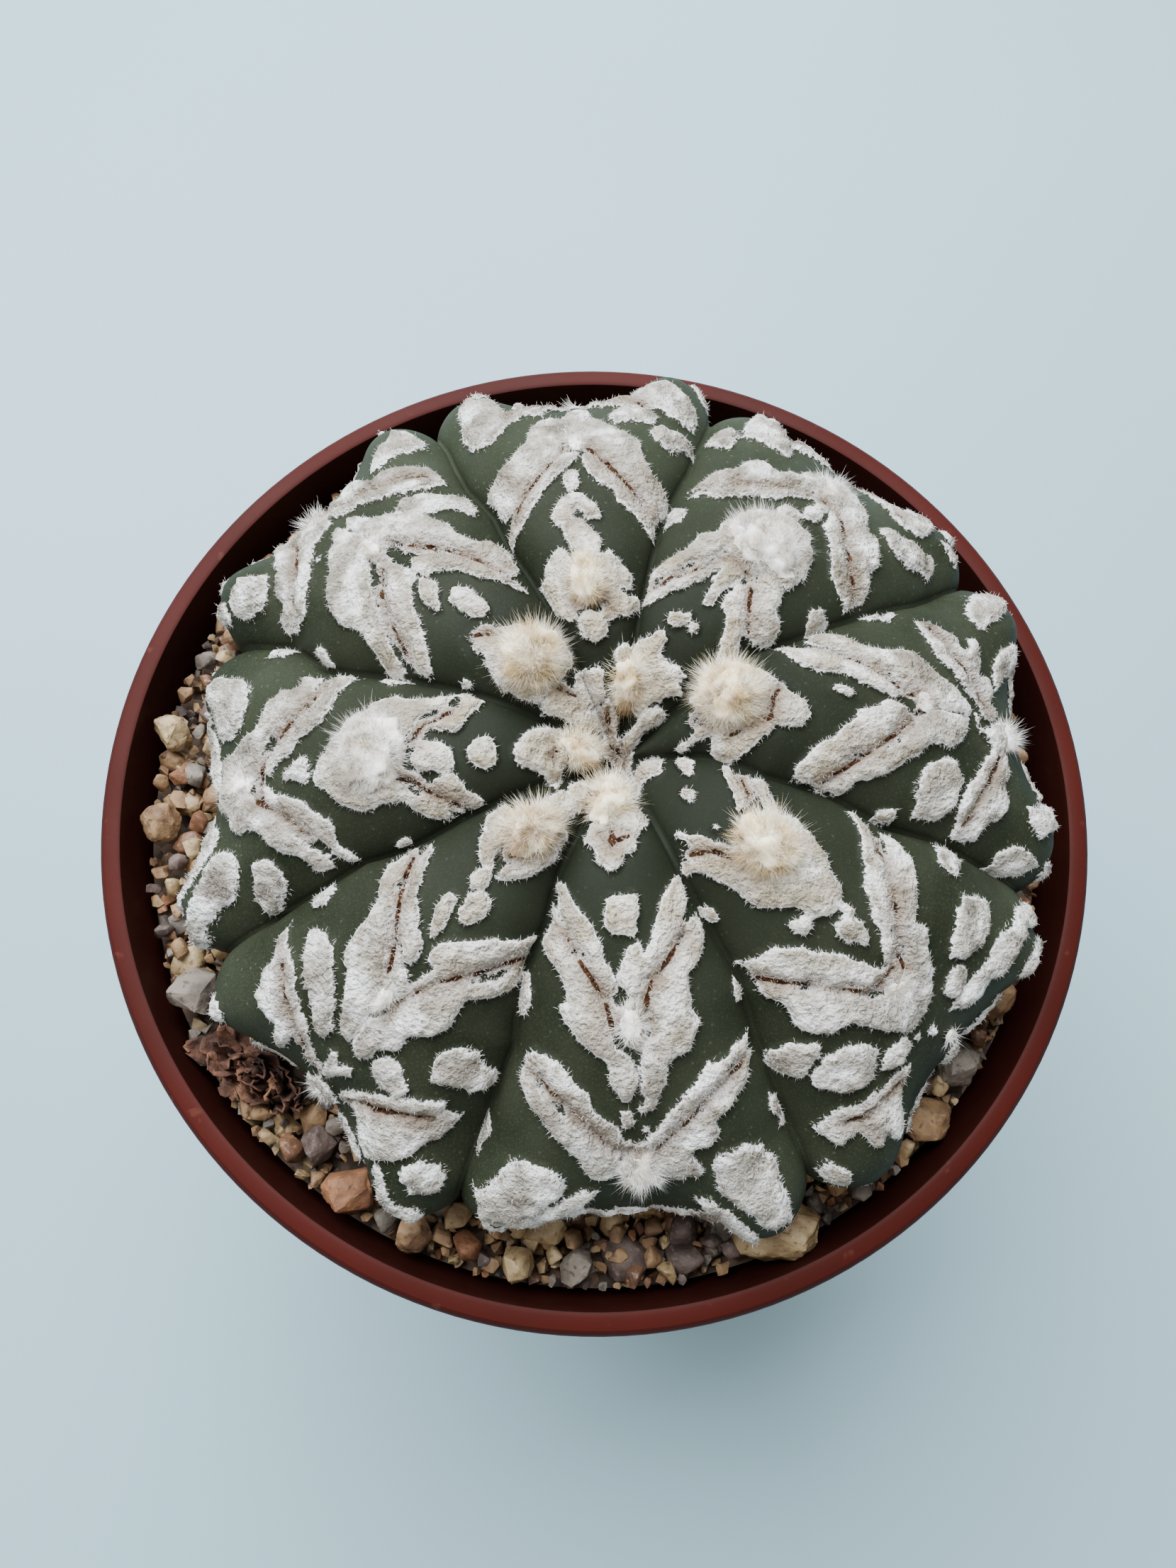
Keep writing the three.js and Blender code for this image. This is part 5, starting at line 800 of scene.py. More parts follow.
      "6.8 17.6, 5.0 18.2, 3.6 19.6, 3.2 21.6, 2.2 23.6, 1.6 25.0, 1.0 26.4, 1.0 27.8, 2.2 27.2, 3.6 25.2,"
      " 5.0 23.0, 6.4 20.8, 7.0 18.8",
      "7.2 20.8, 8.6 22.4, 8.2 24.4, 6.6 26.0, 6.2 27.2, 6.6 29.2, 6.2 30.8, 4.4 31.6, 3.4 32.6, 2.2 34.4,"
      " 0.6 35.6, -0.4 35.8, 0.0 32.0, 0.6 29.6, 2.3 28.1, 4.0 25.9, 5.6 23.6",
      "-11.0 31.2, -10.0 29.6, -8.0 28.7, -6.0 29.0, -4.7 30.6, -4.9 32.6, -6.8 33.9, -9.0 33.6,"
      " -10.6 32.6",
      "-10.6 25.6, -9.4 25.8, -9.2 27.0, -10.2 27.9, -11.2 28.0",
      "10.2 30.6, 11.4 31.0, 12.2 33.2, 11.0 32.4", "10.8 29.2, 11.8 29.4, 12.0 31.0, 11.0 30.8",
      "-12.4 34.4, -10.8 34.4, -8.4 34.0, -7.0 34.6, -5.8 36.0, -4.4 37.4, -3.0 39.2, -2.4 38.2, -1.4 37.8,"
      " -0.6 39.2, -0.2 41.8, -1.8 42.4, -3.6 40.8, -5.6 41.0, -7.4 40.4, -9.4 40.6, -10.6 39.6,"
      " -10.8 38.4, -12.4 37.8, -12.8 36.4",
      "0.0 38.2, 1.6 37.4, 2.8 35.8, 4.6 34.2, 6.6 33.0, 8.4 33.4, 10.2 33.8, 10.6 34.8, 9.6 36.4, 8.4 37.2,"
      " 6.8 36.8, 7.0 38.0, 8.6 39.4, 7.8 40.2, 5.6 39.4, 4.2 38.6, 4.8 40.2, 3.4 40.6, 1.6 39.8,"
      " 0.4 40.8, -0.4 39.8",
      "-0.9 36.8, 0.2 36.7, -0.2 37.4", "-1.9 36.9, -1.3 36.7, -1.5 37.4",
      "-16.6 43.4, -15.8 42.2, -14.0 42.2, -13.0 43.6, -13.4 45.8, -14.6 47.8, -16.2 46.8",
      "-12.0 46.2, -10.4 44.2, -9.0 43.8, -8.6 46.0, -8.0 49.0, -10.6 48.6",
      "3.4 42.0, 5.8 42.4, 7.8 44.6, 8.8 47.6, 8.0 50.4, 6.2 48.4, 5.2 45.6",
      "9.6 42.6, 11.4 42.0, 13.2 43.4, 14.8 45.8, 15.2 48.8, 13.0 48.6, 11.2 45.8",
      "-13.6 49.2, -14.4 48.6, -15.4 50.0, -15.6 51.4, -14.6 51.2",
    ],
    "cleft": [
      "-1.9 10.6, -1.5 12.6, -0.8 14.4, 1.0 14.8, 1.6 15.6",
      "-6.8 19.8, -4.7 22.9, -2.5 26.0, -0.8 28.2, 0.0 29.4",
      "5.6 22.6, 4.4 24.6, 2.6 26.8, 1.5 28.2, 1.2 29.8",
      "-11.2 35.6, -8.2 36.4, -5.8 38.2, -3.8 39.8", "9.4 35.0, 6.0 35.6, 3.0 37.6, 1.0 38.8",
    ],
    "wool": [[1.9, 11.5, 2.8, 2.9, 2.8], [0.5, 29.8, 1.2, 1.2, 0.5], [-1.8, 42.0, 1.6, 1.9, 1.1]],
  },
  "D": {
    "flock": [
      "1.2 6.2, 1.9 5.2, 2.8 5.6, 2.9 7.0, 2.0 7.8, 1.3 7.2",
      "-0.7 7.8, 0.0 7.6, 0.2 8.6, -0.4 9.6, -0.9 9.0",
      "-4.2 10.4, -3.4 10.6, -2.6 12.4, -2.0 13.6, -3.0 13.8, -4.0 12.6",
      "-5.4 12.8, -6.2 14.6, -5.0 15.4, -4.8 17.0, -4.6 18.6, -4.6 20.6, -3.2 22.0, -2.2 22.8, -2.0 24.2,"
      " -0.6 25.2, 0.8 25.2, 2.0 24.6, 2.4 22.8, 3.2 21.8, 4.0 19.6, 4.2 17.2, 3.2 15.8, 1.2 15.4,"
      " -1.6 15.0, -3.0 14.6, -4.2 13.8",
      "3.8 9.8, 4.4 10.4, 3.6 12.0, 2.2 13.4, 1.2 13.2, 2.4 11.6",
      "4.4 12.4, 5.8 14.0, 4.6 15.4, 3.4 16.4, 2.4 15.6, 3.4 14.0",
      "-1.8 12.6, -1.2 11.6, -0.6 12.6, -1.2 13.4",
      "0.2 25.2, 1.4 25.4, 1.2 26.6, 0.2 27.0", "-8.4 18.0, -7.2 18.2, -7.2 19.8, -8.0 20.2",
      "-4.2 23.2, -3.2 22.8, -2.0 23.8, -2.6 24.8, -3.6 25.0, -4.2 24.2",
      "-1.8 26.8, -1.0 26.0, 0.2 26.4, 1.0 27.6, 0.8 28.8, 0.0 29.7, -0.8 28.6, -1.6 28.0",
      "-9.6 24.0, -8.0 24.6, -6.2 24.4, -4.4 25.6, -3.6 26.8, -2.2 28.4, -1.6 30.2, -1.0 31.6, -1.2 33.0,"
      " -2.6 32.4, -3.8 30.8, -5.2 29.0, -6.8 27.4, -8.8 25.8",
      "-9.8 26.4, -10.0 28.2, -9.2 29.4, -9.9 31.2, -9.4 32.8, -8.0 33.9, -6.2 34.0, -5.2 35.4, -4.6 37.0,"
      " -3.4 38.6, -1.8 39.6, -0.4 39.2, -0.4 36.4, -1.6 34.6, -3.0 33.4, -4.6 31.6, -6.2 29.4, -8.2 27.2",
      "8.8 22.8, 7.4 24.0, 5.4 24.8, 3.6 26.2, 2.4 27.6, 1.4 29.2, 0.6 30.6, 0.0 32.0, 0.4 32.6, 1.6 31.6,"
      " 3.0 30.0, 4.6 28.4, 6.4 26.8, 8.4 25.4, 9.2 24.0",
      "9.6 25.8, 10.2 28.0, 9.4 29.6, 7.6 30.8, 6.0 31.6, 4.6 32.2, 5.0 33.6, 4.0 34.6, 3.2 35.8, 2.2 37.4,"
      " 0.6 38.6, -0.8 39.4, -0.6 37.0, 0.2 34.8, 1.6 33.0, 3.4 31.0, 5.4 29.2, 7.4 27.4",
      "-1.8 33.8, -0.4 33.3, 0.6 33.2, 1.2 34.4, 0.4 36.4, -0.8 37.4, -2.2 36.4, -2.8 35.0",
      "-14.8 35.2, -13.8 33.6, -11.4 33.0, -9.6 34.0, -10.4 35.4, -12.2 36.2, -13.6 37.0",
      "-12.6 38.0, -11.8 36.6, -10.0 35.4, -8.0 35.4, -6.6 36.4, -5.8 37.8, -7.2 39.4, -9.0 40.4,"
      " -11.2 39.8",
      "-7.2 40.2, -6.2 39.0, -4.8 38.6, -3.4 39.4, -3.6 40.6, -5.4 41.2",
      "5.0 37.8, 6.4 36.4, 8.4 36.0, 10.4 36.2, 11.4 37.6, 12.4 39.6, 10.8 40.4, 8.2 40.4, 6.2 39.4",
      "2.0 39.4, 3.2 38.6, 5.0 38.8, 5.8 40.0, 4.6 41.2, 2.6 40.8",
      "10.8 34.2, 11.4 33.0, 13.0 32.6, 14.2 34.2, 15.0 35.8, 13.6 36.2, 11.8 35.2",
      "-2.9 40.2, -2.2 40.2, -2.3 41.0", "-1.2 41.3, -0.4 41.2, -0.5 42.1, -1.1 42.0",
      "-15.6 43.4, -13.6 41.8, -12.0 41.4, -9.6 41.8, -7.4 41.4, -5.6 42.0, -4.0 42.6, -5.6 43.0, -6.8 43.8,"
      " -7.6 45.2, -8.4 46.6, -9.4 48.0, -10.4 46.0, -12.0 45.8, -12.6 44.4, -14.6 44.8",
      "1.6 41.8, 3.4 41.4, 5.6 41.6, 8.0 42.2, 10.6 42.0, 12.2 43.6, 14.4 45.0, 15.6 46.6, 13.4 46.4,"
      " 10.8 45.0, 8.4 44.8, 6.2 44.4, 4.2 43.8, 2.6 43.0",
      "-17.8 48.0, -16.4 46.8, -14.8 47.6, -15.4 49.2, -17.0 49.8",
      "15.1 45.4, 16.6 47.6, 16.1 48.8, 14.6 48.2, 13.4 46.2",
      "14.8 49.7, 13.6 50.4, 10.8 49.4, 9.4 49.0, 10.8 47.4, 13.1 48.0",
    ],
    "cleft": [
      "-4.4 13.0, -2.8 14.2, -2.4 15.6", "3.9 12.0, 2.7 13.8, 2.2 14.8",
      "-9.0 26.2, -6.6 28.4, -4.8 30.6, -3.0 32.8, -1.4 33.2, 0.0 32.9",
      "8.0 26.2, 5.4 28.6, 3.2 30.5, 1.4 32.4, 0.8 33.9",
      "-12.6 43.0, -9.6 42.8, -6.6 42.8",
    ],
    "wool": [[0.3, 17.0, 2.7, 3.2, 2.2], [-1.0, 35.2, 1.5, 1.7, 0.8], [0.4, 44.8, 0.9, 0.9, 0.6]],
  },
  "E": {
    "flock": [
      "-2.6 8.6, -3.6 10.8, -2.6 11.4, -2.2 12.9, -0.9 13.9, -0.1 13.4, 0.4 11.9, 1.4 11.3, 1.3 10.0,"
      " 2.6 8.2, 2.0 6.6, 1.0 6.0, -1.0 6.0",
      "-2.0 17.4, -1.4 16.0, 0.2 15.6, 1.4 15.6, 1.3 17.8, 0.5 19.4, -0.6 19.2, -1.9 18.9",
      "-6.2 15.9, -5.0 15.7, -4.1 17.6, -2.7 19.2, -2.1 20.8, -1.4 22.6, -1.0 24.4, -2.0 25.0, -2.9 23.4,"
      " -4.0 21.9, -5.2 20.1, -6.0 18.2",
      "-6.4 17.8, -7.0 19.6, -7.7 21.4, -7.4 22.6, -6.3 24.0, -5.6 25.4, -6.5 26.6, -5.4 28.4, -4.2 29.6,"
      " -2.9 30.3, -2.3 32.4, -1.6 34.2, -0.3 34.4, -0.2 33.0, -0.2 30.2, -1.6 28.9, -2.1 27.0, -2.3 25.6,"
      " -3.3 24.2, -4.4 22.6, -5.6 20.8",
      "0.2 20.2, 1.0 20.0, 1.5 22.2, 0.9 24.2, 0.2 24.9, -0.8 24.2, -1.2 22.6, -0.6 21.2",
      "5.2 14.2, 5.7 15.4, 5.8 17.2, 4.9 19.0, 3.5 21.0, 2.1 22.6, 1.3 23.2, 1.1 21.2, 2.0 19.8, 2.6 17.6,"
      " 3.8 15.8",
      "6.2 17.3, 6.4 19.4, 7.1 20.8, 6.4 22.4, 5.0 23.4, 5.2 24.8, 5.1 26.4, 5.7 27.6, 5.2 29.2, 3.6 30.2,"
      " 2.4 31.6, 1.8 33.2, 0.9 34.0, 0.1 33.4, 0.1 30.4, 1.2 28.6, 1.2 26.0, 1.6 24.2, 3.1 22.6, 4.7 20.6",
      "-1.6 26.0, -0.4 25.0, 0.8 25.6, 1.1 28.0, 0.2 29.4, -1.2 28.8",
      "-0.2 34.8, 0.6 34.0, 1.5 34.0, 1.2 34.9, 0.2 35.4", "-1.7 35.0, -0.6 34.8, -0.4 36.4, -1.2 36.7",
      "0.2 36.2, 1.0 36.5, 0.9 37.3, 0.2 37.2",
      "-10.8 32.0, -9.4 31.6, -8.0 31.0, -6.8 31.6, -5.6 32.9, -4.4 33.8, -3.6 35.3, -2.2 36.4, -1.2 38.2,"
      " -1.0 39.2, -2.2 38.6, -3.6 37.2, -5.2 35.6, -7.0 34.2, -9.0 33.0",
      "-11.0 31.0, -10.4 32.6, -11.0 34.0, -10.4 35.8, -9.0 36.9, -7.6 38.2, -6.3 39.2, -5.6 40.4, -4.9 41.2,"
      " -4.6 42.9, -3.0 42.8, -2.0 42.4, -1.9 40.6, -0.9 39.9, -2.6 39.2, -4.2 37.7, -6.0 36.1, -8.0 34.6,"
      " -9.8 33.5",
      "10.8 30.4, 9.4 31.0, 7.8 31.4, 6.0 31.4, 4.8 32.6, 3.4 34.2, 2.2 36.2, 1.0 37.8, 0.6 39.1, 1.5 39.0,"
      " 2.8 37.6, 4.4 35.8, 6.2 34.0, 8.4 32.6, 10.2 32.0",
      "10.6 32.4, 10.4 33.6, 9.5 35.2, 8.2 36.2, 6.8 36.9, 7.2 38.2, 6.4 39.2, 5.0 39.9, 5.9 41.2, 5.8 42.5,"
      " 4.2 42.9, 2.6 42.8, 2.2 41.0, 1.4 39.9, 2.9 38.7, 4.7 36.8, 6.7 34.8, 8.9 33.4",
      "-1.9 41.0, -0.8 39.9, 1.2 39.9, 2.2 41.4, 2.4 43.6, 1.0 44.4, -1.4 44.0",
      "-12.6 44.0, -11.2 42.4, -8.6 42.0, -6.4 43.4, -7.2 45.4, -9.0 47.0, -11.0 48.6, -12.6 50.0,"
      " -14.2 49.0, -14.0 46.8",
      "-7.4 46.4, -5.4 44.6, -3.2 44.2, -3.6 45.6, -6.0 47.8, -6.6 49.6, -9.6 50.6, -9.9 48.8",
      "6.6 41.6, 7.2 40.3, 9.6 40.2, 11.4 41.6, 13.0 44.0, 13.6 47.0, 13.4 49.0, 11.6 48.6, 9.4 46.6,"
      " 7.2 44.4",
      "5.0 45.8, 6.6 45.9, 9.2 47.9, 10.4 49.9, 9.6 51.4, 7.0 49.6, 6.2 48.0",
      "-9.3 25.0, -9.2 27.2, -10.0 28.6, -10.9 29.0, -10.8 27.2, -10.2 25.2",
      "9.6 24.6, 10.4 25.6, 10.9 27.8, 9.6 27.9, 9.2 26.4",
      "12.8 37.6, 14.2 39.4, 15.4 42.0, 15.8 43.8, 14.2 41.6, 13.0 39.4",
      "-7.0 51.2, -4.4 50.4, -1.6 50.2, 1.0 50.4, 0.8 51.8, -2.2 52.2, -5.6 52.8",
      "-15.4 41.0, -14.2 39.8, -14.5 42.4, -15.2 45.1, -15.9 46.6, -16.2 44.0",
      "-15.6 47.4, -14.3 46.8, -12.3 47.6, -9.5 48.2, -6.7 48.8, -4.5 48.4, -5.4 49.6, -8.0 50.0,"
      " -10.8 49.6, -13.6 49.0",
    ],
    "cleft": [
      "-1.8 9.9, -0.8 10.6, 0.6 9.9",
      "-5.6 20.2, -4.3 22.1, -3.1 23.8, -2.2 25.3, -1.9 27.4",
      "5.0 19.6, 3.4 21.7, 1.9 23.4, 1.3 25.0, 1.3 27.0",
      "-9.8 33.2, -7.0 34.4, -4.8 36.4, -2.4 38.9, -0.2 39.5", "9.6 32.8, 6.4 34.5, 3.7 37.1, 1.7 39.4",
    ],
    "wool": [[-0.9, 5.7, 1.8, 3.0, 2.2], [-0.3, 27.0, 1.3, 2.0, 1.3], [0.3, 42.0, 2.0, 2.3, 1.5]],
  },
  "F": {
    "flock": [
      "1.8 11.6, 2.6 12.2, 3.4 13.8, 3.6 15.6, 2.8 17.2, 1.6 18.6, 0.8 18.8, 0.6 17.4, 1.4 15.6, 1.7 13.6",
      "-3.4 13.8, -3.6 15.6, -3.0 17.2, -1.8 18.6, -0.8 19.2, -0.2 18.2, -0.6 16.6, -1.4 14.8, -2.4 13.4",
      "-1.2 8.0, 0.2 7.6, 1.4 8.0, 1.6 10.4, 2.6 11.0, 3.0 11.4, 1.4 12.2, -0.6 12.6, -2.0 12.4, -1.2 10.4",
      "-0.2 17.6, 0.4 19.0, 0.8 20.0, -0.2 21.0, -1.2 20.4, -1.2 19.4",
      "-0.2 21.6, 0.8 20.4, 2.0 20.6, 2.6 22.2, 2.0 23.8, 0.8 24.0, 0.2 23.0",
      "-1.2 22.6, -0.4 22.4, 0.4 24.2, 0.8 25.0, 0.2 26.6, -0.6 25.6, -1.2 24.2",
      "-6.4 21.6, -5.4 21.6, -4.6 23.2, -3.2 24.6, -1.8 25.4, -1.0 26.6, 0.2 27.2, 1.0 28.4, 0.6 29.6,"
      " -0.6 29.4, -1.9 28.3, -3.3 26.9, -4.7 25.1, -6.1 23.4",
      "-6.8 24.2, -7.9 26.2, -7.0 27.6, -5.8 28.4, -5.4 30.2, -5.8 31.8, -5.2 33.2, -4.0 34.4, -2.8 35.8,"
      " -2.0 37.4, -1.0 39.0, 0.4 39.6, 0.2 36.0, -0.4 32.6, -1.2 30.8, -2.4 29.0, -4.0 27.5, -5.6 25.5",
      "6.8 21.2, 5.8 22.4, 4.4 23.2, 3.2 24.4, 1.8 25.6, 0.8 27.0, 1.2 28.0, 2.2 28.4, 1.8 29.8, 3.2 28.5,"
      " 4.4 27.0, 6.0 25.2, 7.2 23.4",
      "7.8 24.4, 8.6 26.4, 7.8 28.2, 6.4 29.0, 6.2 31.4, 5.6 33.4, 4.2 34.4, 4.0 36.4, 2.8 37.4, 2.6 39.2,"
      " 1.6 40.0, 0.4 39.0, 0.2 35.6, 1.3 33.6, 2.8 31.3, 4.4 29.0, 6.2 26.8",
      "-0.7 30.4, 0.8 29.8, 1.2 31.4, 0.9 33.6, 0.2 35.6, -0.3 34.0, -0.8 32.0",
      "-9.4 35.8, -8.4 34.4, -6.6 34.0, -5.0 34.8, -3.8 36.2, -2.6 37.8, -1.8 39.6, -1.8 41.2, -2.6 41.4,"
      " -4.0 40.2, -5.8 38.8, -8.0 37.6",
      "3.2 38.2, 4.0 37.4, 5.4 37.6, 6.2 38.6, 7.4 39.0, 6.8 40.6, 5.2 41.0, 4.0 40.4, 3.2 39.2",
      "7.0 34.2, 8.0 33.0, 9.8 33.0, 11.0 34.4, 12.4 35.0, 12.8 36.6, 11.6 37.4, 9.6 37.2, 8.0 37.4,"
      " 7.2 35.8",
      "-12.6 34.8, -11.8 33.0, -10.8 32.2, -10.2 33.4, -11.2 35.0, -12.8 35.6",
      "-0.8 41.2, 0.2 41.2, 0.6 42.6, 1.8 41.2, 2.2 42.4, 1.2 43.6, 0.4 45.0, -0.6 44.4, -0.6 42.8",
      "-12.4 38.2, -10.8 39.0, -9.2 38.4, -7.4 39.2, -5.4 40.6, -3.4 42.2, -1.6 44.0, 0.2 45.8, -0.8 46.0,"
      " -2.8 44.8, -4.2 44.4, -4.6 46.8, -5.6 46.2, -6.4 44.6, -8.0 44.6, -9.6 43.8, -10.4 42.6,"
      " -10.8 41.2, -11.8 40.0",
      "2.6 44.8, 4.2 42.4, 6.4 40.6, 8.4 39.2, 10.2 38.8, 11.0 39.8, 12.4 40.2, 12.2 42.6, 10.8 44.6,"
      " 9.2 46.0, 7.6 48.0, 6.6 48.0, 5.4 46.6, 4.2 45.6, 2.6 46.2",
      "-1.8 47.6, -0.4 46.4, 1.4 46.4, 2.6 47.8, 1.8 49.8, -0.8 50.0",
      "2.6 50.4, 4.0 49.0, 5.8 49.4, 7.4 50.6, 6.6 52.0, 4.4 52.4",
      "10.4 46.0, 11.8 44.8, 13.6 45.2, 14.6 46.6, 14.4 47.8, 12.5 47.4",
      "8.4 47.4, 9.2 46.6, 10.2 47.6, 11.8 48.8, 13.6 49.2, 14.6 49.8, 14.4 50.6, 12.2 50.2, 10.0 49.0",
    ],
    "cleft": [
      "1.9 12.6, 1.6 15.0, 0.4 16.4",
      "-6.2 23.9, -4.3 26.3, -2.2 28.6, -1.0 30.4, -0.6 33.4",
      "7.2 23.9, 5.2 26.8, 3.2 29.2, 1.8 31.8, 1.0 34.0",
      "-9.4 40.0, -6.4 41.6, -3.4 43.6, -0.8 45.6", "10.4 40.8, 7.0 42.2, 4.2 44.2, 2.8 45.6",
    ],
    "wool": [[0.2, 13.3, 1.9, 2.8, 2.2], [0.3, 33.2, 0.9, 1.8, 0.9], [0.4, 48.0, 1.3, 1.2, 1.0]],
  },
  "G": {
    "flock": [
      "-2.0 6.0, -2.4 8.0, -1.6 10.0, -0.4 10.4, 0.4 11.4, 1.4 11.4, 2.0 10.0, 2.5 8.6, 1.8 6.8, 0.8 6.0,"
      " -0.8 5.8",
      "-0.8 13.4, 0.4 12.6, 1.6 13.0, 2.2 14.4, 1.6 15.4, 0.4 15.8, -0.6 14.8",
      "-4.6 14.4, -3.6 15.2, -2.2 15.6, -1.4 16.8, -1.2 18.2, -2.0 19.4, -2.6 18.0, -3.6 16.8, -5.6 17.0",
      "-5.4 17.2, -5.6 19.4, -5.2 21.2, -5.8 23.2, -5.6 24.8, -4.2 26.6, -2.6 28.0, -0.4 29.4, 0.8 30.4,"
      " 2.4 30.4, 3.2 29.2, 4.4 28.2, 5.0 26.2, 4.6 24.2, 4.6 22.6, 5.8 21.4, 6.6 20.0, 6.4 18.0,"
      " 5.0 19.8, 3.2 21.4, 1.0 21.6, -1.6 21.2, -3.2 20.0, -4.0 17.8",
      "-0.8 18.0, 0.4 17.0, 2.0 17.2, 2.4 18.4, 2.0 20.4, 0.4 21.0, -1.2 20.4",
      "5.0 15.0, 5.8 16.0, 5.8 17.2, 4.7 18.6, 3.4 20.0, 2.7 18.8, 2.6 17.2, 3.8 16.4",
      "-1.2 31.4, 0.0 30.9, 1.6 31.4, 1.4 33.0, 0.8 34.2, 0.0 33.8, -0.8 32.6",
      "-9.0 28.8, -7.2 29.2, -5.0 29.2, -3.6 30.2, -2.6 32.0, -1.4 33.8, -0.2 35.2, 0.8 36.2, 0.4 37.2,"
      " -1.0 36.6, -2.5 35.2, -3.9 33.2, -5.5 31.6, -8.0 30.8, -9.8 31.6",
      "-9.8 32.2, -9.8 34.2, -8.4 34.4, -7.8 36.0, -6.6 37.4, -5.0 38.0, -3.8 39.6, -2.6 41.4, -2.2 43.4,"
      " 0.0 44.0, 1.0 42.0, 0.8 39.4, 0.6 38.2, -1.4 37.6, -3.2 36.1, -4.8 33.9, -6.8 32.3",
      "9.8 29.0, 8.2 29.8, 6.4 29.8, 4.8 30.8, 3.4 32.0, 2.6 33.8, 2.0 35.8, 1.4 37.0, 2.4 37.2, 3.5 35.9,"
      " 4.5 34.0, 5.9 32.3, 8.0 31.0, 9.8 30.4",
      "9.8 31.4, 9.9 33.4, 8.6 34.6, 8.0 36.6, 6.4 37.4, 6.2 39.4, 6.2 40.8, 4.8 42.0, 3.6 43.4, 1.6 44.2,"
      " 1.0 41.6, 1.6 39.2, 3.3 38.0, 4.5 35.8, 6.1 33.7, 8.0 32.2",
      "-0.6 39.4, 1.2 38.4, 3.0 39.4, 3.2 42.0, 1.4 44.0, -0.4 42.6",
      "8.8 38.2, 9.6 37.0, 11.4 37.4, 13.0 38.8, 14.4 40.4, 14.6 42.0, 12.8 42.0, 10.8 40.8, 9.4 39.6",
      "7.2 43.2, 8.4 41.6, 10.4 42.2, 12.2 43.8, 13.2 46.0, 13.8 49.0, 12.2 49.0, 9.8 46.6, 8.0 45.0",
      "-10.2 42.4, -8.6 40.6, -6.6 40.2, -4.8 41.2, -3.8 42.8, -4.4 44.6, -6.2 45.8, -9.0 47.2, -11.4 46.4,"
      " -10.8 44.4",
      "4.6 45.2, 5.6 44.0, 7.2 45.4, 8.8 46.6, 10.0 49.0, 8.0 50.0, 6.0 49.6, 4.4 47.4",
      "-14.2 39.0, -12.6 39.0, -13.0 41.0, -14.0 42.6",
      "-6.0 46.8, -3.6 45.4, -0.6 44.8, 1.0 45.2, 0.0 47.4, -2.6 48.8, -5.4 48.6",
      "8.2 22.6, 8.8 24.0, 9.0 25.8, 8.4 25.2", "-8.0 22.6, -7.5 24.0, -8.2 26.4, -8.8 25.0",
      "7.6 24.0, 8.4 23.4, 9.0 24.6, 8.2 25.6",
      "10.9 47.6, 12.2 47.0, 13.8 48.0, 15.0 49.8, 15.4 51.8, 14.4 52.2, 13.2 50.4, 12.0 49.0",
    ],
    "cleft": [
      "-1.2 5.6, -0.2 6.9, 0.8 7.5",
      "-3.3 17.4, -2.5 19.6, -1.0 20.9", "5.2 17.8, 4.1 19.7, 2.7 20.9, 2.2 22.8",
      "-8.6 31.2, -6.2 31.9, -4.2 33.8, -2.6 35.8, -0.6 37.4, 1.6 37.7, 3.4 36.8",
      "6.6 32.4, 5.0 34.0, 3.7 36.4, 3.0 38.2",
    ],
    "wool": [[-0.5, 4.6, 1.6, 2.4, 1.8], [-0.2, 24.6, 4.4, 3.8, 2.4], [1.3, 41.0, 2.0, 2.6, 1.3]],
  },
  "H": {
    "flock": [
      "-2.6 9.6, -1.4 9.4, 0.6 9.8, 2.2 9.4, 3.3 11.2, 3.8 12.8, 3.2 15.0, 2.6 16.4, 2.8 17.4, 1.6 18.4,"
      " 0.4 18.4, -0.4 16.8, -1.8 15.8, -2.4 14.6, -3.8 13.6, -3.8 11.8",
      "-1.4 5.4, 0.4 5.0, 1.4 6.4, 2.2 8.4, 1.6 9.6, -0.8 9.4, -1.8 7.6",
      "-1.8 19.6, -1.2 18.4, 0.0 18.4, 0.8 20.4, 0.4 22.2, -0.8 22.6, -1.6 21.4",
      "0.2 23.0, 1.6 22.2, 2.0 23.4, 1.4 24.8, 0.4 25.4, -0.2 24.2",
      "-5.4 18.2, -4.6 19.2, -4.0 20.6, -3.2 21.8, -2.4 23.4, -1.6 24.6, -0.4 25.4, 0.0 27.0, -0.8 28.0,"
      " -2.2 27.2, -3.4 25.8, -4.3 23.8, -5.0 21.2",
      "-5.8 20.4, -7.2 21.6, -8.2 23.8, -8.0 25.4, -6.4 25.8, -5.6 27.0, -6.4 28.8, -5.6 30.6, -5.0 32.6,"
      " -4.0 34.0, -2.6 35.6, -1.4 37.6, -0.2 38.8, 0.0 36.0, -0.6 32.0, -1.9 30.0, -2.8 28.3, -4.2 26.8,"
      " -5.0 24.4, -5.6 22.2",
      "7.2 20.6, 5.4 21.0, 4.2 22.6, 3.0 24.0, 1.8 25.4, 0.4 26.2, 0.2 28.4, 0.6 29.6, 2.1 29.3, 3.2 27.7,"
      " 4.6 26.0, 6.2 23.9, 7.7 22.2",
      "8.0 23.4, 9.0 25.4, 8.2 27.6, 7.6 29.6, 8.0 31.6, 7.4 33.4, 5.8 34.4, 4.4 35.2, 3.6 37.2, 2.4 37.6,"
      " 1.8 38.8, 0.6 38.8, 0.0 36.4, 0.4 33.0, 1.7 31.3, 3.5 29.5, 5.3 27.2, 7.1 24.8",
      "-0.2 30.6, 1.6 30.4, 1.4 33.0, 0.6 35.8, -0.6 35.0, -1.0 32.0",
      "-11.0 32.4, -10.4 30.4, -9.0 29.4, -7.8 30.8, -6.2 30.8, -4.8 32.4, -4.0 33.8, -5.2 34.8, -7.4 34.4,"
      " -9.0 33.2",
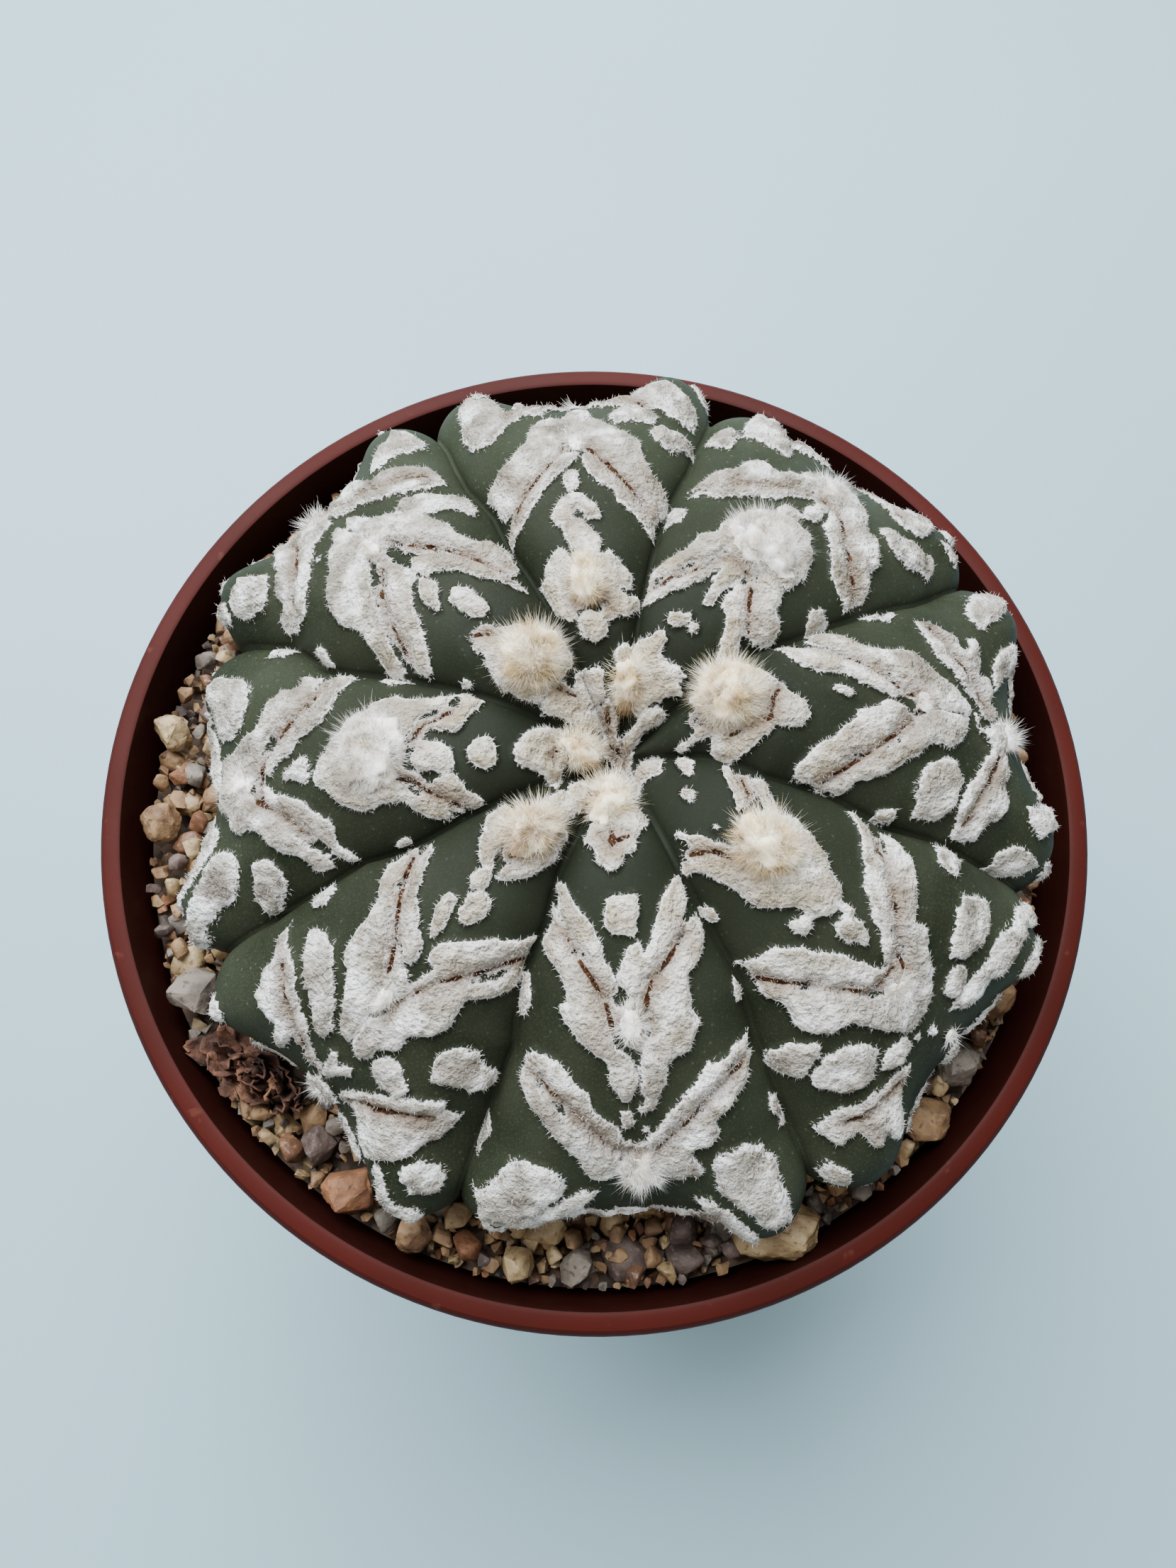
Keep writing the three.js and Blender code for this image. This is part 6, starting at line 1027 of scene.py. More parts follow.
      "10.8 33.0, 11.8 32.2, 12.2 34.0, 11.4 34.4", "3.8 38.2, 4.6 37.4, 5.2 38.2, 4.2 38.8",
      "8.8 43.6, 9.8 42.4, 11.8 43.0, 13.4 44.8, 14.0 46.8, 12.6 47.2, 10.4 45.9",
      "5.0 15.6, 5.9 17.4, 5.3 17.2",
      "-10.6 35.6, -8.6 34.9, -6.8 35.2, -5.6 36.4, -4.0 37.6, -2.4 39.2, -0.8 40.8, 0.0 42.0, -0.4 44.6,"
      " -2.4 45.6, -4.6 45.6, -5.2 43.6, -5.6 42.0, -7.4 41.0, -9.2 39.9, -10.6 39.6, -10.8 37.6",
      "0.6 41.0, 2.4 40.8, 4.0 39.6, 5.4 38.0, 7.4 36.8, 9.4 36.2, 11.4 37.2, 12.6 39.0, 12.2 41.2,"
      " 10.8 40.4, 9.8 42.0, 8.0 42.4, 7.2 44.2, 6.0 46.0, 3.6 46.4, 1.2 45.4, 0.4 43.0",
      "13.2 50.4, 13.0 48.4, 14.2 48.0, 14.6 49.8, 14.2 51.6",
      "-13.4 44.8, -11.6 43.6, -9.6 43.4, -7.8 42.8, -6.4 42.8, -6.0 43.8, -7.4 44.8, -9.4 46.2, -11.6 47.0,"
      " -13.6 47.0",
    ],
    "cleft": [
      "0.6 16.8, 1.6 18.0",
      "-5.3 21.4, -4.6 24.2, -3.2 27.0, -1.8 29.0, -1.3 31.6", "6.6 23.7, 4.9 26.4, 3.1 28.8, 0.9 30.1",
      "-9.6 37.0, -5.6 38.8, -2.6 41.6, -0.8 44.0", "9.6 38.4, 6.6 40.0, 5.0 42.4, 4.6 45.0",
    ],
    "wool": [[-0.2, 12.6, 2.9, 2.8, 2.4], [0.4, 32.6, 1.3, 2.2, 0.9], [1.4, 44.4, 1.7, 1.7, 1.2]],
  },
}

# Lower down, out of the photograph's sight, the plant repeats itself: one more areole with a chevron
# on each rib, and loose spots between.
NEXT_AREOLE = {"A": 47.5, "B": 49.0, "C": 54.0, "D": 55.5, "E": 55.0, "F": 57.5, "G": 54.0, "H": 56.0}
ARM_AT = (4.6, 3.2)
ARM_HALF = (1.5, 4.6)
ARM_TURN = 0.82
ARM_CLEFT = ((1.2, 0.4), (7.4, 5.6))
SPOT_TRIES = 60
SPOT_ACROSS = 15
SPOT_ALONG = (49.5, 62)
SPOT_SIZE = (1.0, 1.9)
SPOT_GAP = 1.5
SPOT_HALF = (0.8, 1.3)
SPOT_TURN = 0.6
LOW_WOOL = (0.8, 0.9, 0.5)
LOW_WOOL_GAP = 5
OVAL_CORNERS = 10
OVAL_UNEVEN = (0.85, 1.12)


def oval(across, along, half_across, half_along, turn, chance):
    """Corners of an uneven oval patch, turned on the rib."""
    points = []
    for i in range(OVAL_CORNERS):
        way = math.tau * i / OVAL_CORNERS
        x = half_across * math.cos(way) * chance.uniform(*OVAL_UNEVEN)
        y = half_along * math.sin(way) * chance.uniform(*OVAL_UNEVEN)
        points.append((
            across + x * math.cos(turn) - y * math.sin(turn),
            along + x * math.sin(turn) + y * math.cos(turn),
        ))
    return points


def read_points(text):
    """Corners from a text of pairs of millimetres."""
    return [tuple(float(v) for v in pair.split()) for pair in text.split(",")]


MARKINGS = {}
for rib, marks in PATTERN.items():
    chance = random.Random(ord(rib))
    flock = [read_points(text) for text in marks["flock"]]
    cleft = [read_points(text) for text in marks["cleft"]]
    at = NEXT_AREOLE[rib]
    for side in (-1, 1):
        flock.append(oval(side * ARM_AT[0], at - ARM_AT[1], *ARM_HALF, side * ARM_TURN, chance))
        cleft.append([(side * across, at - along) for across, along in ARM_CLEFT])
    for _ in range(SPOT_TRIES):
        w, s = chance.uniform(-SPOT_ACROSS, SPOT_ACROSS), chance.uniform(*SPOT_ALONG)
        size = chance.uniform(*SPOT_SIZE)
        if all(min(math.hypot(w - a, s - b) for a, b in patch) > size + SPOT_GAP for patch in flock):
            half_across, half_along = size * SPOT_HALF[0], size * SPOT_HALF[1]
            flock.append(oval(w, s, half_across, half_along, chance.uniform(-SPOT_TURN, SPOT_TURN), chance))
    wool = list(marks["wool"])
    if wool[-1][1] < at - LOW_WOOL_GAP:
        wool.append((0.0, at, *LOW_WOOL))
    MARKINGS[rib] = {"flock": flock, "cleft": cleft, "wool": wool}


# Round the crown the felt of all ribs runs together. Here places count from the middle of the crown
# as seen from above, in millimetres.
CROWN_REACH = 14.0
CROWN_FELT = (
    "-8.0 3.9, -6.2 4.5, -4.7 4.5, -3.0 4.0, -2.0 3.2, -1.9 2.1, -3.9 2.1, -6.1 2.5, -7.6 2.8",
    "-5.2 7.0, -3.3 7.7, -2.2 7.3, -2.1 5.0, -3.0 4.0, -4.3 4.6, -5.2 5.3",
    "-1.4 9.6, -0.3 10.0, 1.2 9.9, 2.4 10.8, 3.0 10.9, 3.3 10.3, 2.5 9.6, 4.3 8.4, 4.9 7.0, 5.6 5.6,"
    " 4.2 5.2, 2.6 5.3, 2.0 8.1, -0.2 8.3, -1.2 8.5",
    "-0.6 1.7, 0.6 2.7, 1.2 3.8, 2.3 4.5, 3.8 4.6, 4.0 4.1, 3.1 3.1, 1.9 2.3, 1.1 1.3, 0.4 0.7, -0.4 0.8",
    "-6.7 2.1, -5.6 1.9, -6.2 0.5, -7.1 -0.8, -6.4 -1.5, -5.3 -1.9, -5.2 -3.2, -5.8 -4.3, -7.2 -3.2,"
    " -8.7 -2.7, -9.8 -1.5, -9.5 0.0, -8.2 1.3",
    "-1.9 1.8, -0.9 1.1, 0.4 0.8, 1.2 0.0, 0.6 -1.4, -0.4 -1.6, -1.0 -0.5, -1.8 -0.1",
    "0.5 -2.4, 1.2 -1.4, 2.1 0.0, 3.3 0.5, 4.0 -0.1, 3.8 -1.7, 3.1 -2.6, 1.9 -3.2, 1.6 -4.4, 0.7 -3.4",
    "-4.7 -3.9, -3.8 -2.9, -2.8 -2.9, -3.1 -5.0, -3.6 -5.8, -4.7 -5.4",
)
CROWN_CLEFTS = (
    "-1.2 1.3, 0.2 0.3, 0.6 -1.0", "-6.3 0.1, -4.7 -0.7", "6.4 3.3, 7.9 2.3", "-0.6 -7.9, -0.3 -9.6",
    "-6.3 5.1, -4.8 4.8", "-1.6 4.2, -1.3 2.3",
)
CROWN = {
    "flock": [read_points(text) for text in CROWN_FELT],
    "cleft": [read_points(text) for text in CROWN_CLEFTS],
}

# Beyond this distance in millimetres an outline or a cleft has no effect on the skin.
FAR = 2.0


def distance_to_line(points, line, closed):
    """Distance of each point to a line of corners, and which points lie inside it."""
    ends = line[1:] + line[:1] if closed else line[1:]
    nearest = np.full(len(points), 1e9)
    inside = np.zeros(len(points), bool)
    for (ax, ay), (bx, by) in zip(line, ends):
        step = np.array((bx - ax, by - ay))
        gap = points - (ax, ay)
        t = np.clip(gap @ step / max(step @ step, 1e-9), 0, 1)
        nearest = np.minimum(nearest, np.hypot(gap[:, 0] - t * step[0], gap[:, 1] - t * step[1]))
        if by != ay:
            crosses = (ay > points[:, 1]) != (by > points[:, 1])
            inside ^= crosses & (points[:, 0] < (bx - ax) * (points[:, 1] - ay) / (by - ay) + ax)
    return nearest, inside


def mark(places, own, marks, inward, to_cleft):
    """Brings the felt depth and cleft distance up to date with some outlines and cleft lines."""
    for lines, closed in ((marks["flock"], True), (marks["cleft"], False)):
        for line in lines:
            corners = np.array(line)
            beyond_low = places[own] > corners.min(0) - FAR
            within_high = places[own] < corners.max(0) + FAR
            near = own[np.all(beyond_low & within_high, 1)]
            if not len(near):
                continue
            gap, inside = distance_to_line(places[near], line, closed)
            if closed:
                inward[near] = np.maximum(inward[near], np.where(inside, gap, -gap))
            else:
                to_cleft[near] = np.minimum(to_cleft[near], gap)


def read_markings(rib, u, s, points):
    """Depth inside the white felt, negative outside it, and distance to the nearest cleft, in mm."""
    places = np.stack([u * half_width(rib, s), s], -1)
    inward = np.full(len(s), -FAR)
    to_cleft = np.full(len(s), FAR)
    for number, name in enumerate(RIBS):
        mark(places, np.flatnonzero(rib == number), MARKINGS[name], inward, to_cleft)
    mark(points[:, :2] / MM - APEX_CENTRE, np.flatnonzero(s < CROWN_REACH), CROWN, inward, to_cleft)
    return inward, to_cleft


def noise_at(points, size_mm, seed):
    """Smooth noise from -1 to 1 at points in metres, with lumps of the given size."""
    shift = Vector((seed * 17.3, seed * -9.1, seed * 5.7))
    return np.array([noise.noise(Vector(p) + shift) for p in points / (size_mm * MM)])


def waves(points, kinds, seed=0):
    """Noises added up, each given by its depth, the size of its lumps in mm and its own seed."""
    return sum(depth * noise_at(points, size_mm, seed + own) for depth, size_mm, own in kinds)


# The skin is laid out as a disc of eight sectors, one for each rib, so the grooves run along its
# edges. The disc ends under the gravel, and a coarser one closes the underside and the taproot.
SKIN_ROWS = 148
SKIN_REACH = 61.0
UNDER_ROWS = 26
UNDER_GAP = 0.4
ROOT_START = 93.6
ROOT_NECK = 9.5
ROOT_TIP = 1.5
ROOT_HOLLOW = 1.3
ROOT_LENGTH = 43.0

# The felt: its thickness, the part that lines a cleft, and the waves of its torn edge, of its matted
# top and of the rind under it.
FLOCK_THICKNESS = 0.75
CLEFT_FELT = 0.8
CLEFT_FELT_DEPTH = 0.3
EDGE_WAVES = ((0.42, 1.9, 1), (0.26, 0.8, 2))
FELT_WAVES = ((0.26, 0.95, 3), (0.24, 2.4, 4))
RIND_WAVES = ((0.22, 9.0, 5),)

# A cleft is a narrow crease in a wide shallow one: depth and half width of both.
CREASES = ((0.5, 0.3), (0.3, 1.2))

# Next to a groove, all relief fades out over this width.
GROOVE_EDGE = 0.5


def sector_places(vertices):
    """Rib number, place across and fraction of the way out, of points of an eight-sided disc."""
    way = np.arctan2(vertices[:, 1], vertices[:, 0]) % math.tau
    rib = np.floor(way / (math.pi / 4) + 1e-6).astype(int) % 8
    first, second = rib * math.pi / 4, (rib + 1) * math.pi / 4
    wide = math.sin(math.pi / 4)
    a = (vertices[:, 0] * np.sin(second) - vertices[:, 1] * np.cos(second)) / wide
    b = (vertices[:, 1] * np.cos(first) - vertices[:, 0] * np.sin(first)) / wide
    out = a + b
    return rib, np.clip((b - a) / np.maximum(out, 1e-9), -1, 1), out


def disc(rows):
    """A flat disc of eight sectors, in so many rows from its middle to its edge."""
    shape = bmesh.new()
    bmesh.ops.create_circle(shape, cap_ends=True, cap_tris=True, radius=1.0, segments=8)
    bmesh.ops.subdivide_edges(shape, edges=shape.edges, cuts=rows - 1, use_grid_fill=True)
    return shape


def coordinates(shape):
    """The places of all vertices as an array."""
    return np.array([vert.co for vert in shape.verts])


def place_vertices(shape, points):
    """Moves all vertices to the places given."""
    for vert, point in zip(shape.verts, points):
        vert.co = point


def skin_relief(rib, u, s):
    """Lift of the skin by its felt and clefts, and the felt depth and cleft distance it came from."""
    flat = plant_point(rib, u, s, np.zeros(len(s)))
    inward, to_cleft = read_markings(rib, u, s, flat)
    inward = np.maximum(inward, np.minimum(CLEFT_FELT_DEPTH, CLEFT_FELT - to_cleft))
    inward = inward + waves(flat, EDGE_WAVES)
    felt = smooth(-0.1, 0.4, inward) * (FLOCK_THICKNESS + waves(flat, FELT_WAVES))
    crease = sum(depth * np.exp(-(to_cleft / half) ** 2) for depth, half in CREASES)
    edge = np.clip((1 - np.abs(u)) * half_width(rib, s) / GROOVE_EDGE, 0, 1)
    return (felt - crease) * edge + waves(flat, RIND_WAVES) * edge, inward, to_cleft


skin = disc(SKIN_ROWS)
rib, u, out = sector_places(coordinates(skin))
s = out * SKIN_REACH
lift, inward, to_cleft = skin_relief(rib, u, s)
place_vertices(skin, plant_point(rib, u, s, lift))
count = len(skin.verts)

under = disc(UNDER_ROWS)
under_rib, under_u, under_out = sector_places(coordinates(under))
under_s = MERIDIAN_LENGTH - under_out * (MERIDIAN_LENGTH - SKIN_REACH - UNDER_GAP)
points = plant_point(under_rib, under_u, np.minimum(under_s, ROOT_START), np.zeros(len(under_s)))
down = np.clip((under_s - ROOT_START) / (MERIDIAN_LENGTH - ROOT_START), 0, 1)
centre = np.array((*PLANT_CENTRE, 0)) * MM
taper = (ROOT_TIP + (ROOT_NECK - ROOT_TIP) * (1 - down) ** ROOT_HOLLOW) / ROOT_NECK
taper = np.where(down > 0.999, 0.0, taper)
points[:, :2] = centre[:2] + (points[:, :2] - centre[:2]) * taper[:, None]
points[:, 2] -= down * ROOT_LENGTH * MM
place_vertices(under, points)
bmesh.ops.reverse_faces(under, faces=under.faces)
data = bpy.data.meshes.new("underside")
under.to_mesh(data)
under.free()
skin.from_mesh(data)
bpy.data.meshes.remove(data)
bmesh.ops.bridge_loops(skin, edges=[edge for edge in skin.edges if edge.is_boundary])
bmesh.ops.recalc_face_normals(skin, faces=skin.faces)

# The skin is a hard, dark green rind under a thin dull bloom, with pinhead specks. The white felt on
# it is matted hair: whitest at its torn edges, greyer and browner where it is old, and parted by
# rust-brown dead hair along the clefts. The crown's middle is shaded and its felt is warmer.
CROWN_AT = (0.0017, 0.0002, 0.1055)

felted_rind, tree, shader, place = new_material("cactus_rind_with_white_felt")
felt_depth = add(tree, "ShaderNodeAttribute", attribute_name="felt_depth").outputs["Fac"]
cleft_gap = add(tree, "ShaderNodeAttribute", attribute_name="cleft_gap").outputs["Fac"]
hairs = clouds(tree, place, 2600.0, 4.0)
torn = arithmetic(tree, "ADD", felt_depth, between(tree, hairs, 0.3, 0.7, -0.14, 0.14))
white = between(tree, torn, -0.02, 0.07)

# The rind: dark green in clouds, then bloom, pinhead specks, dust, and shade toward the crown.
green = ramp(tree, clouds(tree, place, 170.0, 4.0), (0.34, "#1f2317"), (0.66, "#2d3024"))
bloom_cloud = between(tree, clouds(tree, place, 45.0, 3.0), 0.4, 0.68, 0.0, 0.5)
green = blend(tree, bloom_cloud, green, "#3b4032")
specks = add(tree, "ShaderNodeTexVoronoi", {"Vector": place, "Scale": 900.0, "Randomness": 1.0})
green = blend(tree, between(tree, specks.outputs["Distance"], 0.15, 0.08, 0.0, 0.2), green, "#727a68")
dust = between(tree, clouds(tree, place, 5200.0, 2.0), 0.5, 0.75, 0.0, 0.3)
green = blend(tree, dust, green, "#4e5544")
to_crown = add(tree, "ShaderNodeVectorMath", {0: place, 1: CROWN_AT}, operation="DISTANCE").outputs["Value"]
green = blend(tree, between(tree, to_crown, 0.042, 0.012, 0.0, 0.8), green, "#11140d")

# The felt: white to grey in patches, warm at the crown, worn and matted, bleached at its torn edges
# and brown toward the clefts.
matted = clouds(tree, place, 1500.0, 6.0)
felt = ramp(tree, clouds(tree, place, 330.0, 5.0), (0.35, "#7c756b"), (0.49, "#bdb7ac"), (0.6, "#fffefb"))
felt = blend(tree, between(tree, to_crown, 0.034, 0.014, 0.0, 0.5), felt, "#cbb894")
worn = between(tree, clouds(tree, place, 160.0, 3.0), 0.46, 0.62, 0.0, 0.6)
felt = blend(tree, worn, felt, "#a49b8f")
felt = blend(tree, between(tree, matted, 0.5, 0.38, 0.0, 0.3), felt, "#7b746a")
fine = clouds(tree, place, 3600.0, 4.0)
felt = blend(tree, between(tree, fine, 0.48, 0.36, 0.0, 0.28), felt, "#787065")
felt = blend(tree, between(tree, torn, 0.34, 0.06, 0.0, 0.85), felt, "#fffefb")
felt = blend(tree, between(tree, cleft_gap, 1.5, 0.2, 0.0, 0.75), felt, "#7c6a5a")
skin_tone = blend(tree, white, green, felt)

# Dead hair lies in broken lines along the clefts.
rust_break = between(tree, clouds(tree, place, 520.0, 4.0), 0.34, 0.6, -0.04, 0.26)
rust = between(tree, arithmetic(tree, "SUBTRACT", cleft_gap, rust_break), 0.05, -0.05)
skin_tone = blend(tree, rust, skin_tone, ramp(tree, hairs, (0.35, "#26150f"), (0.65, "#533623")))
tree.links.new(skin_tone, shader.inputs["Base Color"])
tree.links.new(between(tree, white, 0.0, 1.0, 0.58, 1.0), shader.inputs["Roughness"])
shader.inputs["Specular IOR Level"].default_value = 0.06
mat = arithmetic(tree, "ADD", matted, arithmetic(tree, "MULTIPLY", fine, 0.4))
relief(tree, shader, arithmetic(tree, "MULTIPLY", mat, white), 1.0, 0.0011)

plant = to_piece(skin, "cactus_body", felted_rind)
data = plant.data
for name, values in (("felt_depth", inward), ("cleft_gap", to_cleft)):
    layer = data.attributes.new(name, "FLOAT", "POINT")
    every = np.full(len(data.vertices), -FAR if name == "felt_depth" else FAR, np.float32)
    every[:count] = values
    layer.data.foreach_set("value", every)
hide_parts("cactus")
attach(plant, "root")


# Wool
# Each areole grows a tuft of wool. The youngest, round the crown, are cream and packed like cotton;
# older ones are white and worn. Each is a lumpy mound with hairs standing out of it.
MOUND_SHARE = 0.88
MOUND_UNDERSIDE = 0.5
MOUND_WAVES = ((0.26, 1.4, 1), (0.15, 0.6, 9), (0.22, 2.6, 17))

# Hairs root inside the mound and grow outward, strayed at random and pulled together in clumps.
ROOT_SHARE = 0.8
HAIR_OUTWARD = 0.9
HAIR_STRAY = 0.38
HAIR_BEND = 0.28
HAIR_HALF_THICKNESS = 0.02
CLUMP_SIZE = 0.8
CLUMP_PULL = 1.3

# The mound takes this share of an areole's width, length and height. Its hairs make up the rest.
YOUNG_SHARE = (0.98, 0.94, 0.8)
AGED_SHARE = (0.86, 0.86, 0.62)


def wool_material(name, light, shade, stain):
    """Wool with shaded hollows and stained patches, and a soft sheen at its edge."""
    made, tree, shader, place = new_material(name)
    lump = ramp(tree, clouds(tree, place, 600.0, 5.0), (0.4, shade), (0.58, light))
    patch = ramp(tree, clouds(tree, place, 180.0, 2.0), (0.5, 0.0), (0.66, 0.8))
    tree.links.new(blend(tree, patch, lump, stain), shader.inputs["Base Color"])
    shader.inputs["Roughness"].default_value = 1.0
    shader.inputs["Sheen Weight"].default_value = 0.35
    shader.inputs["Sheen Roughness"].default_value = 0.6
    return made


# Young wool is warm cream with tan hollows.
cream_wool = wool_material("cream_young_wool", light="#fff4da", shade="#d6bb88", stain="#a67f4c")

# Old wool is bleached white, with grey hollows.
white_wool = wool_material("white_old_wool", light="#fffdf8", shade="#cbc2b4", stain="#a4917b")


def one_hair():
    """A three-sided hair one unit long, as an array of places and one of triangles."""
    hair = bmesh.new()
    bmesh.ops.create_cone(
        hair, cap_ends=True, segments=3, radius1=1.0, radius2=0.0, depth=1.0,
        matrix=Matrix.Translation((0, 0, 0.5)),
    )
    bmesh.ops.remove_doubles(hair, verts=hair.verts, dist=1e-4)
    bmesh.ops.triangulate(hair, faces=hair.faces)
    bmesh.ops.recalc_face_normals(hair, faces=hair.faces)
    hair.verts.index_update()
    places = coordinates(hair)
    faces = np.array([[vert.index for vert in face.verts] for face in hair.faces])
    hair.free()
    return places, faces


HAIR_PLACES, HAIR_FACES = one_hair()


def grow_hairs(name, material, roots, ways, lengths, thickness, bends, body=None):
    """One mesh of many hairs from their roots, directions, lengths, half thickness and bends."""
    ways = ways / np.linalg.norm(ways, axis=1)[:, None]
    helper = np.where(np.abs(ways[:, 2:]) < 0.9, (0, 0, 1), (1, 0, 0))
    side = np.cross(ways, helper)
    side /= np.linalg.norm(side, axis=1)[:, None]
    other = np.cross(ways, side)
    x, y, z = HAIR_PLACES.T
    long = lengths[:, None, None]
    points = (
        roots[:, None]
        + ways[:, None] * z[:, None] * long
        + (side[:, None] * x[:, None] + other[:, None] * y[:, None]) * thickness
        + bends[:, None] * z[:, None] ** 2 * long
    ).reshape(-1, 3)
    first = np.arange(len(roots))[:, None, None] * len(HAIR_PLACES)
    index = (HAIR_FACES[None] + first).reshape(-1, 3)
    data = bpy.data.meshes.new(name)
    data.vertices.add(len(points))
    data.vertices.foreach_set("co", points.ravel())
    data.loops.add(index.size)
    data.loops.foreach_set("vertex_index", index.ravel())
    data.polygons.add(len(index))
    data.polygons.foreach_set("loop_start", np.arange(0, index.size, 3))
    data.update(calc_edges=True)
    if body:
        joined = bmesh.new()
        joined.from_mesh(data)
        joined.from_mesh(body)
        joined.to_mesh(data)
        joined.free()
        bpy.data.meshes.remove(body)
    data.materials.append(material)
    data.shade_smooth()
    made = bpy.data.objects.new(name, data)
    bpy.context.scene.collection.objects.link(made)
    return made


def one_point(rib, across, along, lift=0.0):
    """One point of the skin, from a rib's letter and millimetres across and along it."""
    number = np.array([RIBS.index(rib)])
    s = np.array([along], float)
    u = np.clip(across / half_width(number, s), -1, 1)
    return plant_point(number, u, s, np.array([lift], float))[0]


def tuft_frame(rib, across, along):
    """The middle of an areole, and its directions across, down the rib and out."""
    middle = one_point(rib, across, along, 0.2)
    down = one_point(rib, across, along + 0.6) - one_point(rib, across, along - 0.6)
    side = one_point(rib, across + 0.6, along) - one_point(rib, across - 0.6, along)
    down /= np.linalg.norm(down)
    out = np.cross(side, down)
    out /= np.linalg.norm(out)
    if out[2] < -0.3:
        out = -out
    side = np.cross(down, out)
    return middle, side, down, out


rng = np.random.default_rng(21)


def grow_tufts(name, material, tufts, lumpy, hairs_per_mm2, hair_mm):
    """Mounds of wool at the areoles given, with hairs over all of them."""
    mounds = bmesh.new()
    roots, ways, lengths, bends = [], [], [], []
    for seed, (rib, (across, along, half_across, half_along, height)) in enumerate(tufts):
        middle, side, down, out = tuft_frame(rib, across, along)
        axes = np.array((side * half_across, down * half_along, out * height)) * MM
        mound = bmesh.new()
        bmesh.ops.create_icosphere(mound, subdivisions=4, radius=1.0)
        unit = coordinates(mound)
        size = (half_across + half_along) / 2
        lumps = MOUND_SHARE + lumpy * waves(unit * size * MM, MOUND_WAVES, seed)
        squat = np.where(unit[:, 2:] < 0, (1, 1, MOUND_UNDERSIDE), (1, 1, 1))
        place_vertices(mound, middle + (unit * lumps[:, None] * squat) @ axes)
        data = bpy.data.meshes.new("mound")
        mound.to_mesh(data)
        mound.free()
        mounds.from_mesh(data)
        bpy.data.meshes.remove(data)
        number = int(hairs_per_mm2 * half_across * half_along * (1 + height / 2))
        sway = rng.normal(size=(number, 3))
        sway[:, 2] = np.abs(sway[:, 2]) - 0.15
        sway /= np.linalg.norm(sway, axis=1)[:, None]
        root = middle + (sway * ROOT_SHARE) @ axes
        outward = sway @ np.array((side, down, out)) * HAIR_OUTWARD
        way = outward + rng.normal(size=(number, 3)) * HAIR_STRAY
        clump = np.stack([noise_at(root, CLUMP_SIZE, seed + k) for k in (2, 3, 4)], -1)
        roots.append(root)
        ways.append(way + clump * CLUMP_PULL)
        lengths.append(rng.uniform(*hair_mm, number) * MM * (0.75 + height / 6))
        bends.append(rng.normal(size=(number, 3)) * HAIR_BEND)
    data = bpy.data.meshes.new("mounds")
    mounds.to_mesh(data)
    mounds.free()
    made = grow_hairs(
        name, material, np.concatenate(roots), np.concatenate(ways), np.concatenate(lengths),
        HAIR_HALF_THICKNESS * MM, np.concatenate(bends), body=data,
    )
    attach(made, "root")


young, aged = [], []
for rib in sorted(MARKINGS):
    for k, (across, along, *size) in enumerate(MARKINGS[rib]["wool"]):
        tufts, share = (aged, AGED_SHARE) if k else (young, YOUNG_SHARE)
        tufts.append((rib, (across, along, *(full * part for full, part in zip(size, share)))))
grow_tufts("young_wool", cream_wool, young, lumpy=1.3, hairs_per_mm2=300, hair_mm=(0.6, 2.0))
grow_tufts("old_wool", white_wool, aged, lumpy=1.0, hairs_per_mm2=170, hair_mm=(0.6, 1.9))


# Felt hairs
# Short hairs stand out of the white felt, thickest along its torn edges, where they lean over the
# green rind and soften the outline.
FELT_HAIRS = 48000

# Length, half thickness and how deep a hair is sunk are in millimetres, and the bend is a share of
# its length. The other three weigh the parts of its direction against one another.
FELT_HAIR_LENGTHS = (0.24, 0.62)
FELT_HAIR_HALF_THICKNESS = 0.021
FELT_HAIR_BEND = 0.1
FELT_HAIR_STRAY = 0.42
FELT_HAIR_UPRIGHT = 0.65
FELT_HAIR_LEAN = 0.9
FELT_HAIR_SUNK = 0.05

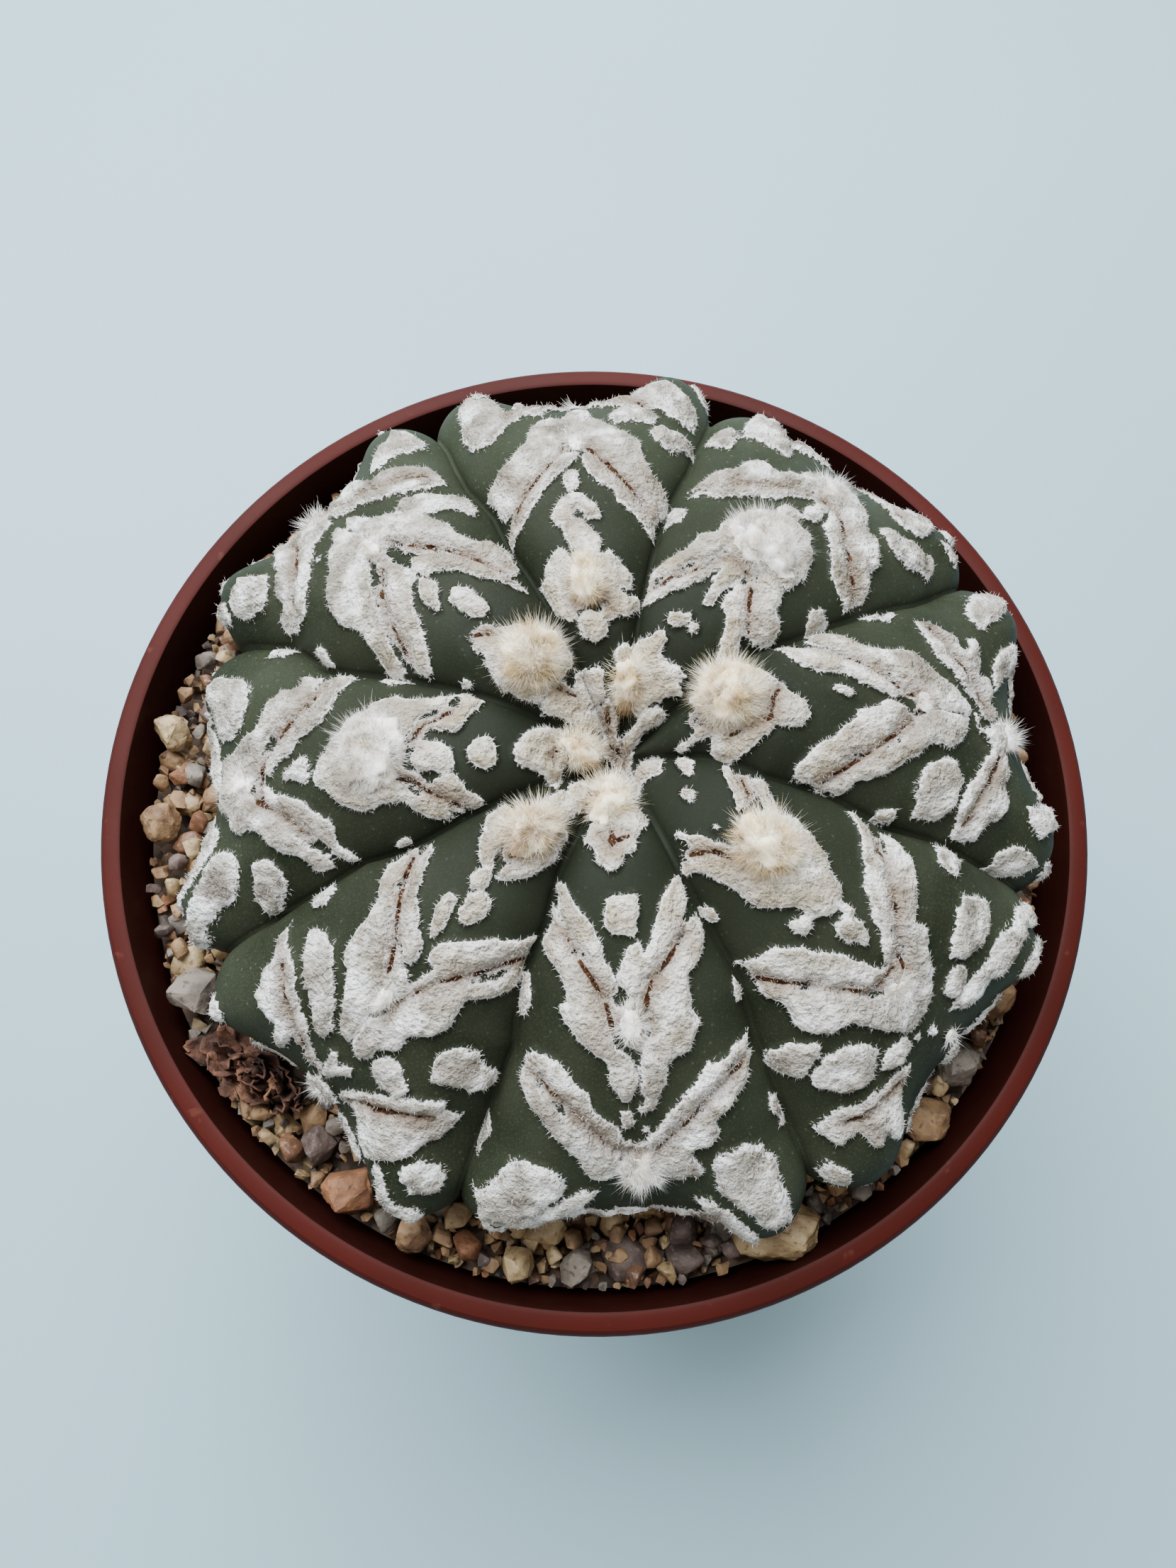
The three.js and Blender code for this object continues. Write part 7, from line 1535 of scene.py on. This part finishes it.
# Near the torn edge there are so many times more hairs, and they lean over it. Both fade within
# these depths of the felt, in millimetres.
EDGE_CROWDING = 5.0
CROWDING_DEPTH = 0.3
LEAN_DEPTH = 0.35

# Hair of the felt is off-white and hardly stained, so that it bleaches the edge it stands on.
felt_hair = wool_material("matted_felt_hair", light="#f8f6f1", shade="#ddd6cb", stain="#b8aa9b")

faces = np.array([face.vertices[:] for face in plant.data.polygons if max(face.vertices) < count])
corners = np.array([vert.co for vert in plant.data.vertices])[faces]
depths = inward[faces]
first, second = corners[:, 1] - corners[:, 0], corners[:, 2] - corners[:, 0]
normal = np.cross(first, second)
area = np.linalg.norm(normal, axis=1)
middle_depth = depths.mean(1)
crowding = 1.0 + EDGE_CROWDING * np.exp(-(middle_depth / CROWDING_DEPTH) ** 2)
weight = area * np.where(middle_depth > 0.0, crowding, 0.0)
picked = rng.choice(len(faces), FELT_HAIRS, p=weight / weight.sum())
mix = rng.dirichlet((1, 1, 1), FELT_HAIRS)
roots = (corners[picked] * mix[:, :, None]).sum(1)
across = np.cross(second, normal)
slope = (
    (depths[:, 1] - depths[:, 0])[:, None] * across
    - (depths[:, 2] - depths[:, 0])[:, None] * np.cross(first, normal)
) / (np.sum(first * across, 1)[:, None] + 1e-30)
slope /= np.linalg.norm(slope, axis=1)[:, None] + 1e-30
near_edge = np.exp(-(middle_depth[picked] / LEAN_DEPTH) ** 2)[:, None]
upright = (normal / area[:, None])[picked]
ways = upright * FELT_HAIR_UPRIGHT - slope[picked] * near_edge * FELT_HAIR_LEAN
ways = ways + rng.normal(size=(FELT_HAIRS, 3)) * FELT_HAIR_STRAY
lengths = rng.uniform(*FELT_HAIR_LENGTHS, FELT_HAIRS) * MM
bends = rng.normal(size=(FELT_HAIRS, 3)) * FELT_HAIR_BEND
roots = roots - upright * FELT_HAIR_SUNK * MM
fuzz = grow_hairs(
    "felt_hairs", felt_hair, roots, ways, lengths, FELT_HAIR_HALF_THICKNESS * MM, bends,
)
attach(fuzz, "root")
